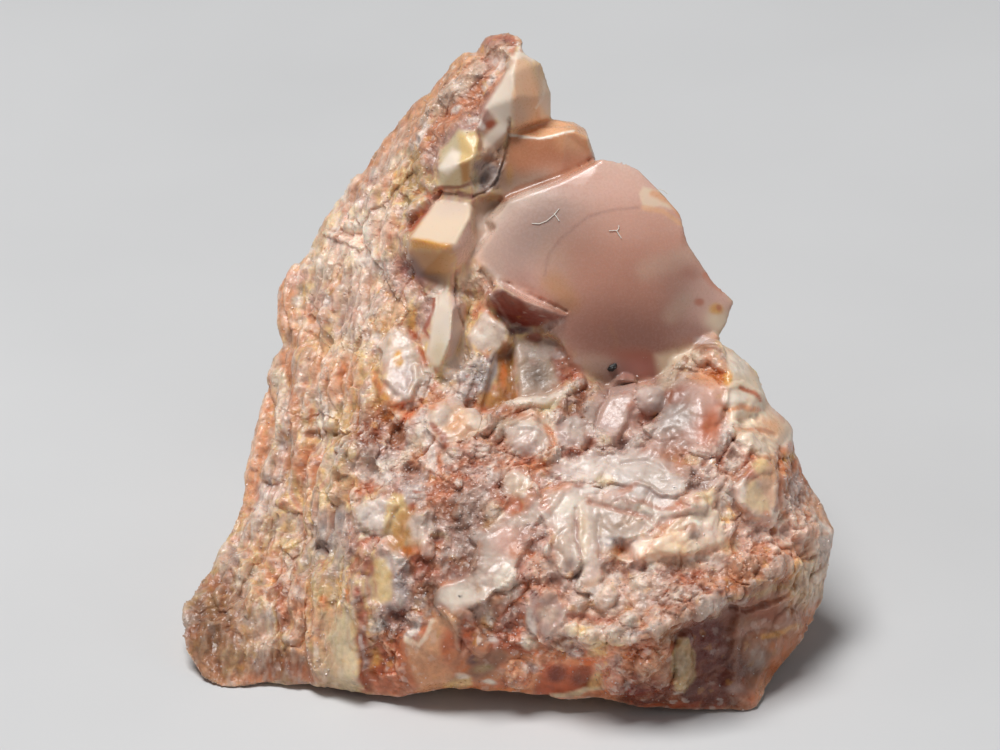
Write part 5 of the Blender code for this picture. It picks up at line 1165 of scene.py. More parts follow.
    streak("plum", 0.05, (-1.2, 14.2), (-0.8, 13.9), (-0.2, 14.3)),
    streak("frost", 0.06, (-1.1, 14.1), (-0.7, 13.7), (-0.4, 14.2), (-0.1, 14.2)),
    streak("frost", 0.08, (-1.9, 12.5), (-1.5, 12.2), (-1.4, 12.5)),
    area("amber", (-0.4, 14.2), (-0.1, 14.8), (0.2, 14.6), (0.3, 13.4), (0.4, 12.4), (-0.3, 12.2),
        (-0.4, 13.2), soft=0.1),
    patch("umber", 0.0, 14.4, 0.25, 0.35),
    patch("orange", -0.1, 13.4, 0.15, 0.5),
    patch("ochre", -0.7, 12.4, 0.5, 0.35),
    area("beige", (0.3, 14.9), (2.0, 14.8), (2.4, 13.8), (2.0, 12.6), (0.5, 12.4)),
    patch("milk", 1.2, 14.4, 0.8, 0.3),
    area("rose", (-0.2, 17.2), (2.4, 16.0), (2.1, 15.9), (0.8, 16.5), (-0.2, 16.9), soft=0.08),
    area("blood", (-0.8, 16.7), (-0.2, 16.8), (0.8, 16.3), (2.4, 15.8), (1.2, 15.3), (0.3, 15.4),
        (-0.3, 15.8), soft=0.1),
    tinge("brick", 0.7, 0.7, 16.1, 1.4, 0.35, -20),
    tinge("rust", 0.8, 0.3, 16.25, 0.6, 0.2, -20),
    tinge("blood", 0.5, 0.5, 15.95, 1.5, 0.5, -20),
    patch("coral", -0.1, 16.5, 0.4, 0.16, -10, strength=0.7),
    streak("rose", 0.06, (-0.7, 16.8), (-0.3, 16.2), (0.0, 15.5)),
    area("dusk", (1.2, 15.1), (1.6, 15.6), (2.2, 15.8), (2.0, 15.2), soft=0.15),
    patch("plum", 0.4, 15.2, 0.5, 0.16),
    patch("brick", 1.1, 14.9, 0.35, 0.16),
    area("brick", (1.8, 14.3), (2.6, 14.2), (2.9, 13.4), (2.2, 12.9), (2.0, 13.4), soft=0.2),
    patch("lilac", 2.1, 14.3, 0.3, 0.16),
    area("rust", (2.6, 13.9), (3.0, 13.8), (3.3, 13.0), (2.9, 12.2), (2.6, 12.6), soft=0.15),
    patch("terracotta", 3.0, 12.3, 0.3, 0.4),
    patch("lilac", 2.9, 14.0, 0.2, 0.15),
    # The smooth pink break
    area("shell", (-1.4, 18.3), (-0.6, 19.6), (0.1, 20.6), (2.2, 21.4), (3.8, 22.4), (4.6, 22.5),
        (6.2, 21.4), (7.6, 19.6), (8.9, 17.0), (9.2, 16.0), (8.2, 15.0), (6.6, 14.6), (4.2, 13.0),
        (2.4, 14.6), (0.2, 16.8), soft=0.3),
    area("milk", (-1.2, 18.3), (-0.6, 19.4), (0.1, 20.4), (2.2, 21.2), (3.8, 22.1), (4.6, 22.2),
        (5.3, 21.7), (3.6, 21.2), (2.0, 20.2), (0.6, 19.0), (0.0, 17.8), (-0.4, 17.2), soft=1.0,
        strength=0.6),
    tinge("veil", 0.95, 0.9, 18.9, 2.0, 1.0, 45),
    streak("milk", 0.3, (-1.2, 18.5), (-0.5, 19.7), (0.2, 20.5), (1.2, 20.9), soft=0.9, strength=0.7),
    tinge("shell", 0.8, 3.9, 21.0, 2.0, 0.8, -10),
    tinge("rose", 0.6, 3.6, 20.7, 1.4, 0.4, -8),
    # Painted shade: the middle and lower part of the break made darker, as it turns down away from the light.
    area("dusk", (1.5, 17.3), (1.7, 18.3), (2.3, 19.0), (3.3, 19.8), (4.4, 20.1), (5.3, 20.15), (6.6, 19.9),
        (7.2, 19.0), (7.6, 17.8), (6.6, 15.6), (5.6, 14.4), (3.6, 14.4), (2.4, 15.2), (2.0, 16.2), soft=0.9,
        strength=0.8),
    tinge("shell_shade", 0.75, 5.0, 16.4, 2.6, 2.1, 10),
    tinge("shell", 0.3, 4.4, 19.3, 1.8, 0.5),
    streak("beige", 0.4, (5.6, 17.6), (6.6, 18.0), (7.4, 18.4), soft=0.9, strength=0.35),
    streak("dusk", 0.3, (6.2, 18.6), (7.2, 18.9), soft=0.9, strength=0.5),
    tinge("beige", 0.3, 1.9, 18.0, 0.6, 1.0, 15),
    tinge("brick", 0.4, 7.4, 17.4, 0.35, 0.3),
    tinge("mauve", 0.4, 0.7, 17.3, 0.6, 0.3, -30),
    streak("ochre", 0.4, (1.8, 17.1), (2.2, 16.7), (2.5, 16.3), soft=0.9, strength=0.4),
    tinge("umber", 0.5, 2.2, 16.1, 0.5, 0.3),
    tinge("coral", 0.25, 3.9, 15.4, 0.6, 0.45),
    tinge("tan", 0.3, 4.1, 15.0, 0.6, 0.4),
    # More painted shade, darkest at the foot of the break.
    area("shell_shade", (2.4, 15.4), (6.4, 14.6), (6.2, 13.4), (4.2, 12.9), (3.0, 13.6), soft=0.8, strength=0.8),
    tinge("deep", 0.9, 5.0, 15.0, 2.8, 1.1, -6),
    patch("beige", 3.6, 13.8, 0.9, 0.4, -10, soft=0.8, strength=0.5),
    patch("brick", 5.6, 14.0, 1.3, 0.35, -10, soft=0.8, strength=0.7),
    patch("dust", 5.4, 13.6, 1.0, 0.4, soft=0.7, strength=0.8),
    streak("umber", 0.1, (4.2, 15.3), (4.4, 14.8), (4.3, 14.4), soft=0.9, strength=0.35),
    streak("mauve", 0.05, (1.5, 17.4), (1.7, 18.3), (2.3, 19.0), (3.3, 19.8), (4.4, 20.1), (5.3, 20.15),
        soft=0.9, strength=0.6),
    area("cream", (5.3, 20.7), (5.5, 21.0), (6.2, 20.8), (7.0, 20.1), (6.6, 20.1), (6.2, 20.2), (5.5, 20.1),
        soft=0.08, strength=0.8),
    streak("peach", 0.14, (5.9, 20.7), (6.6, 20.4), (7.0, 19.9), strength=0.7),
    streak("apricot", 0.1, (5.5, 20.15), (6.3, 20.0), (7.0, 19.5), strength=0.7),
    streak("coral", 0.14, (8.0, 17.4), (8.3, 17.1), (8.7, 16.8), strength=0.6),
    area("rose", (7.3, 17.2), (8.2, 17.2), (9.1, 16.4), (8.9, 15.6), (8.2, 15.2), (7.4, 15.8), soft=0.5,
        strength=0.7),
    patch("cream", 8.5, 15.6, 0.5, soft=0.7),
    patch("rust", 7.75, 16.35, 0.2, 0.16, strength=0.6),
    patch("honey", 8.45, 16.05, 0.28, 0.2, strength=0.8),
    patch("terracotta", 8.55, 16.1, 0.12),
    streak("beige", 0.3, (6.6, 15.8), (7.2, 16.4), soft=0.9, strength=0.4),
    area("mauve", (6.6, 14.8), (7.4, 15.4), (8.2, 15.2), (8.3, 14.6), (7.4, 14.5), soft=0.5, strength=0.7),
    # Crust under the pink break
    area("cream", (6.0, 14.2), (7.0, 14.4), (7.6, 14.6), (8.2, 14.2), (7.6, 13.2), (7.0, 12.8), (6.2, 12.9),
        soft=0.25),
    patch("umber", 7.9, 14.4, 0.35),
    patch("lilac", 7.9, 14.8, 0.35, 0.15),
    streak("umber", 0.1, (7.2, 14.1), (6.9, 13.4)),
    area("rose", (7.0, 13.4), (8.2, 14.2), (8.9, 13.6), (8.8, 12.9), (8.4, 11.8), (9.0, 10.6), (8.0, 9.6),
        (6.0, 9.8), (5.6, 10.8), (6.4, 12.2), (6.6, 12.8), soft=0.35),
    area("peach", (7.2, 13.2), (8.0, 14.1), (8.8, 13.9), (8.9, 13.2), (8.2, 12.8), (7.4, 12.6), soft=0.3),
    patch("orange", 8.5, 13.4, 0.35, 0.3),
    patch("coral", 6.9, 12.6, 0.6, 0.35, 20),
    patch("rose", 7.6, 12.6, 0.6, 0.5),
    patch("coral", 8.1, 11.2, 0.5, 0.8, -10),
    patch("milk", 6.6, 11.6, 0.8, 0.5, 30),
    patch("lilac", 8.8, 11.0, 0.3, 0.4),
    area("cream", (8.6, 14.6), (9.4, 14.2), (10.4, 13.0), (10.6, 12.0), (11.4, 11.4), (11.4, 10.8),
        (10.6, 10.2), (9.8, 10.2), (9.2, 10.8), (8.8, 11.6), (8.8, 12.6), (8.9, 13.6), soft=0.2),
    patch("ivory", 9.3, 13.8, 0.5, 0.3, -40),
    patch("ivory", 9.2, 12.5, 0.5, 0.25, 10),
    streak("peach", 0.1, (8.9, 12.0), (9.5, 12.1), (10.1, 12.0)),
    streak("coral", 0.08, (9.4, 12.9), (9.9, 12.7), (10.2, 12.4)),
    patch("apricot", 10.6, 11.3, 0.6, 0.4, -20),
    streak("tan", 0.08, (9.2, 11.2), (9.9, 11.2), (10.6, 11.1)),
    patch("honey", 8.85, 13.3, 0.2, 0.3),
    area("terracotta", (10.9, 10.6), (11.6, 10.4), (12.0, 9.6), (11.9, 9.2), (11.0, 9.4), soft=0.15),
    patch("honey", 11.4, 10.1, 0.3, 0.2),
    patch("orange", 11.0, 9.6, 0.3, 0.5),
    area("apricot", (9.8, 10.2), (10.8, 10.2), (10.9, 9.0), (10.7, 7.9), (10.2, 8.2), (10.0, 9.2),
        soft=0.2),
    streak("coral", 0.1, (10.9, 9.2), (10.9, 8.2), (10.7, 7.8)),
    area("straw", (9.3, 9.0), (9.9, 9.2), (10.3, 8.4), (10.6, 7.8), (9.9, 7.8), (9.4, 8.4)),
    patch("ivory", 9.45, 8.8, 0.14, 0.35),
    patch("orange", 10.35, 7.85, 0.22, 0.12),
    patch("brick", 9.5, 9.4, 0.3, 0.16),
    patch("rust", 9.6, 9.45, 0.2, 0.14),
    patch("straw", 10.1, 9.8, 0.3),
    area("rust", (8.3, 10.2), (9.0, 10.3), (9.3, 9.9), (8.7, 9.6), (8.4, 9.7), soft=0.25),
    patch("rust", 9.6, 10.2, 0.3, 0.16),
    patch("milk", 9.0, 9.9, 0.4, 0.3),
    area("mauve", (6.6, 9.3), (7.4, 9.6), (8.7, 9.4), (8.4, 8.9), (6.8, 8.8), soft=0.2),
    patch("plum", 7.6, 9.0, 0.5, 0.2),
    patch("terracotta", 6.9, 10.1, 0.7, 0.35, -10),
    patch("honey", 7.4, 10.0, 0.35, 0.2),
    patch("coral", 6.3, 9.6, 0.25, 0.16),
    area("lilac", (3.6, 12.6), (4.4, 13.0), (5.2, 12.9), (5.0, 12.0), (4.4, 11.0), (3.6, 11.2), (3.2, 11.9),
        soft=0.25),
    patch("milk", 4.4, 12.0, 0.5, 0.6),
    patch("milk", 3.4, 12.0, 0.35, 0.5),
    area("frost", (5.2, 12.9), (6.2, 13.0), (6.3, 12.3), (5.8, 12.1), (5.2, 12.2), soft=0.1),
    area("lilac", (5.2, 12.2), (6.3, 12.3), (6.4, 11.8), (5.6, 11.8)),
    patch("brick", 5.7, 11.7, 0.35, 0.3),
    patch("coral", 5.0, 12.1, 0.25),
    area("lilac", (2.0, 11.6), (3.0, 11.7), (3.5, 11.2), (3.2, 10.6), (2.4, 10.4), (2.0, 10.8), soft=0.2),
    patch("milk", 2.9, 11.3, 0.5, 0.35),
    patch("frost", 2.6, 11.6, 0.35, 0.12),
    patch("brick", 2.55, 10.2, 0.3),
    patch("rust", 3.45, 10.7, 0.16),
    patch("straw", 4.0, 10.8, 0.22, 0.2),
    area("blood", (4.0, 10.3), (4.8, 10.9), (5.7, 11.1), (5.0, 10.4), (4.2, 10.1), soft=0.15),
    streak("lilac", 0.2, (2.8, 10.0), (3.6, 10.3), (4.2, 10.0)),
    streak("frost", 0.25, (3.6, 9.8), (4.8, 10.3), (5.8, 11.2), (6.6, 11.9)),
    area("frost", (2.0, 9.8), (3.4, 10.2), (4.4, 10.1), (5.6, 10.4), (6.4, 9.8), (7.2, 9.0), (6.4, 8.1),
        (5.0, 8.5), (4.0, 8.4), (2.6, 8.7), (1.8, 9.3), soft=0.25),
    patch("milk", 5.8, 9.2, 0.7, 0.45),
    patch("lilac", 5.8, 8.7, 0.6, 0.2, -20),
    patch("straw", 3.95, 9.2, 0.4, 0.25, -20),
    patch("coral", 4.7, 8.8, 0.6, 0.16, 30),
    patch("rose", 4.2, 8.6, 0.4, 0.2),
    area("lilac", (1.6, 9.4), (1.9, 9.8), (2.9, 9.6), (2.4, 9.0), soft=0.2),
    patch("terracotta", 2.3, 8.9, 0.4, 0.25, 30),
    patch("brick", 2.8, 9.0, 0.2, 0.14),
    # Middle of the crust
    area("cream", (-3.2, 12.2), (-2.0, 12.2), (-1.2, 11.8), (-0.8, 11.4), (-1.6, 10.8), (-2.4, 10.6),
        (-3.0, 11.2), soft=0.2),
    patch("apricot", -2.0, 11.4, 0.5, 0.6),
    patch("orange", -2.9, 12.1, 0.25, 0.14),
    patch("milk", -2.6, 11.8, 0.3, 0.4),
    streak("brick", 0.12, (-3.0, 11.4), (-2.6, 11.0), (-2.4, 10.5)),
    patch("ivory", -1.1, 11.6, 0.35, 0.2, 20),
    area("cream", (-1.1, 11.0), (-0.4, 11.4), (0.0, 12.0), (0.6, 12.4), (1.8, 12.4), (2.7, 13.0),
        (2.9, 12.9), (2.1, 12.2), (1.9, 11.2), (0.6, 11.4), (-0.4, 10.8)),
    patch("terracotta", 0.3, 11.9, 0.6, 0.3, -5),
    patch("tan", 1.2, 11.8, 0.35, 0.25),
    patch("lemon", 1.7, 12.1, 0.5, 0.2, 20),
    patch("rust", -0.5, 11.0, 0.16),
    streak("ivory", 0.1, (0.0, 12.25), (0.6, 12.4), (1.6, 12.45), (2.2, 12.7), (2.8, 13.05)),
    patch("milk", 0.9, 10.8, 0.9, 0.8),
    patch("lilac", 0.7, 10.6, 0.5, 0.4),
    streak("peach", 0.14, (0.0, 10.0), (0.8, 9.7), (1.6, 10.0), (1.9, 10.8), (1.6, 11.3)),
    patch("coral", 0.7, 9.9, 0.6, 0.25),
    streak("orange", 0.09, (0.6, 9.7), (1.2, 9.6), (1.6, 9.9)),
    streak("frost", 0.14, (0.1, 11.1), (0.7, 11.4), (1.1, 11.2)),
    patch("coral", -0.3, 9.95, 0.3, 0.28),
    patch("rose", -0.2, 10.0, 0.14, 0.12),
    streak("frost", 0.05, (-0.6, 10.3), (-0.1, 10.3), (0.0, 9.9)),
    patch("umber", 1.7, 10.2, 0.14, 0.6),
    patch("frost", -1.1, 10.35, 0.4, 0.22),
    patch("ivory", -2.2, 10.2, 0.45, 0.25),
    patch("rose", -1.7, 10.2, 0.3, 0.25),
    area("coral", (-2.7, 9.9), (-1.8, 9.9), (-0.9, 9.8), (-0.8, 9.3), (-1.4, 9.0), (-2.8, 9.1), soft=0.2),
    patch("amber", -2.5, 9.4, 0.25, 0.2),
    patch("blood", -1.3, 9.7, 0.25, 0.16),
    patch("frost", -1.85, 9.1, 0.2, 0.12),
    patch("frost", -1.55, 9.6, 0.16),
    patch("brick", -0.4, 9.0, 0.4, 0.25),
    patch("frost", -0.7, 9.5, 0.12, 0.5),
    area("cream", (-0.1, 9.5), (0.6, 9.4), (1.0, 9.0), (0.6, 8.6), (0.0, 8.6), (-0.1, 9.0), soft=0.2),
    patch("ivory", 0.7, 9.2, 0.25, 0.14, -30),
    patch("coral", 0.0, 8.2, 0.5, 0.3),
    area("cream", (-1.0, 8.4), (-0.5, 8.4), (-0.2, 7.8), (-0.4, 7.3), (-1.0, 7.4)),
    patch("ochre", -0.6, 7.5, 0.3, 0.2),
    patch("frost", -1.2, 7.1, 0.35, 0.28),
    patch("frost", -1.95, 7.95, 0.18),
    patch("brick", -2.7, 6.9, 0.3, 0.2),
    streak("straw", 0.09, (-2.9, 7.1), (-2.5, 7.1), (-2.2, 6.9)),
    area("umber", (-3.2, 8.8), (-1.2, 8.8), (-1.4, 7.6), (-3.2, 7.8), soft=0.5),
    patch("coral", -2.6, 8.6, 0.6, 0.3),
    patch("rose", -1.9, 6.8, 0.5, 0.7),
    patch("mauve", -2.1, 5.6, 0.7, 0.4),
    patch("umber", -1.6, 6.0, 0.5, 0.4),
    area("milk", (-1.0, 7.2), (-0.2, 7.6), (0.8, 8.0), (1.4, 8.6), (1.0, 7.4), (0.6, 6.4), (0.2, 5.6),
        (-0.2, 5.0), (-0.8, 4.6), (-1.6, 4.2), (-2.2, 4.0), (-2.8, 4.4), (-2.6, 5.0), (-1.8, 5.2),
        (-1.2, 5.6), (-1.0, 6.4), soft=0.15),
    patch("rose", 0.0, 6.8, 0.6),
    patch("ivory", -2.0, 4.6, 0.6, 0.4),
    patch("soot", -1.85, 4.6, 0.05),
    patch("terracotta", 0.4, 6.4, 0.3, 0.4),
    area("ivory", (-0.5, 5.4), (0.0, 6.0), (0.4, 5.6), (0.3, 5.0), (0.0, 4.6), (-0.4, 4.8), soft=0.08),
    area("coral", (0.4, 5.8), (0.9, 6.2), (1.4, 5.4), (1.4, 4.6), (0.9, 4.2), (0.5, 4.6), soft=0.15),
    patch("rust", 0.6, 5.6, 0.2, 0.3),
    patch("orange", 1.2, 5.7, 0.25, 0.4),
    patch("orange", 1.7, 6.2, 0.35, 0.18),
    patch("rust", 1.35, 6.8, 0.3, 0.2),
    patch("orange", 1.8, 4.9, 0.2, 0.16),
    patch("blood", 1.0, 4.6, 0.2, 0.25),
    streak("lilac", 0.1, (1.0, 7.4), (0.9, 6.8), (1.1, 6.4)),
    patch("tan", 1.7, 5.6, 0.4),
    patch("mauve", 0.9, 7.0, 0.5),
    area("milk", (1.6, 8.6), (2.8, 8.8), (3.6, 8.3), (5.4, 8.4), (6.2, 8.1), (7.4, 8.0), (5.6, 7.4),
        (4.6, 6.9), (3.8, 6.4), (3.5, 5.4), (3.0, 4.8), (2.4, 5.4), (1.9, 6.4), (1.8, 7.6), soft=0.2),
    patch("ivory", 2.5, 8.2, 0.6, 0.3, 20),
    patch("cream", 3.0, 6.9, 0.25, 1.2),
    patch("beige", 4.5, 7.6, 0.8, 0.35),
    patch("beige", 2.3, 6.4, 0.35, 0.5),
    patch("ivory", 5.5, 8.1, 0.5, 0.2),
    # Darker lines in the grooves between the drapes: painted shade.
    streak("mauve", 0.07, (2.75, 7.6), (2.75, 6.8), (2.95, 6.0)),
    streak("mauve", 0.07, (3.65, 7.0), (3.6, 6.4), (3.75, 5.8)),
    streak("dusk", 0.09, (3.2, 8.35), (4.0, 8.15), (4.9, 8.0), (5.6, 7.7)),
    streak("dusk", 0.08, (5.0, 8.45), (6.0, 8.1), (6.8, 8.1)),
    patch("grey", 4.2, 6.8, 0.5, 0.2),
    patch("ochre", 4.4, 6.3, 0.4, 0.25),
    streak("frost", 0.08, (3.7, 6.9), (4.1, 6.8)),
    patch("plum", 2.6, 5.6, 0.3, 0.5, 20),
    patch("mauve", 2.1, 5.2, 0.5, 0.4),
    patch("rose", 3.4, 5.4, 0.25, 0.4),
    area("mauve", (1.0, 4.4), (1.8, 4.7), (2.4, 4.2), (2.2, 3.6), (1.4, 3.2), (0.9, 3.6), soft=0.3),
    patch("beige", 1.7, 3.9, 0.4, 0.3),
    patch("coral", 2.4, 4.3, 0.2, 0.16),
    # Right side of the crust
    area("cream", (5.8, 6.2), (6.6, 7.6), (7.6, 8.1), (8.4, 8.2), (8.8, 7.4), (8.6, 6.6), (7.0, 6.3),
        soft=0.2),
    area("apricot", (5.4, 6.2), (6.4, 7.2), (7.0, 7.2), (7.2, 6.4), (6.0, 6.1), soft=0.2),
    area("ivory", (5.0, 6.7), (5.8, 6.9), (5.3, 6.2), soft=0.06),
    patch("milk", 7.8, 7.1, 0.6, 0.5),
    patch("cream", 7.8, 8.5, 0.6, 0.25, 10),
    area("straw", (7.4, 8.6), (8.3, 9.0), (8.1, 8.2), soft=0.1),
    patch("tan", 7.5, 8.4, 0.2, 0.16),
    patch("straw", 8.8, 7.8, 0.3, 0.25, -30),
    patch("milk", 8.7, 8.5, 0.3, 0.6),
    area("umber", (6.9, 7.5), (7.5, 7.6), (7.7, 7.0), (7.2, 6.7), soft=0.2),
    patch("plum", 7.4, 7.1, 0.25, 0.16),
    patch("soot", 7.48, 6.92, 0.05, 0.12),
    streak("ivory", 0.07, (7.0, 7.5), (7.4, 7.65), (7.7, 7.55)),
    patch("honey", 6.8, 6.5, 0.3, 0.2),
    area("mauve", (9.0, 7.6), (9.8, 8.0), (10.6, 7.4), (10.2, 6.9), (9.0, 7.1), soft=0.25),
    area("brick", (8.8, 6.6), (9.8, 6.9), (10.8, 6.6), (10.4, 5.6), (9.2, 5.5), (8.7, 6.0), soft=0.25),
    patch("coral", 9.9, 6.2, 0.7, 0.35, -10),
    patch("rust", 9.8, 5.7, 0.5, 0.2),
    patch("straw", 8.9, 6.5, 0.4, 0.3),
    area("rose", (10.2, 7.2), (11.2, 7.5), (11.5, 6.8), (11.0, 6.2), (10.4, 6.4), soft=0.15),
    area("milk", (10.5, 8.1), (11.1, 7.9), (11.0, 7.3), (10.6, 7.4)),
    patch("tan", 11.3, 6.3, 0.5, 0.6),
    area("terracotta", (11.0, 9.2), (12.2, 8.8), (12.7, 7.6), (12.0, 6.6), (11.4, 7.0), (11.0, 8.0),
        soft=0.25),
    patch("mauve", 11.5, 8.5, 0.4, 0.6),
    patch("lilac", 11.6, 9.0, 0.3, 0.35),
    patch("rust", 12.2, 7.1, 0.3, 0.16),
    patch("lilac", 11.4, 8.3, 0.2, 0.35),
    streak("frost", 0.12, (12.4, 7.6), (12.9, 7.2), (13.1, 6.8)),
    area("terracotta", (11.2, 6.4), (12.0, 6.8), (12.4, 6.0), (11.8, 5.0), (11.0, 5.2), soft=0.2),
    patch("honey", 11.6, 5.5, 0.35, 0.6, -30),
    area("lilac", (12.3, 7.0), (13.2, 6.8), (13.0, 5.6), (12.7, 4.3), (12.0, 4.2), (12.0, 5.0), (12.4, 6.0),
        soft=0.25),
    patch("lemon", 12.1, 5.6, 0.3, 0.35),
    patch("cream", 12.5, 4.6, 0.4),
    streak("coral", 0.08, (11.5, 6.8), (12.1, 7.0), (12.9, 7.0)),
    # The ledge
    area("tan", (2.4, 3.6), (3.2, 4.8), (4.6, 5.8), (6.0, 6.2), (8.6, 6.4), (10.8, 6.2), (10.6, 5.2),
        (8.6, 4.2), (6.4, 3.3), (5.0, 2.7), (2.8, 2.8), soft=0.2),
    patch("apricot", 3.6, 5.0, 0.7, 0.4, 30),
    area("brick", (4.4, 5.6), (5.2, 6.2), (5.6, 5.7), (5.0, 5.1), soft=0.2),
    patch("frost", 3.35, 4.6, 0.2, 0.35),
    streak("frost", 0.12, (3.4, 4.9), (4.0, 5.4), (4.5, 5.4)),
    patch("coral", 4.6, 4.9, 0.25, 0.3),
    patch("tan", 4.0, 4.6, 0.3),
    patch("cream", 5.1, 5.2, 0.3, 0.4),
    patch("ivory", 5.7, 5.8, 0.2, 0.35),
    area("brick", (6.0, 6.0), (7.2, 5.9), (7.8, 5.4), (7.2, 5.0), (6.0, 5.2), soft=0.3),
    patch("rust", 6.1, 5.7, 0.2),
    patch("rust", 7.4, 5.5, 0.4, 0.2),
    patch("mauve", 6.6, 4.5, 1.2, 0.4),
    patch("milk", 7.0, 4.8, 0.5, 0.3),
    patch("brick", 7.4, 5.0, 0.3, 0.2),
    patch("rose", 8.2, 5.8, 0.5, 0.35),
    streak("frost", 0.1, (7.2, 6.15), (8.0, 6.1), (8.6, 5.9)),
    area("orange", (8.2, 5.2), (9.4, 5.5), (10.6, 5.4), (9.4, 4.8), (8.6, 4.6), soft=0.25),
    patch("apricot", 10.2, 5.1, 0.7, 0.25, 20),
    streak("blood", 0.1, (7.7, 4.9), (8.2, 4.8), (8.6, 4.9)),
    patch("soot", 7.75, 4.4, 0.08, 0.16, soft=0.7),
    patch("soot", 7.68, 4.2, 0.07, 0.06),
    area("lilac", (7.9, 4.6), (8.9, 4.7), (9.0, 4.2), (8.0, 4.0), soft=0.15),
    streak("frost", 0.06, (8.0, 4.1), (8.5, 4.15), (8.7, 4.5)),
    patch("coral", 6.6, 4.1, 0.5, 0.16),
    patch("terracotta", 5.8, 3.9, 0.5, 0.3),
    streak("rust", 0.12, (2.5, 3.9), (3.2, 3.9), (4.0, 3.8)),
    patch("tan", 4.6, 4.2, 0.6, 0.2),
    area("cream", (2.3, 3.5), (3.0, 3.6), (4.6, 3.3), (5.2, 3.0), (4.6, 2.7), (3.4, 2.9), (2.6, 3.0)),
    patch("straw", 2.8, 3.3, 0.35, 0.16),
    patch("milk", 3.8, 3.4, 0.5, 0.16),
    patch("plum", 5.0, 3.3, 0.6, 0.14),
    streak("lilac", 0.08, (4.6, 3.1), (5.4, 3.3), (6.0, 3.6)),
    patch("ivory", 4.85, 3.6, 0.3, 0.25),
    patch("cream", 8.1, 3.8, 0.45, 0.25, 20),
    streak("straw", 0.07, (3.0, 2.9), (3.8, 2.75), (4.6, 2.7), (5.0, 2.8)),
    streak("straw", 0.06, (8.8, 4.4), (9.6, 4.6), (10.6, 5.0)),
    # The glassy foot
    area("apricot", (-4.0, 2.8), (-3.4, 2.6), (-2.7, 4.0), (-1.9, 3.8), (-1.9, 2.4), (-2.2, 1.2),
        (-2.8, 0.7), (-3.6, 0.8)),
    streak("cream", 0.09, (-4.0, 2.9), (-3.5, 2.65), (-2.9, 3.6)),
    patch("coral", -2.3, 2.6, 0.35, 0.8),
    patch("terracotta", -2.1, 2.0, 0.25, 0.5),
    area("umber", (-2.0, 4.1), (-1.2, 4.3), (-0.6, 4.6), (-0.4, 3.6), (-0.8, 2.8), (-1.6, 2.4), (-2.0, 2.8),
        soft=0.25),
    patch("brick", -1.6, 2.8, 0.35, 0.3),
    patch("rust", -1.5, 3.4, 0.25, 0.5),
    patch("ochre", -0.7, 3.6, 0.3, 0.4),
    patch("milk", -0.65, 3.7, 0.2, 0.25),
    patch("umber", -0.4, 4.5, 0.35, 0.3),
    area("brick", (-0.4, 4.2), (0.6, 4.4), (0.7, 3.2), (0.4, 2.4), (-0.5, 2.6), soft=0.25),
    patch("coral", 0.3, 3.2, 0.25, 0.8),
    patch("rust", 0.3, 2.6, 0.5, 0.14),
    patch("frost", -0.6, 2.9, 0.22, 0.12),
    patch("frost", 0.95, 3.5, 0.2, 0.4),
    patch("cream", 0.9, 2.8, 0.25, 0.3),
    patch("frost", 1.6, 3.0, 0.16, 0.1),
    area("umber", (-1.6, 1.6), (-1.2, 2.2), (-0.4, 2.6), (0.1, 2.3), (-0.6, 1.5), (-1.2, 1.2), soft=0.15),
    patch("olive", -0.9, 1.7, 0.35, 0.16),
    patch("plum", -1.4, 2.1, 0.25, 0.2),
    area("straw", (-2.5, 1.0), (-1.9, 1.5), (-1.4, 1.4), (-1.4, 0.9), (-2.4, 0.8)),
    patch("ivory", -1.75, 1.45, 0.3, 0.1),
    area("peach", (-0.9, 1.2), (0.2, 2.2), (1.3, 2.2), (1.3, 1.2), (0.8, 0.7), (-0.6, 0.8), soft=0.2),
    patch("coral", -0.2, 1.1, 0.4, 0.25),
    patch("coral", 0.6, 1.2, 0.3, 0.2),
    patch("ivory", -0.7, 1.15, 0.25, 0.1),
    patch("lilac", 0.9, 1.7, 0.4, 0.25),
    streak("orange", 0.12, (-1.4, 0.85), (-0.6, 0.8), (0.4, 0.75), (0.9, 0.75)),
    area("rust", (1.0, 0.7), (1.6, 1.8), (2.6, 1.9), (3.4, 1.9), (3.4, 1.2), (3.0, 0.7), (2.0, 0.5),
        soft=0.15),
    # Darkest in the orange recess: its deep red, with painted shade.
    patch("deep_red_and_shade", 3.0, 1.4, 0.5, 0.45),
    patch("deep_red_and_shade", 2.0, 1.5, 0.4, 0.35),
    streak("lemon", 0.1, (1.8, 0.6), (3.0, 0.75), (3.8, 1.0)),
    area("umber", (1.3, 2.0), (1.8, 2.7), (2.4, 3.0), (3.4, 2.6), (3.5, 2.0), (2.4, 1.9), soft=0.25),
    patch("terracotta", 2.0, 2.1, 0.7, 0.2),
    patch("plum", 2.7, 2.45, 0.3, 0.25),
    patch("lilac", 2.8, 2.4, 0.25, 0.16),
    patch("straw", 3.6, 2.6, 0.35),
    patch("rust", 3.4, 2.1, 0.5, 0.16),
    area("rose", (3.4, 1.8), (4.0, 2.3), (4.6, 2.0), (4.7, 1.2), (4.0, 1.2), (3.6, 1.2), soft=0.2),
    patch("lilac", 4.3, 2.0, 0.25, 0.35),
    patch("straw", 3.5, 1.2, 0.2, 0.4, -30),
    patch("rust", 4.2, 1.0, 0.5, 0.25),
    area("terracotta", (4.8, 2.8), (5.6, 3.1), (6.4, 3.3), (6.2, 2.4), (5.4, 1.9), (4.8, 2.0), soft=0.25),
    patch("coral", 5.4, 2.5, 0.6, 0.4),
    patch("umber", 5.2, 1.6, 0.6, 0.35),
    patch("plum", 5.1, 1.5, 0.25, 0.2),
    patch("peach", 6.0, 2.0, 0.5),
    patch("tan", 6.2, 1.6, 0.35, 0.5),
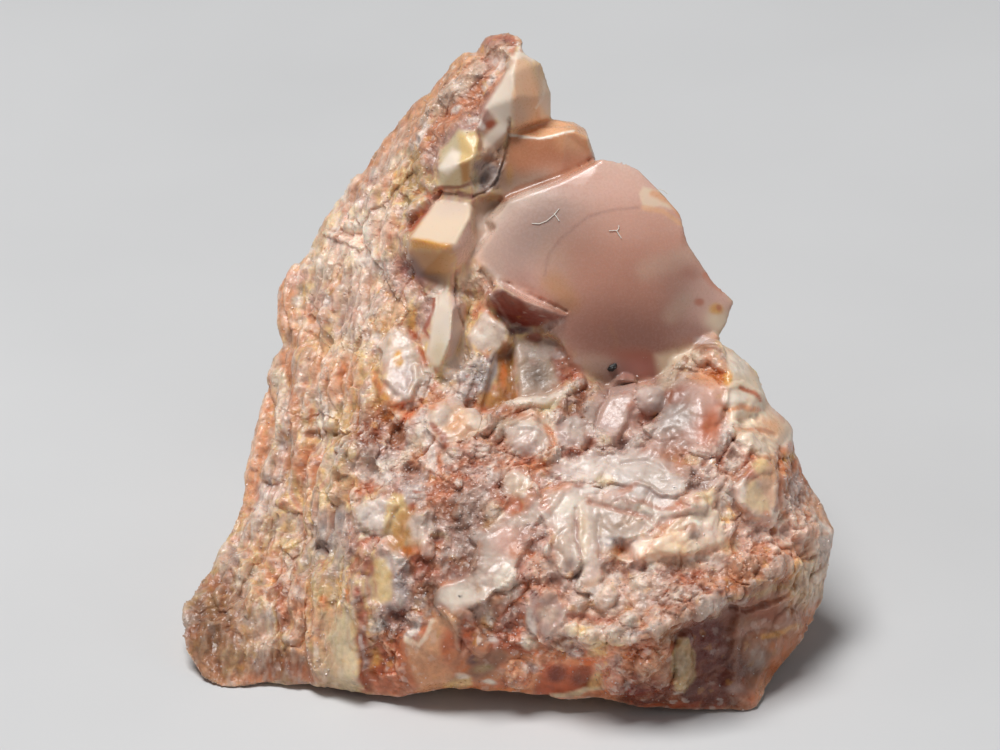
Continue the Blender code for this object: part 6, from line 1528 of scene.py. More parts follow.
    # Painted shade low on the foot, here and in the deep face under the ledge, over the stone's deep red.
    area("deep_red_and_shade", (4.4, 1.2), (5.4, 1.4), (6.6, 1.2), (6.6, 0.2), (5.0, 0.1), (4.4, 0.5), soft=0.3),
    patch("blood", 5.2, 0.9, 0.5, 0.3),
    area("amber", (5.9, 3.5), (6.6, 3.4), (6.7, 2.8), (6.1, 2.7), soft=0.2),
    area("deep_red_and_shade", (6.6, 3.1), (7.4, 3.6), (8.6, 4.0), (9.6, 4.5), (10.2, 3.6), (9.4, 2.6), (9.0, 1.4),
        (9.4, 0.1), (6.6, 0.1), (7.0, 1.2), soft=0.4),
    patch("blood", 7.8, 2.6, 0.8, 1.2, strength=0.8),
    patch("brick", 9.6, 4.1, 1.2, 0.35, 20, strength=0.6),
    patch("amber", 9.9, 3.7, 0.6, 0.25, 20, strength=0.6),
    area("straw", (6.8, 3.0), (7.2, 2.9), (7.5, 2.2), (7.5, 1.4), (7.1, 0.7), (6.6, 0.8), (6.7, 1.4),
        (6.5, 2.2), soft=0.08),
    patch("lemon", 6.85, 1.9, 0.25, 0.6, -10),
    streak("straw", 0.05, (7.2, 2.9), (7.45, 2.2), (7.4, 1.4)),
    streak("ivory", 0.05, (6.65, 0.65), (7.0, 0.75)),
    area("umber", (8.8, 3.6), (9.8, 4.0), (10.6, 4.2), (11.8, 3.6), (11.2, 2.2), (10.2, 0.8), (9.0, 0.3),
        (8.8, 1.6), soft=0.5),
    patch("dusk", 9.7, 3.25, 1.0, 0.22, 12, strength=0.7),
    patch("brick", 10.4, 3.9, 0.9, 0.35, -10),
    # Painted shade low on the right, under the overhang.
    tinge("deep_red_and_shade", 0.7, 8.9, 1.6, 0.7, 0.8),
    patch("mauve", 8.5, 2.4, 0.4, 0.2, 20, strength=0.6),
    area("milk", (9.6, 2.4), (9.9, 2.6), (10.2, 2.35), (10.25, 1.9), (9.9, 1.75), soft=0.2, strength=0.6),
    patch("lilac", 9.1, 0.9, 0.3, 0.2, strength=0.5),
    patch("orange", 10.9, 2.7, 0.5, 0.25, 30, strength=0.7),
    patch("mauve", 11.2, 3.5, 0.5, 0.25, 10, strength=0.6),
    streak("orange", 0.25, (10.0, 0.6), (10.8, 1.9), (11.8, 3.0), (12.4, 4.0)),
    streak("honey", 0.1, (10.2, 3.0), (11.0, 3.1), (11.8, 3.4)),
    area("rust", (10.2, 4.4), (10.8, 4.5), (11.4, 4.6), (11.0, 4.1), (10.4, 4.2)),
    streak("straw", 0.1, (10.0, 4.6), (10.6, 4.9), (11.4, 4.85), (11.7, 4.4)),
    patch("honey", 11.9, 4.4, 0.35, 0.4),
    patch("peach", 10.4, 0.8, 0.3, 0.5, -40),
    streak("rust", 0.1, (5.0, 0.25), (6.6, 0.15), (8.4, 0.15)),
    # Broad veils over all of it, with some painted shade among them
    tinge("milk", 0.4, -6.0, 18.2, 1.6, 2.4, 30),
    tinge("cream", 0.2, -7.6, 13.6, 1.6),
    tinge("beige", 0.45, 9.8, 7.2, 2.0, 1.8),
    tinge("beige", 0.4, 5.0, 4.6, 2.4, 1.1, -10),
    tinge("cream", 0.75, 6.6, 6.5, 1.3, 0.6, -10),
    # Painted shade on the crust under the pink break.
    tinge("mauve", 0.7, 4.8, 11.9, 2.1, 1.5),
    tinge("apricot", 0.5, 1.25, 24.9, 0.6, 1.0),
    tinge("milk", 0.35, -0.3, 26.2, 0.8),
    tinge("beige", 0.45, -1.6, 17.6, 0.9, 1.1),
    # Painted shade in the rusty pit, over its deep red.
    tinge("deep_red_and_shade", 0.65, -5.4, 11.1, 0.9, 0.8),
    tinge("frost", 0.3, 3.4, 5.3, 2.0, 1.6),
    area("garnet", (-0.7, 16.6), (-0.2, 16.75), (0.8, 16.25), (2.3, 15.75), (1.2, 15.35), (0.3, 15.45),
        (-0.3, 15.75), soft=0.2, strength=0.85),
    tinge("coral", 0.3, -1.6, 8.6, 1.3, 1.7),
    tinge("terracotta", 0.35, 9.9, 6.2, 1.4, 1.3),
    tinge("frost", 0.4, 4.0, 9.1, 1.3, 1.0),
    tinge("umber", 0.5, 12.0, 3.4, 1.4, 1.6),
    tinge("straw", 0.5, 11.9, 4.9, 0.9, 0.5, 40),
    tinge("terracotta", 0.45, -12.0, 3.8, 1.9, 2.6),
    tinge("orange", 0.35, 4.2, 1.9, 1.4, 0.9),
    tinge("orange", 0.45, -3.1, 1.6, 1.3, 0.9),
    tinge("rust", 0.65, -8.8, 1.5, 1.5, 1.0),
    tinge("milk", 0.35, 8.4, 9.1, 1.4, 1.0),
    tinge("milk", 0.35, -0.2, 10.4, 1.0, 0.8),
    # Painted shade in the notch under the tip.
    tinge("umber", 0.35, -0.2, 21.8, 0.9, 1.0),
    # Painted shade along the step where the second block meets the pink break.
    streak("clay", 0.16, (-0.2, 20.5), (0.5, 20.9), (1.5, 21.25), (2.4, 21.6), (3.4, 22.0), strength=0.8),
    tinge("frost", 0.35, -6.2, 19.0, 1.3, 1.3, 30),
    tinge("orange", 0.35, -5.6, 11.8, 1.0, 0.9),
    tinge("terracotta", 0.4, 10.4, 5.2, 1.6),
    tinge("cream", 0.45, 12.5, 6.6, 0.6, 2.0),
    tinge("clay", 0.35, 2.9, 21.9, 1.0, 0.7),
    tinge("dusk", 0.25, -1.4, 9.2, 2.4, 1.8),
    # Painted shade in the deep face under the ledge.
    tinge("deep_red_and_shade", 0.65, 8.0, 1.9, 1.4, 2.0),
]

# The two mixtures that run through the whole stone, from their darkest to their palest bands.
STREAKED = ["terracotta", "peach", "tan", "straw", "beige", "tan", "milk", "cream"]
CRUSTED = ["rust", "coral", "tan", "dusk", "rose", "milk", "frost"]

# Painted light and shade: parts of the display face made darker where they lie in shade, or lighter where the
# light falls on them, as a whole: u, v, half sizes in mm, and how much.
PAINTED_LIGHT_AND_SHADE = {
    "tip block": (1.2, 23.8, 1.2, 1.1, 1.20),
    "notch under the tip": (-0.2, 21.2, 1.1, 1.7, 0.58),
    "foot of the second block": (0.9, 21.3, 1.7, 0.7, 0.62),
    "upper left of the pink break": (2.3, 19.3, 2.8, 2.6, 0.72),
    "right rim of the pink break": (7.1, 16.9, 1.7, 2.2, 0.74),
    "dusky corner of the pink break": (4.1, 13.3, 1.5, 1.0, 0.62),
    "white brow": (-6.1, 19.0, 1.9, 1.9, 1.35),
    "rusty hollow": (-4.5, 11.8, 1.3, 1.3, 1.40),
    "notch beside the red wedge": (-1.7, 17.6, 1.2, 1.4, 1.35),
    "beige panel": (1.2, 13.4, 1.3, 1.3, 0.34),
    "saddle beside the panel": (-0.2, 11.6, 1.2, 1.5, 0.70),
    "lilac ribs": (2.8, 12.0, 1.4, 1.3, 0.65),
    "rosy sheet": (6.8, 12.2, 1.7, 3.0, 0.55),
    "right brow": (9.9, 11.8, 1.6, 1.6, 1.25),
    "middle of the crust": (5.6, 9.1, 3.0, 2.6, 0.76),
    "root of the white run": (4.1, 7.4, 1.3, 1.1, 0.80),
    "red gully": (-1.6, 7.3, 1.7, 3.4, 0.56),
    "slope beside the gully": (-0.1, 8.8, 1.1, 1.3, 0.80),
    "cream shelf": (8.2, 7.2, 3.8, 2.4, 1.34),
    "left end of the shelf": (5.0, 6.2, 2.2, 1.2, 1.22),
    "right shoulder": (11.2, 7.6, 1.7, 1.7, 1.30),
    "glassy wall": (9.7, 5.0, 1.7, 1.9, 0.72),
    "right heel": (10.0, 1.8, 1.6, 1.4, 0.62),
    "amber toes": (2.8, 1.8, 3.2, 1.4, 1.85),
    "hollow over the toes": (-3.3, 4.6, 1.5, 1.3, 0.60),
    "straw sole": (-6.0, 1.8, 1.5, 1.2, 1.30),
    "ribs over the straw sole": (-7.4, 6.1, 1.6, 1.8, 0.76),
    "left sole": (-9.2, 1.7, 2.3, 1.5, 0.56),
    "left heel": (-12.0, 3.0, 2.4, 4.4, 0.44),
}
# Veins of the sides and the back: colour, start of the noise, grain in mm and strength.
BEHIND_VEINS = [("rust", 5.0, 5.0, 0.55), ("frost", 47.0, 4.0, 0.60), ("umber", 83.0, 7.0, 0.45)]
VEIN_WIDTH = 0.045  # the height of the noise up to which it counts as a vein
# The mixture of the glassy foot, from its darkest to its palest bands.
GLASSY = ["deep_red_and_shade", "rust", "coral", "terracotta", "orange", "peach", "straw"]
SPECKS = {"frost": 0.14, "rust": 0.06, "honey": 0.05, "plum": 0.03}  # share of the grains of each
SPECK_GRAIN = 0.25  # mm

# Width, length and depth in mm of what runs along the flanks: streaks of colour, threads and veils.
STREAK_COLOUR, THREAD, VEIL = (0.6, 3.0, 0.6), (0.3, 1.0, 0.3), (1.3, 2.6, 1.3)
CAST = (1.0, 0.95, 0.96)  # the faint pink of the whole stone

# Lint caught on the smooth pink break, and one dark crumb below it.
FIBRES = [
    [(1.0, 19.5), (1.3, 19.48), (1.6, 19.6), (1.9, 19.85), (2.1, 20.1)],
    [(1.9, 19.9), (2.0, 19.75), (2.1, 19.6)],
    [(4.1, 19.2), (4.4, 19.22), (4.5, 19.05), (4.6, 18.9)],
    [(4.42, 19.2), (4.5, 19.3), (4.5, 19.42)],
    [(6.1, 20.9), (6.3, 20.85), (6.5, 20.7)],
]
FIBRE_RADIUS, FIBRE_SIDES = 0.018, 5  # mm, and its number of flat sides
FIBRE_SIDEWAYS = Vector((0.0, 1.0, 0.3))  # a direction of the row frame that no thread runs along
LINT_COLOUR = (0.80, 0.76, 0.68)
CRUMB, CRUMB_TURN = (4.25, 13.7), math.radians(35.0)
CRUMB_SIZE = (0.20, 0.13, 0.10)  # mm, half its width, height and depth
CRUMB_COLOUR = (0.012, 0.011, 0.010)

GLINTS = 3500
GLINT_SIZE = (0.018, 0.05)  # mm, smallest and largest
GLINT_TIP, GLINT_RISE = 1.4, 0.2  # length and height of a grain, as shares of its size
GLINT_PALE = (0.88, 0.83, 0.80)  # what the grains pale towards

LEFT_PART, UPPER_PART = -4.0, 13.2  # mm, u and v of the lines between the pieces of the skin

# The opal's own shine and depth, and the height of its finest grain.
OPAL_FINISH = {
    "IOR": 1.45,
    "Subsurface Radius": (1.0, 0.55, 0.35),
    "Subsurface Scale": 0.4 * MM,
    "Coat Weight": 0.15,
    "Coat Roughness": 0.12,
}
BUMP_HEIGHT = 0.03  # mm

# The studio, in metres: half the floor's side, each light's place, size and watts, the point that the
# lights face, and the sky's colour and strength.
FLOOR_HALF, FLOOR_COLOUR = 1.5, (0.62, 0.62, 0.62)
LIGHTS = {"key": ((-0.06, -0.02, 0.28), 0.12, 0.80), "fill": ((0.20, -0.14, 0.10), 0.16, 0.04)}
LIT_POINT = (0.0, 0.0, 0.011)
SKY = ((0.90, 0.94, 1.0, 1.0), 0.15)
LENS, SENSOR = 270.0, 36.0  # mm
CAMERA_TARGET, CAMERA_AWAY = (-0.28, 13.4, 0.0), 0.300  # a point of the face frame, and metres from it


def linear(name):
    """A colour of the list in scene-linear light, with its gloss and clearness."""
    *tone, gloss, clear = COLOURS[name]
    return np.array([*(((c / 255.0 + 0.055) / 1.055) ** 2.4 for c in tone), gloss, clear])


def ramp(names, share):
    """Colours along a run of named ones, for a share from 0 to 1 at each point."""
    stops = np.array([linear(name) for name in names])
    place = np.clip(share, 0.0, 1.0) * (len(names) - 1)
    low = np.minimum(place.astype(int), len(names) - 2)
    return mixed(stops[low], stops[low + 1], place - low)


def mixed(first, second, share):
    """Colours between two sets of them, by a share at each point."""
    return first * (1.0 - share[:, None]) + second * share[:, None]


def toward(colour, name, amount):
    """Colours moved towards a named one by an amount at each point."""
    return colour + amount[:, None] * (linear(name) - colour)


def layered(colour, layers):
    """The colours under layers of named ones, each with an amount at each point."""
    for name, amount in layers:
        colour = toward(colour, name, amount)
    return colour


def fade(distance, soft):
    """1 well inside an edge, 0 well outside, over soft to each side of it."""
    return 1.0 - eased(0.5 + 0.5 * distance / soft)


def scattered(points, grain):
    """A number from 0 to 1 for each cell of grains about grain mm across."""
    return np.array([noise.cell(noise.voronoi(Vector(p))[1][0] * 97.3) for p in points / grain])


def ground_colour(points, display, relief, fold):
    """The streaked flanks, the mottled crust and the glassy foot, before anything is drawn on them."""
    streaked = ramp(STREAKED, 0.5 + 0.45 * fractal(wandering(points) / STREAK_COLOUR, 1.0, 5))
    nodules = scattered(points, NODULE_GRAIN) - 0.5
    # Raised forms and fold crowns run to the paler bands, hollows and creases to the darker ones: partly the
    # crust's own mottling, partly painted light and shade.
    crust_band = 0.5 + 0.30 * fractal(points, 0.9, 4) + 0.15 * relief + 0.15 * nodules
    glassy = ramp(GLASSY, 0.45 + 0.40 * fractal(points, 0.8, 4) + 0.20 * relief)
    crusted = ramp(CRUSTED, crust_band + 0.40 * (fold - FOLD_LEVEL))
    crusted = mixed(crusted, glassy, low_share(points[:, :2], display))
    back_crust = 0.6 * eased(2.0 * fractal(points + 40.0, 7.0, 3)) * (1.0 - display)
    return mixed(streaked, crusted, np.maximum(crust_share(points[:, :2], display), back_crust))


def draw_marks(colour, points, display, rough):
    """Lays the marks of the display face over the colours, one after the other."""
    sway = (0.04 + 0.13 * rough)[:, None]
    plane = points[:, :2] + sway * (swayed(points, 0.8, 1.0) - points[:, :2])
    mottle = 1.0 - rough * np.clip(0.18 - 0.30 * fractal(points + 57.0, 0.5, 3), 0.0, 0.5)
    seen = eased(3.0 * display)
    for mark in PAINT:
        low = np.min(mark.points, axis=0) - mark.reach
        high = np.max(mark.points, axis=0) + mark.reach
        near = np.all((plane > low) & (plane < high), axis=1) & (display > 0.0)
        share = mark.strength * mark.cover(plane[near]) * mottle[near] * seen[near]
        colour[near] = toward(colour[near], mark.colour, share)


def speckled(colour, points, rough):
    """The colours with single grains of other ones strewn over the rough places."""
    grains = scattered(points, SPECK_GRAIN)
    layers, start = [], 0.0
    for name, share in SPECKS.items():
        layers.append((name, 0.40 * rough * ((grains >= start) & (grains < start + share))))
        start += share
    return layered(colour, layers)


def veins_light_and_shade(colour, points, display, rough, fold, crest):
    """The veils and threads of the flanks, and the paler crests and darker hollows of the crust: partly the
    crust's own colour, partly painted light on the crests and fold crowns and painted shade in the hollows
    and creases.
    """
    lined = rough * np.maximum(left_share(points[:, :2], display), 0.4 * (1.0 - display))
    threads = fractal(points / THREAD, 1.0, 3)
    veils = fractal((points + 13.0) / VEIL, 1.0, 4)
    crust = crust_share(points[:, :2], display) * rough
    crown = crust * (1.0 - low_share(points[:, :2], display))
    return layered(colour, [
        ("milk", 0.45 * lined * rising(veils, 0.05, 0.35)),
        ("peach", 0.40 * lined * rising(-veils, 0.05, 0.35)),
        ("frost", 0.30 * lined * display * rising(threads, 0.15, 0.40)),
        ("terracotta", 0.30 * lined * rising(-threads, 0.15, 0.40)),
        # Frost on the fold crowns, tan in the creases, ivory on the crests and coral in the hollows: partly
        # the crust's own colour, partly painted light and painted shade.
        ("frost", 0.30 * crown * rising(fold, 0.75, 0.25)),
        ("tan", 0.35 * crust * rising(-fold, -0.45, 0.35)),
        ("ivory", 0.22 * np.clip(crest, 0.0, 1.0) * rough),
        ("coral", 0.12 * np.clip(-crest, 0.0, 1.0) * rough),
    ])


def painted_behind(colour, points, behind):
    """The sides and the back: broad milky and honeyed zones, thin veins, and the waxy mass under them."""
    zones = fractal(points + 23.0, 6.0, 4)
    clouds = fractal(points + 61.0, 2.4, 4)
    layers = [
        ("milk", 0.60 * behind * rising(zones, 0.02, 0.25)),
        ("terracotta", 0.45 * behind * rising(-zones, 0.05, 0.25)),
        ("honey", 0.35 * behind * rising(clouds, 0.15, 0.3)),
        ("mauve", 0.35 * behind * rising(-clouds, 0.15, 0.3)),
    ]
    for name, start, grain, share in BEHIND_VEINS:
        away = np.abs(fractal(points + start, grain, 3))
        layers.append((name, share * behind * (1.0 - eased(away / VEIN_WIDTH))))
    waxy = within(points[:, :2], CALM_ZONE, 1.6) * behind * eased(0.8 + 2.0 * zones)
    layers += [("shell", 0.70 * waxy), ("peach", 0.50 * waxy * rising(points[:, 1], 21.0, 2.0))]
    return layered(colour, layers)


def light_and_shade_gain(plane, display):
    """How much each part of the display face is darkened by painted shade or lightened by painted light."""
    gain = np.ones(len(plane))
    for u, v, across, along, level in PAINTED_LIGHT_AND_SHADE.values():
        gain *= 1.0 + (level - 1.0) * (1.0 - eased(distance_to(plane, u, v, across, along))) * display
    return gain


def paint(points, display, calm, relief, fold, crest):
    """Colour, gloss and clearness of each point of the stone, in the face frame."""
    rough = 1.0 - calm
    colour = ground_colour(points, display, relief, fold)
    draw_marks(colour, points, display, rough)
    colour = speckled(colour, points, rough)
    colour = veins_light_and_shade(colour, points, display, rough, fold, crest)
    colour = painted_behind(colour, points, 1.0 - display)
    shade = 1.0 + 0.12 * fractal(points + 71.0, 0.4, 3) * rough
    # darker in the small hollows of the rough places: painted shade
    shade *= 1.0 - 0.15 * np.clip(-crest, 0.0, 1.0) * rough
    # painted light and shade over broad parts of the display face
    shade *= light_and_shade_gain(points[:, :2], eased(3.0 * display))
    colour[:, :3] *= shade[:, None] * CAST
    return np.clip(colour, 0.0, 1.0)


def sugar(plane, display):
    """How sugary each point of the display face is, from 0 to 1."""
    amount = np.zeros(len(plane))
    for u, v, across, along, strength in SUGARY:
        away = distance_to(plane, u, v, across, along)
        amount = np.maximum(amount, strength * (1.0 - eased(away - 0.5)))
    return amount * display


def sheet_height(plane):
    """Height of the smooth sheets above the crust, in mm, and how far each point lies on one."""
    covers = [(rise, within(plane, outline, SHEET_EDGE)) for rise, outline in SHEETS.values()]
    height = np.max([rise * cover for rise, cover in covers], axis=0)
    return height, np.max([cover for _, cover in covers], axis=0)


def fine_calm(points, display, calm):
    """How little of the fine relief each point takes: 1 on the waxy breaks, less on the plainer ones."""
    plane = points[:, :2]
    kept = np.ones(len(plane))
    for name in PLAIN_BREAKS:
        kept = np.minimum(kept, 1.0 - (1.0 - PLAIN_CALM) * within(plane, flat(FACETS[name]), SMOOTH_MARGIN))
    calm = calm * kept
    swung = swayed(points, SWAY_GRAIN, SWAY)
    for _, outline in SHEETS.values():
        calm = np.maximum(calm, display * SHEET_CALM * within(swung, outline, 0.1))
    return np.maximum(calm, eased(4.0 * display) * within(plane, CALM_ZONE, 0.1))


def crust_relief(points, display, lined):
    """The finest forms of the display face: flakes, sharp crests, nodules and sugary grains, in mm."""
    crust = crust_share(points[:, :2], display)
    fine = FLAKE_HEIGHT * chips(points, FLAKE_GRAIN) * (1.0 - 0.6 * lined)
    fine += CREST_HEIGHT * crust * (1.0 - 2.0 * np.abs(fractal(points + 5.0, CREST_GRAIN, 4)))
    fine += NODULE_HEIGHT * crust * (knobs(points, NODULE_GRAIN) - 0.5)
    return fine + SUGAR_HEIGHT * sugar(points[:, :2], display) * (knobs(points, SUGAR_GRAIN) - 0.5)


def fine_relief(points, display, calm, fold):
    """How far each point moves along its normal for the small chips, grains and streaks, in mm."""
    plane = points[:, :2]
    lined = 0.6 * (1.0 - display) + left_share(plane, display)
    moved = SMALL_CHIP_HEIGHT * chips(points, SMALL_CHIP_GRAIN) * (1.0 - 0.5 * lined)
    folded = crust_share(plane, display) * (1.0 - 0.7 * low_share(plane, display))
    folded *= 0.35 + 0.65 * eased(0.5 + 1.4 * fractal(points + 90.0, 3.0, 2))
    moved += FOLD_HEIGHT * folded * (fold - FOLD_LEVEL)
    bent = wandering(points)
    moved += lined * SHARD_HEIGHT * chips(bent / SHARD, 1.0)
    moved += lined * FINE_STREAK_HEIGHT * fractal(bent / FINE_STREAK, 1.0, 3)
    shown = display > 0.0
    moved[shown] += crust_relief(points[shown], display[shown], lined[shown]) * display[shown]
    moved *= (1.0 - 0.96 * calm) * rim_share(plane)
    nudged = swayed(points, 0.5, 0.06)
    for half_width, height, run in FINE_STROKES:
        moved += height * display * rounded(distance_to_run(nudged, run) / half_width)
    return moved


def raised_forms(points):
    """Height of the crust's runs and lumps, less the depth of the hollows, in mm."""
    plane = swayed(points, SWAY_GRAIN, SWAY)
    swelling = 1.0 + SWELLING * fractal(points + 31.0, 0.8, 3)
    raised = np.zeros(len(points))
    for run, half_width, height in RIDGES.values():
        raised = np.maximum(raised, height * rounded(distance_to_run(plane, run) / half_width))
    for u, v, radius, height in LUMPS:
        raised = np.maximum(raised, height * rounded(distance_to(plane, u, v) / radius))
    height, share = sheet_height(plane)
    raised = raised * swelling * (1.0 - SHEET_SPREAD * share) + height
    for u, v, radius, depth in PITS:
        raised -= depth * (1.0 - eased(distance_to(plane, u, v) / radius))
    return raised


def thickness_share(plane):
    """0 at the knife edge round the waxy blocks and the pink break, 1 where the stone is thick."""
    rim = distance_to_run(plane, OUTLINE, True)
    return 1.0 - within(plane, CALM_ZONE, 0.3) * (1.0 - eased(rim / KNIFE_MARGIN))


def put_attribute(mesh, name, values, kind="FLOAT"):
    """Stores one value for each corner point of the mesh."""
    attribute = mesh.attributes.new(name, kind, "POINT")
    key = "color" if kind == "FLOAT_COLOR" else "value"
    attribute.data.foreach_set(key, np.ascontiguousarray(values, np.float32).ravel())


def read(source, key, count, width, kind=np.float32):
    """The values under one key of a mesh's list, as rows of width numbers."""
    values = np.empty(count * width, kind)
    source.foreach_get(key, values)
    return values.reshape(-1, width)


def attribute_of(mesh, name):
    """One stored value for each of the mesh's points."""
    return read(mesh.attributes[name].data, "value", len(mesh.vertices), 1)[:, 0].astype(float)


def points_of(mesh):
    """The places of the mesh's points."""
    return read(mesh.vertices, "co", len(mesh.vertices), 3).astype(float)


def normals_of(mesh):
    """The directions in which the surface faces at the mesh's points."""
    return read(mesh.vertex_normals, "vector", len(mesh.vertices), 3).astype(float)


def edges_of(mesh):
    """The numbers of the two points of each edge."""
    return read(mesh.edges, "vertices", len(mesh.edges), 2, np.int32)


def move_points(mesh, points):
    """Puts the mesh's points in new places."""
    mesh.vertices.foreach_set("co", points.astype(np.float32).ravel())
    mesh.update()


def carve(mesh):
    """Gives the block its crust, hollows and broken surface, in the face frame."""
    points, normals = points_of(mesh), normals_of(mesh)
    display = turned_out(normals, -0.1, 0.3)
    calm = fine_calm(points, display, calmness(points[:, :2], display))
    facing = turned_out(normals, -0.1, 0.4)
    raised = np.zeros(len(points))
    raised[facing > 0.0] = raised_forms(points[facing > 0.0])
    raised *= facing
    fold = np.full(len(points), FOLD_LEVEL)
    fold[display > 0.0] = folds(points[display > 0.0], FOLD_GRAIN)
    thick = thickness_share(points[:, :2])
    rough = roughness(points, display) * (1.0 - calm) * thick
    fine = fine_relief(points, display, calm, fold) * thick
    outward = 0.5 * normals + 0.5 * np.array([0.0, 0.0, 1.0])
    move_points(mesh, points + raised[:, None] * outward + (rough + fine)[:, None] * normals)
    put_attribute(mesh, "display", display)
    put_attribute(mesh, "calm", calm)
    put_attribute(mesh, "relief", np.clip(2.0 * raised + 1.5 * rough, -1.0, 1.0))
    put_attribute(mesh, "fold", fold)
    return turned_out(normals, -0.2, 0.4)


def thinned(mesh, front):
    """The carved mesh brought down to the triangle budget, sparing the display face."""
    obj = placed("thinning", mesh)
    group = obj.vertex_groups.new(name="back")
    for index, weight in enumerate(front):
        group.add([index], float(1.0 - FRONT_SHARE * weight), "REPLACE")
    fewer = obj.modifiers.new("fewer", "DECIMATE")
    fewer.ratio = MOST_TRIANGLES / (2.0 * len(mesh.polygons))
    fewer.vertex_group = group.name
    fewer.use_collapse_triangulate = True
    return reshaped(obj)


def stand(mesh):
    """Turns the mesh from the face frame into the row frame in metres, pressed flat at z = 0."""
    shape = bmesh.new()
    shape.from_mesh(mesh)
    for vertex in shape.verts:
        x, y, z = stood(*vertex.co)
        vertex.co = Vector((x - RAW_MIDDLE[0], y - RAW_MIDDLE[1], max(z, 0.0))) * MM
    drop_crumbs(shape)
    bmesh.ops.holes_fill(shape, edges=[edge for edge in shape.edges if edge.is_boundary], sides=0)
    bmesh.ops.triangulate(shape, faces=[face for face in shape.faces if len(face.verts) > 3])
    bmesh.ops.recalc_face_normals(shape, faces=shape.faces)
    shape.to_mesh(mesh)
    shape.free()
    return mesh


def spread(edges, values, rounds):
    """The values with each one moved half way to its neighbours' mean, again and again."""
    first, second = edges.T
    count = np.bincount(edges.ravel(), minlength=len(values))[:, None]
    for _ in range(rounds):
        total = np.zeros_like(values)
        for column in range(values.shape[1]):
            total[:, column] = np.bincount(first, values[second, column], len(values))
            total[:, column] += np.bincount(second, values[first, column], len(values))
        values = 0.5 * values + 0.5 * (total / count)
    return values


def evened(mesh):
    """The mesh with the grid's small steps taken out of its slanting faces."""
    edges, points = edges_of(mesh), points_of(mesh)
    smooth = spread(edges, points, EVEN_ROUNDS)
    smooth += spread(edges, points - smooth, EVEN_ROUNDS)  # gives the stone its girth back
    move_points(mesh, smooth)
    return mesh


def crests(mesh):
    """From -1 in the small hollows to 1 on the small crests of the surface."""
    points = points_of(mesh)
    level = spread(edges_of(mesh), points, HOLLOW_ROUNDS)
    height = np.sum((points - level) * normals_of(mesh), axis=1)
    return np.clip(height / (HOLLOW_DEPTH * MM), -1.0, 1.0)


def row_to_face(points):
    """Points of the row frame, in metres, in the face frame, in mm."""
    x, y, z = points.T / MM
    return np.stack(laid(x + RAW_MIDDLE[0], y + RAW_MIDDLE[1], z), axis=1)


def face_to_row(u, v, w):
    """A point of the face frame, in mm, in the row frame, in metres."""
    x, y, z = stood(u, v, w)
    return Vector((x - RAW_MIDDLE[0], y - RAW_MIDDLE[1], z)) * MM


class Surface:
    """A material on its way, with short calls for the nodes that it is made of."""

    def __init__(self, name):
        self.material = bpy.data.materials.new(name)
        self.material.use_nodes = True
        self.tree = self.material.node_tree
        self.sockets = self.tree.nodes["Principled BSDF"].inputs
        self.coords = self.added("TexCoord").outputs["Object"]

    def added(self, kind):
        """A new node of this kind."""
        return self.tree.nodes.new("ShaderNode" + kind)

    def put(self, value, socket):
        """Sets a socket to a value, or links it to the output that gives the value."""
        if isinstance(value, bpy.types.NodeSocket):
            self.tree.links.new(value, socket)
        else:
            socket.default_value = value

    def stored(self, name, output="Fac"):
        """A value stored on the mesh's points."""
        node = self.added("Attribute")
        node.attribute_name = name
        return node.outputs[output]

    def noise(self, grain, detail=4.0):
        """Smooth noise with forms grain mm across."""
        node = self.added("TexNoise")
        self.put(1.0 / (grain * MM), node.inputs["Scale"])
        self.put(detail, node.inputs["Detail"])
        self.put(self.coords, node.inputs["Vector"])
        return node.outputs["Fac"]

    def mapped(self, value, low, high, from_low=0.0, from_high=1.0):
        """A value moved from one range to another."""
        node = self.added("MapRange")
        limits = {"From Min": from_low, "From Max": from_high, "To Min": low, "To Max": high}
        for name, number in limits.items():
            self.put(number, node.inputs[name])
        self.put(value, node.inputs["Value"])
        return node.outputs["Result"]

    def combined(self, operation, first, second):
        """Two values put together by a Math node."""
        node = self.added("Math")
        node.operation = operation
        self.put(first, node.inputs[0])
        self.put(second, node.inputs[1])
        return node.outputs["Value"]

    def scaled(self, colour, factor):
        """A colour made darker or lighter by a factor."""
        node = self.added("VectorMath")
        node.operation = "SCALE"
        self.put(colour, node.inputs[0])
        self.put(factor, node.inputs["Scale"])
        return node.outputs["Vector"]


def stone_material():
    """Common opal: waxy where it is massive, glassy where it is clear, dull and sugary in the crust."""
    opal = Surface("opal")
    tint = opal.stored("tint", "Color")
    gloss, clear, rough = (opal.stored(name) for name in ("gloss", "clear", "rough"))
    fine = opal.noise(0.12, 3.0)
    grains = opal.noise(0.30, 5.0)
    swing = opal.combined("MULTIPLY", rough, 0.30)
    shade = opal.combined("MULTIPLY", opal.mapped(grains, -1.0, 1.0, 0.25, 0.75), swing)
    opal.put(opal.scaled(tint, opal.combined("ADD", shade, 1.0)), opal.sockets["Base Color"])
    dull = opal.mapped(gloss, 0.62, 0.16)
    opal.put(opal.combined("ADD", dull, opal.mapped(fine, -0.12, 0.12, 0.3, 0.7)), opal.sockets["Roughness"])
    opal.put(opal.mapped(clear, 0.10, 0.8), opal.sockets["Subsurface Weight"])
    for name, value in OPAL_FINISH.items():
        opal.put(value, opal.sockets[name])
    bump = opal.added("Bump")
    opal.put(BUMP_HEIGHT * MM, bump.inputs["Distance"])
    opal.put(opal.mapped(rough, 0.05, 0.8), bump.inputs["Strength"])
    opal.put(fine, bump.inputs["Height"])
    opal.put(bump.outputs["Normal"], opal.sockets["Normal"])
    return opal.material


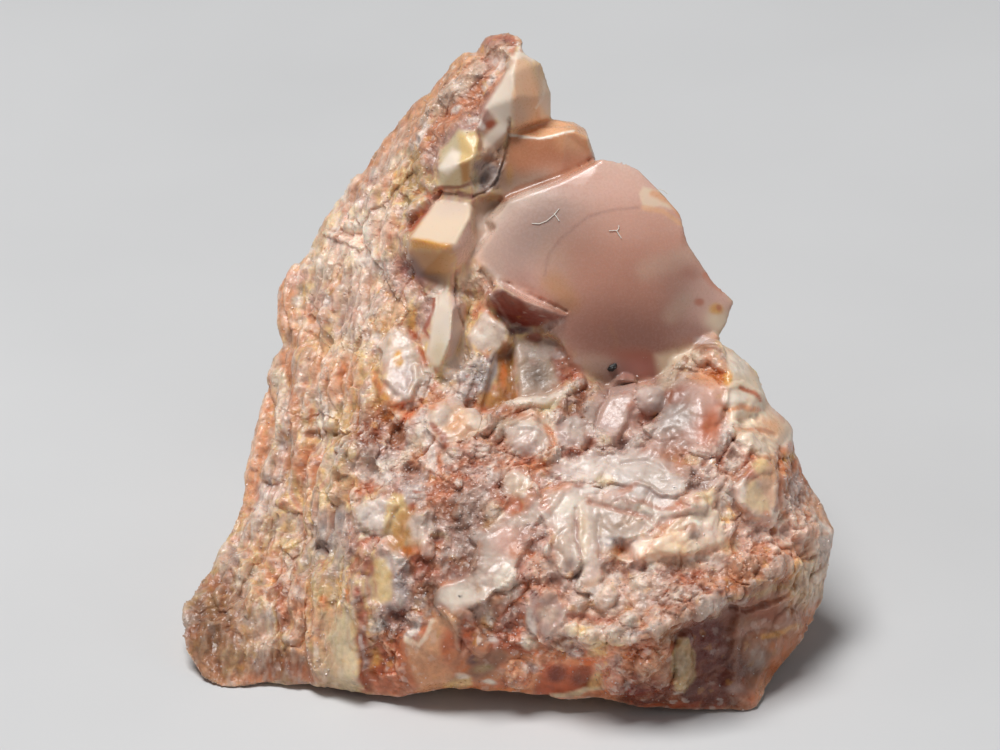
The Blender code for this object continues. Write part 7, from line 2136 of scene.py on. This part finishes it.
def glint_material():
    """Tiny bright flats of the grains."""
    glints = Surface("glints")
    glints.put(glints.stored("tint", "Color"), glints.sockets["Base Color"])
    glints.put(glints.mapped(glints.noise(0.1, 2.0), 0.10, 0.35), glints.sockets["Roughness"])
    glints.put(1.5, glints.sockets["IOR"])
    return glints.material


def plain_material(name, colour, roughness, grain):
    """One colour with a slight unevenness grain mm across."""
    plain = Surface(name)
    shade = plain.mapped(plain.noise(grain), 0.85, 1.15)
    plain.put(plain.scaled(colour, shade), plain.sockets["Base Color"])
    plain.put(roughness, plain.sockets["Roughness"])
    return plain.material


def riding(name, mesh, material):
    """An object of this mesh that rides on the stone's body."""
    obj = placed(name, mesh)
    mesh.materials.append(material)
    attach(obj, "root")
    return obj


def put_tint(mesh, tint):
    """Stores one opaque colour for each corner point of the mesh."""
    put_attribute(mesh, "tint", np.column_stack([tint, np.ones(len(tint))]), "FLOAT_COLOR")


def skin(name, points, triangles, looks, material):
    """One piece of the stone's skin, made of some of its triangles."""
    used, corners = np.unique(triangles, return_inverse=True)
    mesh = mesh_from(name, points[used].tolist(), corners.reshape(-1, 3).tolist())
    put_tint(mesh, looks["tint"][used])
    for key in ("gloss", "clear", "rough"):
        put_attribute(mesh, key, looks[key][used])
    mesh.polygons.foreach_set("use_smooth", looks["rough"][triangles].mean(axis=1) < FLAT_FROM)
    mesh.update()
    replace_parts(riding(name, mesh, material), NODE_NAME)


def shaped_stone():
    """The stone as one fine mesh, standing in the row frame."""
    carved = evened(remeshed(rough_block()))
    front = carve(carved)
    return stand(thinned(carved, front))


def make_stone():
    """The whole stone, its skin laid out in four pieces that meet edge to edge."""
    whole = shaped_stone()
    points = points_of(whole)
    face = row_to_face(points)
    display, calm = attribute_of(whole, "display"), attribute_of(whole, "calm")
    relief, fold = attribute_of(whole, "relief"), attribute_of(whole, "fold")
    colour = paint(face, display, calm, relief, fold, crests(whole))
    looks = {"tint": colour[:, :3], "gloss": colour[:, 3], "clear": colour[:, 4], "rough": 1.0 - calm}
    triangles = read(whole.loops, "vertex_index", len(whole.loops) // 3, 3, np.int32)
    middle = face[triangles].mean(axis=1)
    shown = display[triangles].mean(axis=1) > 0.5
    left = middle[:, 0] < LEFT_PART
    upper = middle[:, 1] > UPPER_PART
    regions = {
        "left_flank": shown & left,
        "upper_blocks": shown & ~left & upper,
        "lower_crust": shown & ~left & ~upper,
        "back": ~shown,
    }
    material = stone_material()
    for name, chosen in regions.items():
        skin(name, points, triangles[chosen], looks, material)
    return points, triangles, face, display, looks


def glint_places(stone, count, seed):
    """Random points of the rough places: (points in mm, normals, colours)."""
    points, triangles, face, display, looks = stone
    wanted = 0.5 * sugar(face[:, :2], display) + looks["rough"] * (0.15 + 0.25 * display)
    a, b, c = (points[triangles[:, i]] for i in range(3))
    normal = np.cross(b - a, c - a)
    size = np.linalg.norm(normal, axis=1)
    weight = size * wanted[triangles].mean(axis=1) ** 2
    chance = np.random.default_rng(seed)
    chosen = chance.choice(len(triangles), count, p=weight / weight.sum())
    shares = chance.dirichlet((1.0, 1.0, 1.0), count)
    places = np.einsum("ij,ijk->ik", shares, points[triangles[chosen]])
    colours = looks["tint"][triangles[chosen]].mean(axis=1)
    return places / MM, normal[chosen] / size[chosen][:, None], colours


def make_glints(stone):
    """Sugary grains: small bipyramids half sunk in the stone, joined into one mesh."""
    places, normals, colours = glint_places(stone, GLINTS, seed=5)
    chance = np.random.default_rng(11)
    tips = np.array([(1, 0, 0), (0, 1, 0), (-1, 0, 0), (0, -1, 0), (0, 0, GLINT_TIP), (0, 0, -GLINT_TIP)])
    upper = [(i, (i + 1) % 4, 4) for i in range(4)]
    lower = [((i + 1) % 4, i, 5) for i in range(4)]
    turns = np.linalg.qr(chance.normal(size=(GLINTS, 3, 3)))[0]
    turns *= np.sign(np.linalg.det(turns))[:, None, None]
    low, high = GLINT_SIZE
    sizes = low + (high - low) * chance.random(GLINTS) ** 2
    corners = np.einsum("nij,kj->nki", turns, tips) * sizes[:, None, None]
    corners += (places + GLINT_RISE * sizes[:, None] * normals)[:, None, :]
    faces = np.array(upper + lower) + len(tips) * np.arange(GLINTS)[:, None, None]
    mesh = mesh_from("sugar_grains", (corners.reshape(-1, 3) * MM).tolist(), faces.reshape(-1, 3).tolist())
    pale = chance.random(GLINTS)[:, None] * 0.55 + 0.1
    put_tint(mesh, np.repeat(colours * (1.0 - pale) + pale * np.array(GLINT_PALE), len(tips), axis=0))
    riding("sugar_grains", mesh, glint_material())


def make_fibres():
    """Fine pale lint lying on the smooth pink break, as thin tubes in one mesh."""
    shape = bmesh.new()
    turns = [math.tau * k / FIBRE_SIDES for k in range(FIBRE_SIDES)]
    for run in FIBRES:
        path = [face_to_row(u, v, pink_depth(u, v) + 2.0 * FIBRE_RADIUS) for u, v in run]
        rings = []
        for i, centre in enumerate(path):
            along = (path[min(i + 1, len(path) - 1)] - path[max(i - 1, 0)]).normalized()
            across = along.cross(FIBRE_SIDEWAYS).normalized()
            up = along.cross(across)
            ring = [centre + FIBRE_RADIUS * MM * (math.cos(t) * across + math.sin(t) * up) for t in turns]
            rings.append([shape.verts.new(corner) for corner in ring])
        for low, high in zip(rings, rings[1:]):
            for k in range(FIBRE_SIDES):
                after = (k + 1) % FIBRE_SIDES
                shape.faces.new((low[k], low[after], high[after], high[k]))
        shape.faces.new(reversed(rings[0]))
        shape.faces.new(rings[-1])
    riding("lint", mesh_of("lint", shape), plain_material("lint", LINT_COLOUR, 0.6, 0.2))


def make_crumb():
    """The dark crumb stuck below the smooth pink break."""
    shape = bmesh.new()
    bmesh.ops.create_icosphere(shape, subdivisions=3, radius=1.0)
    centre = Vector((*CRUMB, pink_depth(*CRUMB) + 0.3 * CRUMB_SIZE[2]))
    turn = Matrix.Rotation(CRUMB_TURN, 3, "Z")
    for vertex in shape.verts:
        lump = 1.0 + 0.35 * noise.noise(vertex.co * 2.3)
        grown = turn @ Vector([c * lump * size for c, size in zip(vertex.co, CRUMB_SIZE)])
        vertex.co = face_to_row(*(centre + grown))
    riding("crumb", mesh_of("crumb", shape), plain_material("crumb", CRUMB_COLOUR, 0.5, 0.1))


def aimed(name, data, place, forward):
    """A light or camera at a place, facing forward with its top up."""
    obj = placed(name, data)
    obj.location = place
    obj.rotation_euler = forward.to_track_quat("-Z", "Y").to_euler()
    return obj


def make_floor():
    """A plain pale floor under the stone."""
    ends = (-FLOOR_HALF, FLOOR_HALF)
    corners = [(ends[x], ends[y], 0) for x, y in ((0, 0), (1, 0), (1, 1), (0, 1))]
    mesh = mesh_from("floor", corners, [(0, 1, 2, 3)])
    mesh.materials.append(plain_material("floor", FLOOR_COLOUR, 0.8, 40.0))
    placed("floor", mesh)


def make_lights():
    """Soft light from above and the left, a weak fill from the right, and a faint sky all round."""
    world = bpy.data.worlds.new("studio")
    world.use_nodes = True
    sky = world.node_tree.nodes["Background"].inputs
    sky["Color"].default_value, sky["Strength"].default_value = SKY
    bpy.context.scene.world = world
    for name, (place, size, power) in LIGHTS.items():
        light = bpy.data.lights.new(name, "AREA")
        light.size, light.energy = size, power
        aimed(name, light, place, Vector(LIT_POINT) - Vector(place))


def make_camera():
    """The camera, square to the display face."""
    camera = bpy.data.cameras.new("camera")
    camera.lens, camera.sensor_width = LENS, SENSOR
    camera.clip_start, camera.clip_end = 0.01, 10.0
    back = Vector((0.0, -math.cos(LEAN), math.sin(LEAN)))
    eye = aimed("camera", camera, face_to_row(*CAMERA_TARGET) + CAMERA_AWAY * back, -back)
    bpy.context.scene.camera = eye
    bpy.context.scene.view_settings.view_transform = "Standard"


noise.seed_set(CHIP_SEED)
stone = make_stone()
make_glints(stone)
make_fibres()
make_crumb()
make_floor()
make_lights()
make_camera()
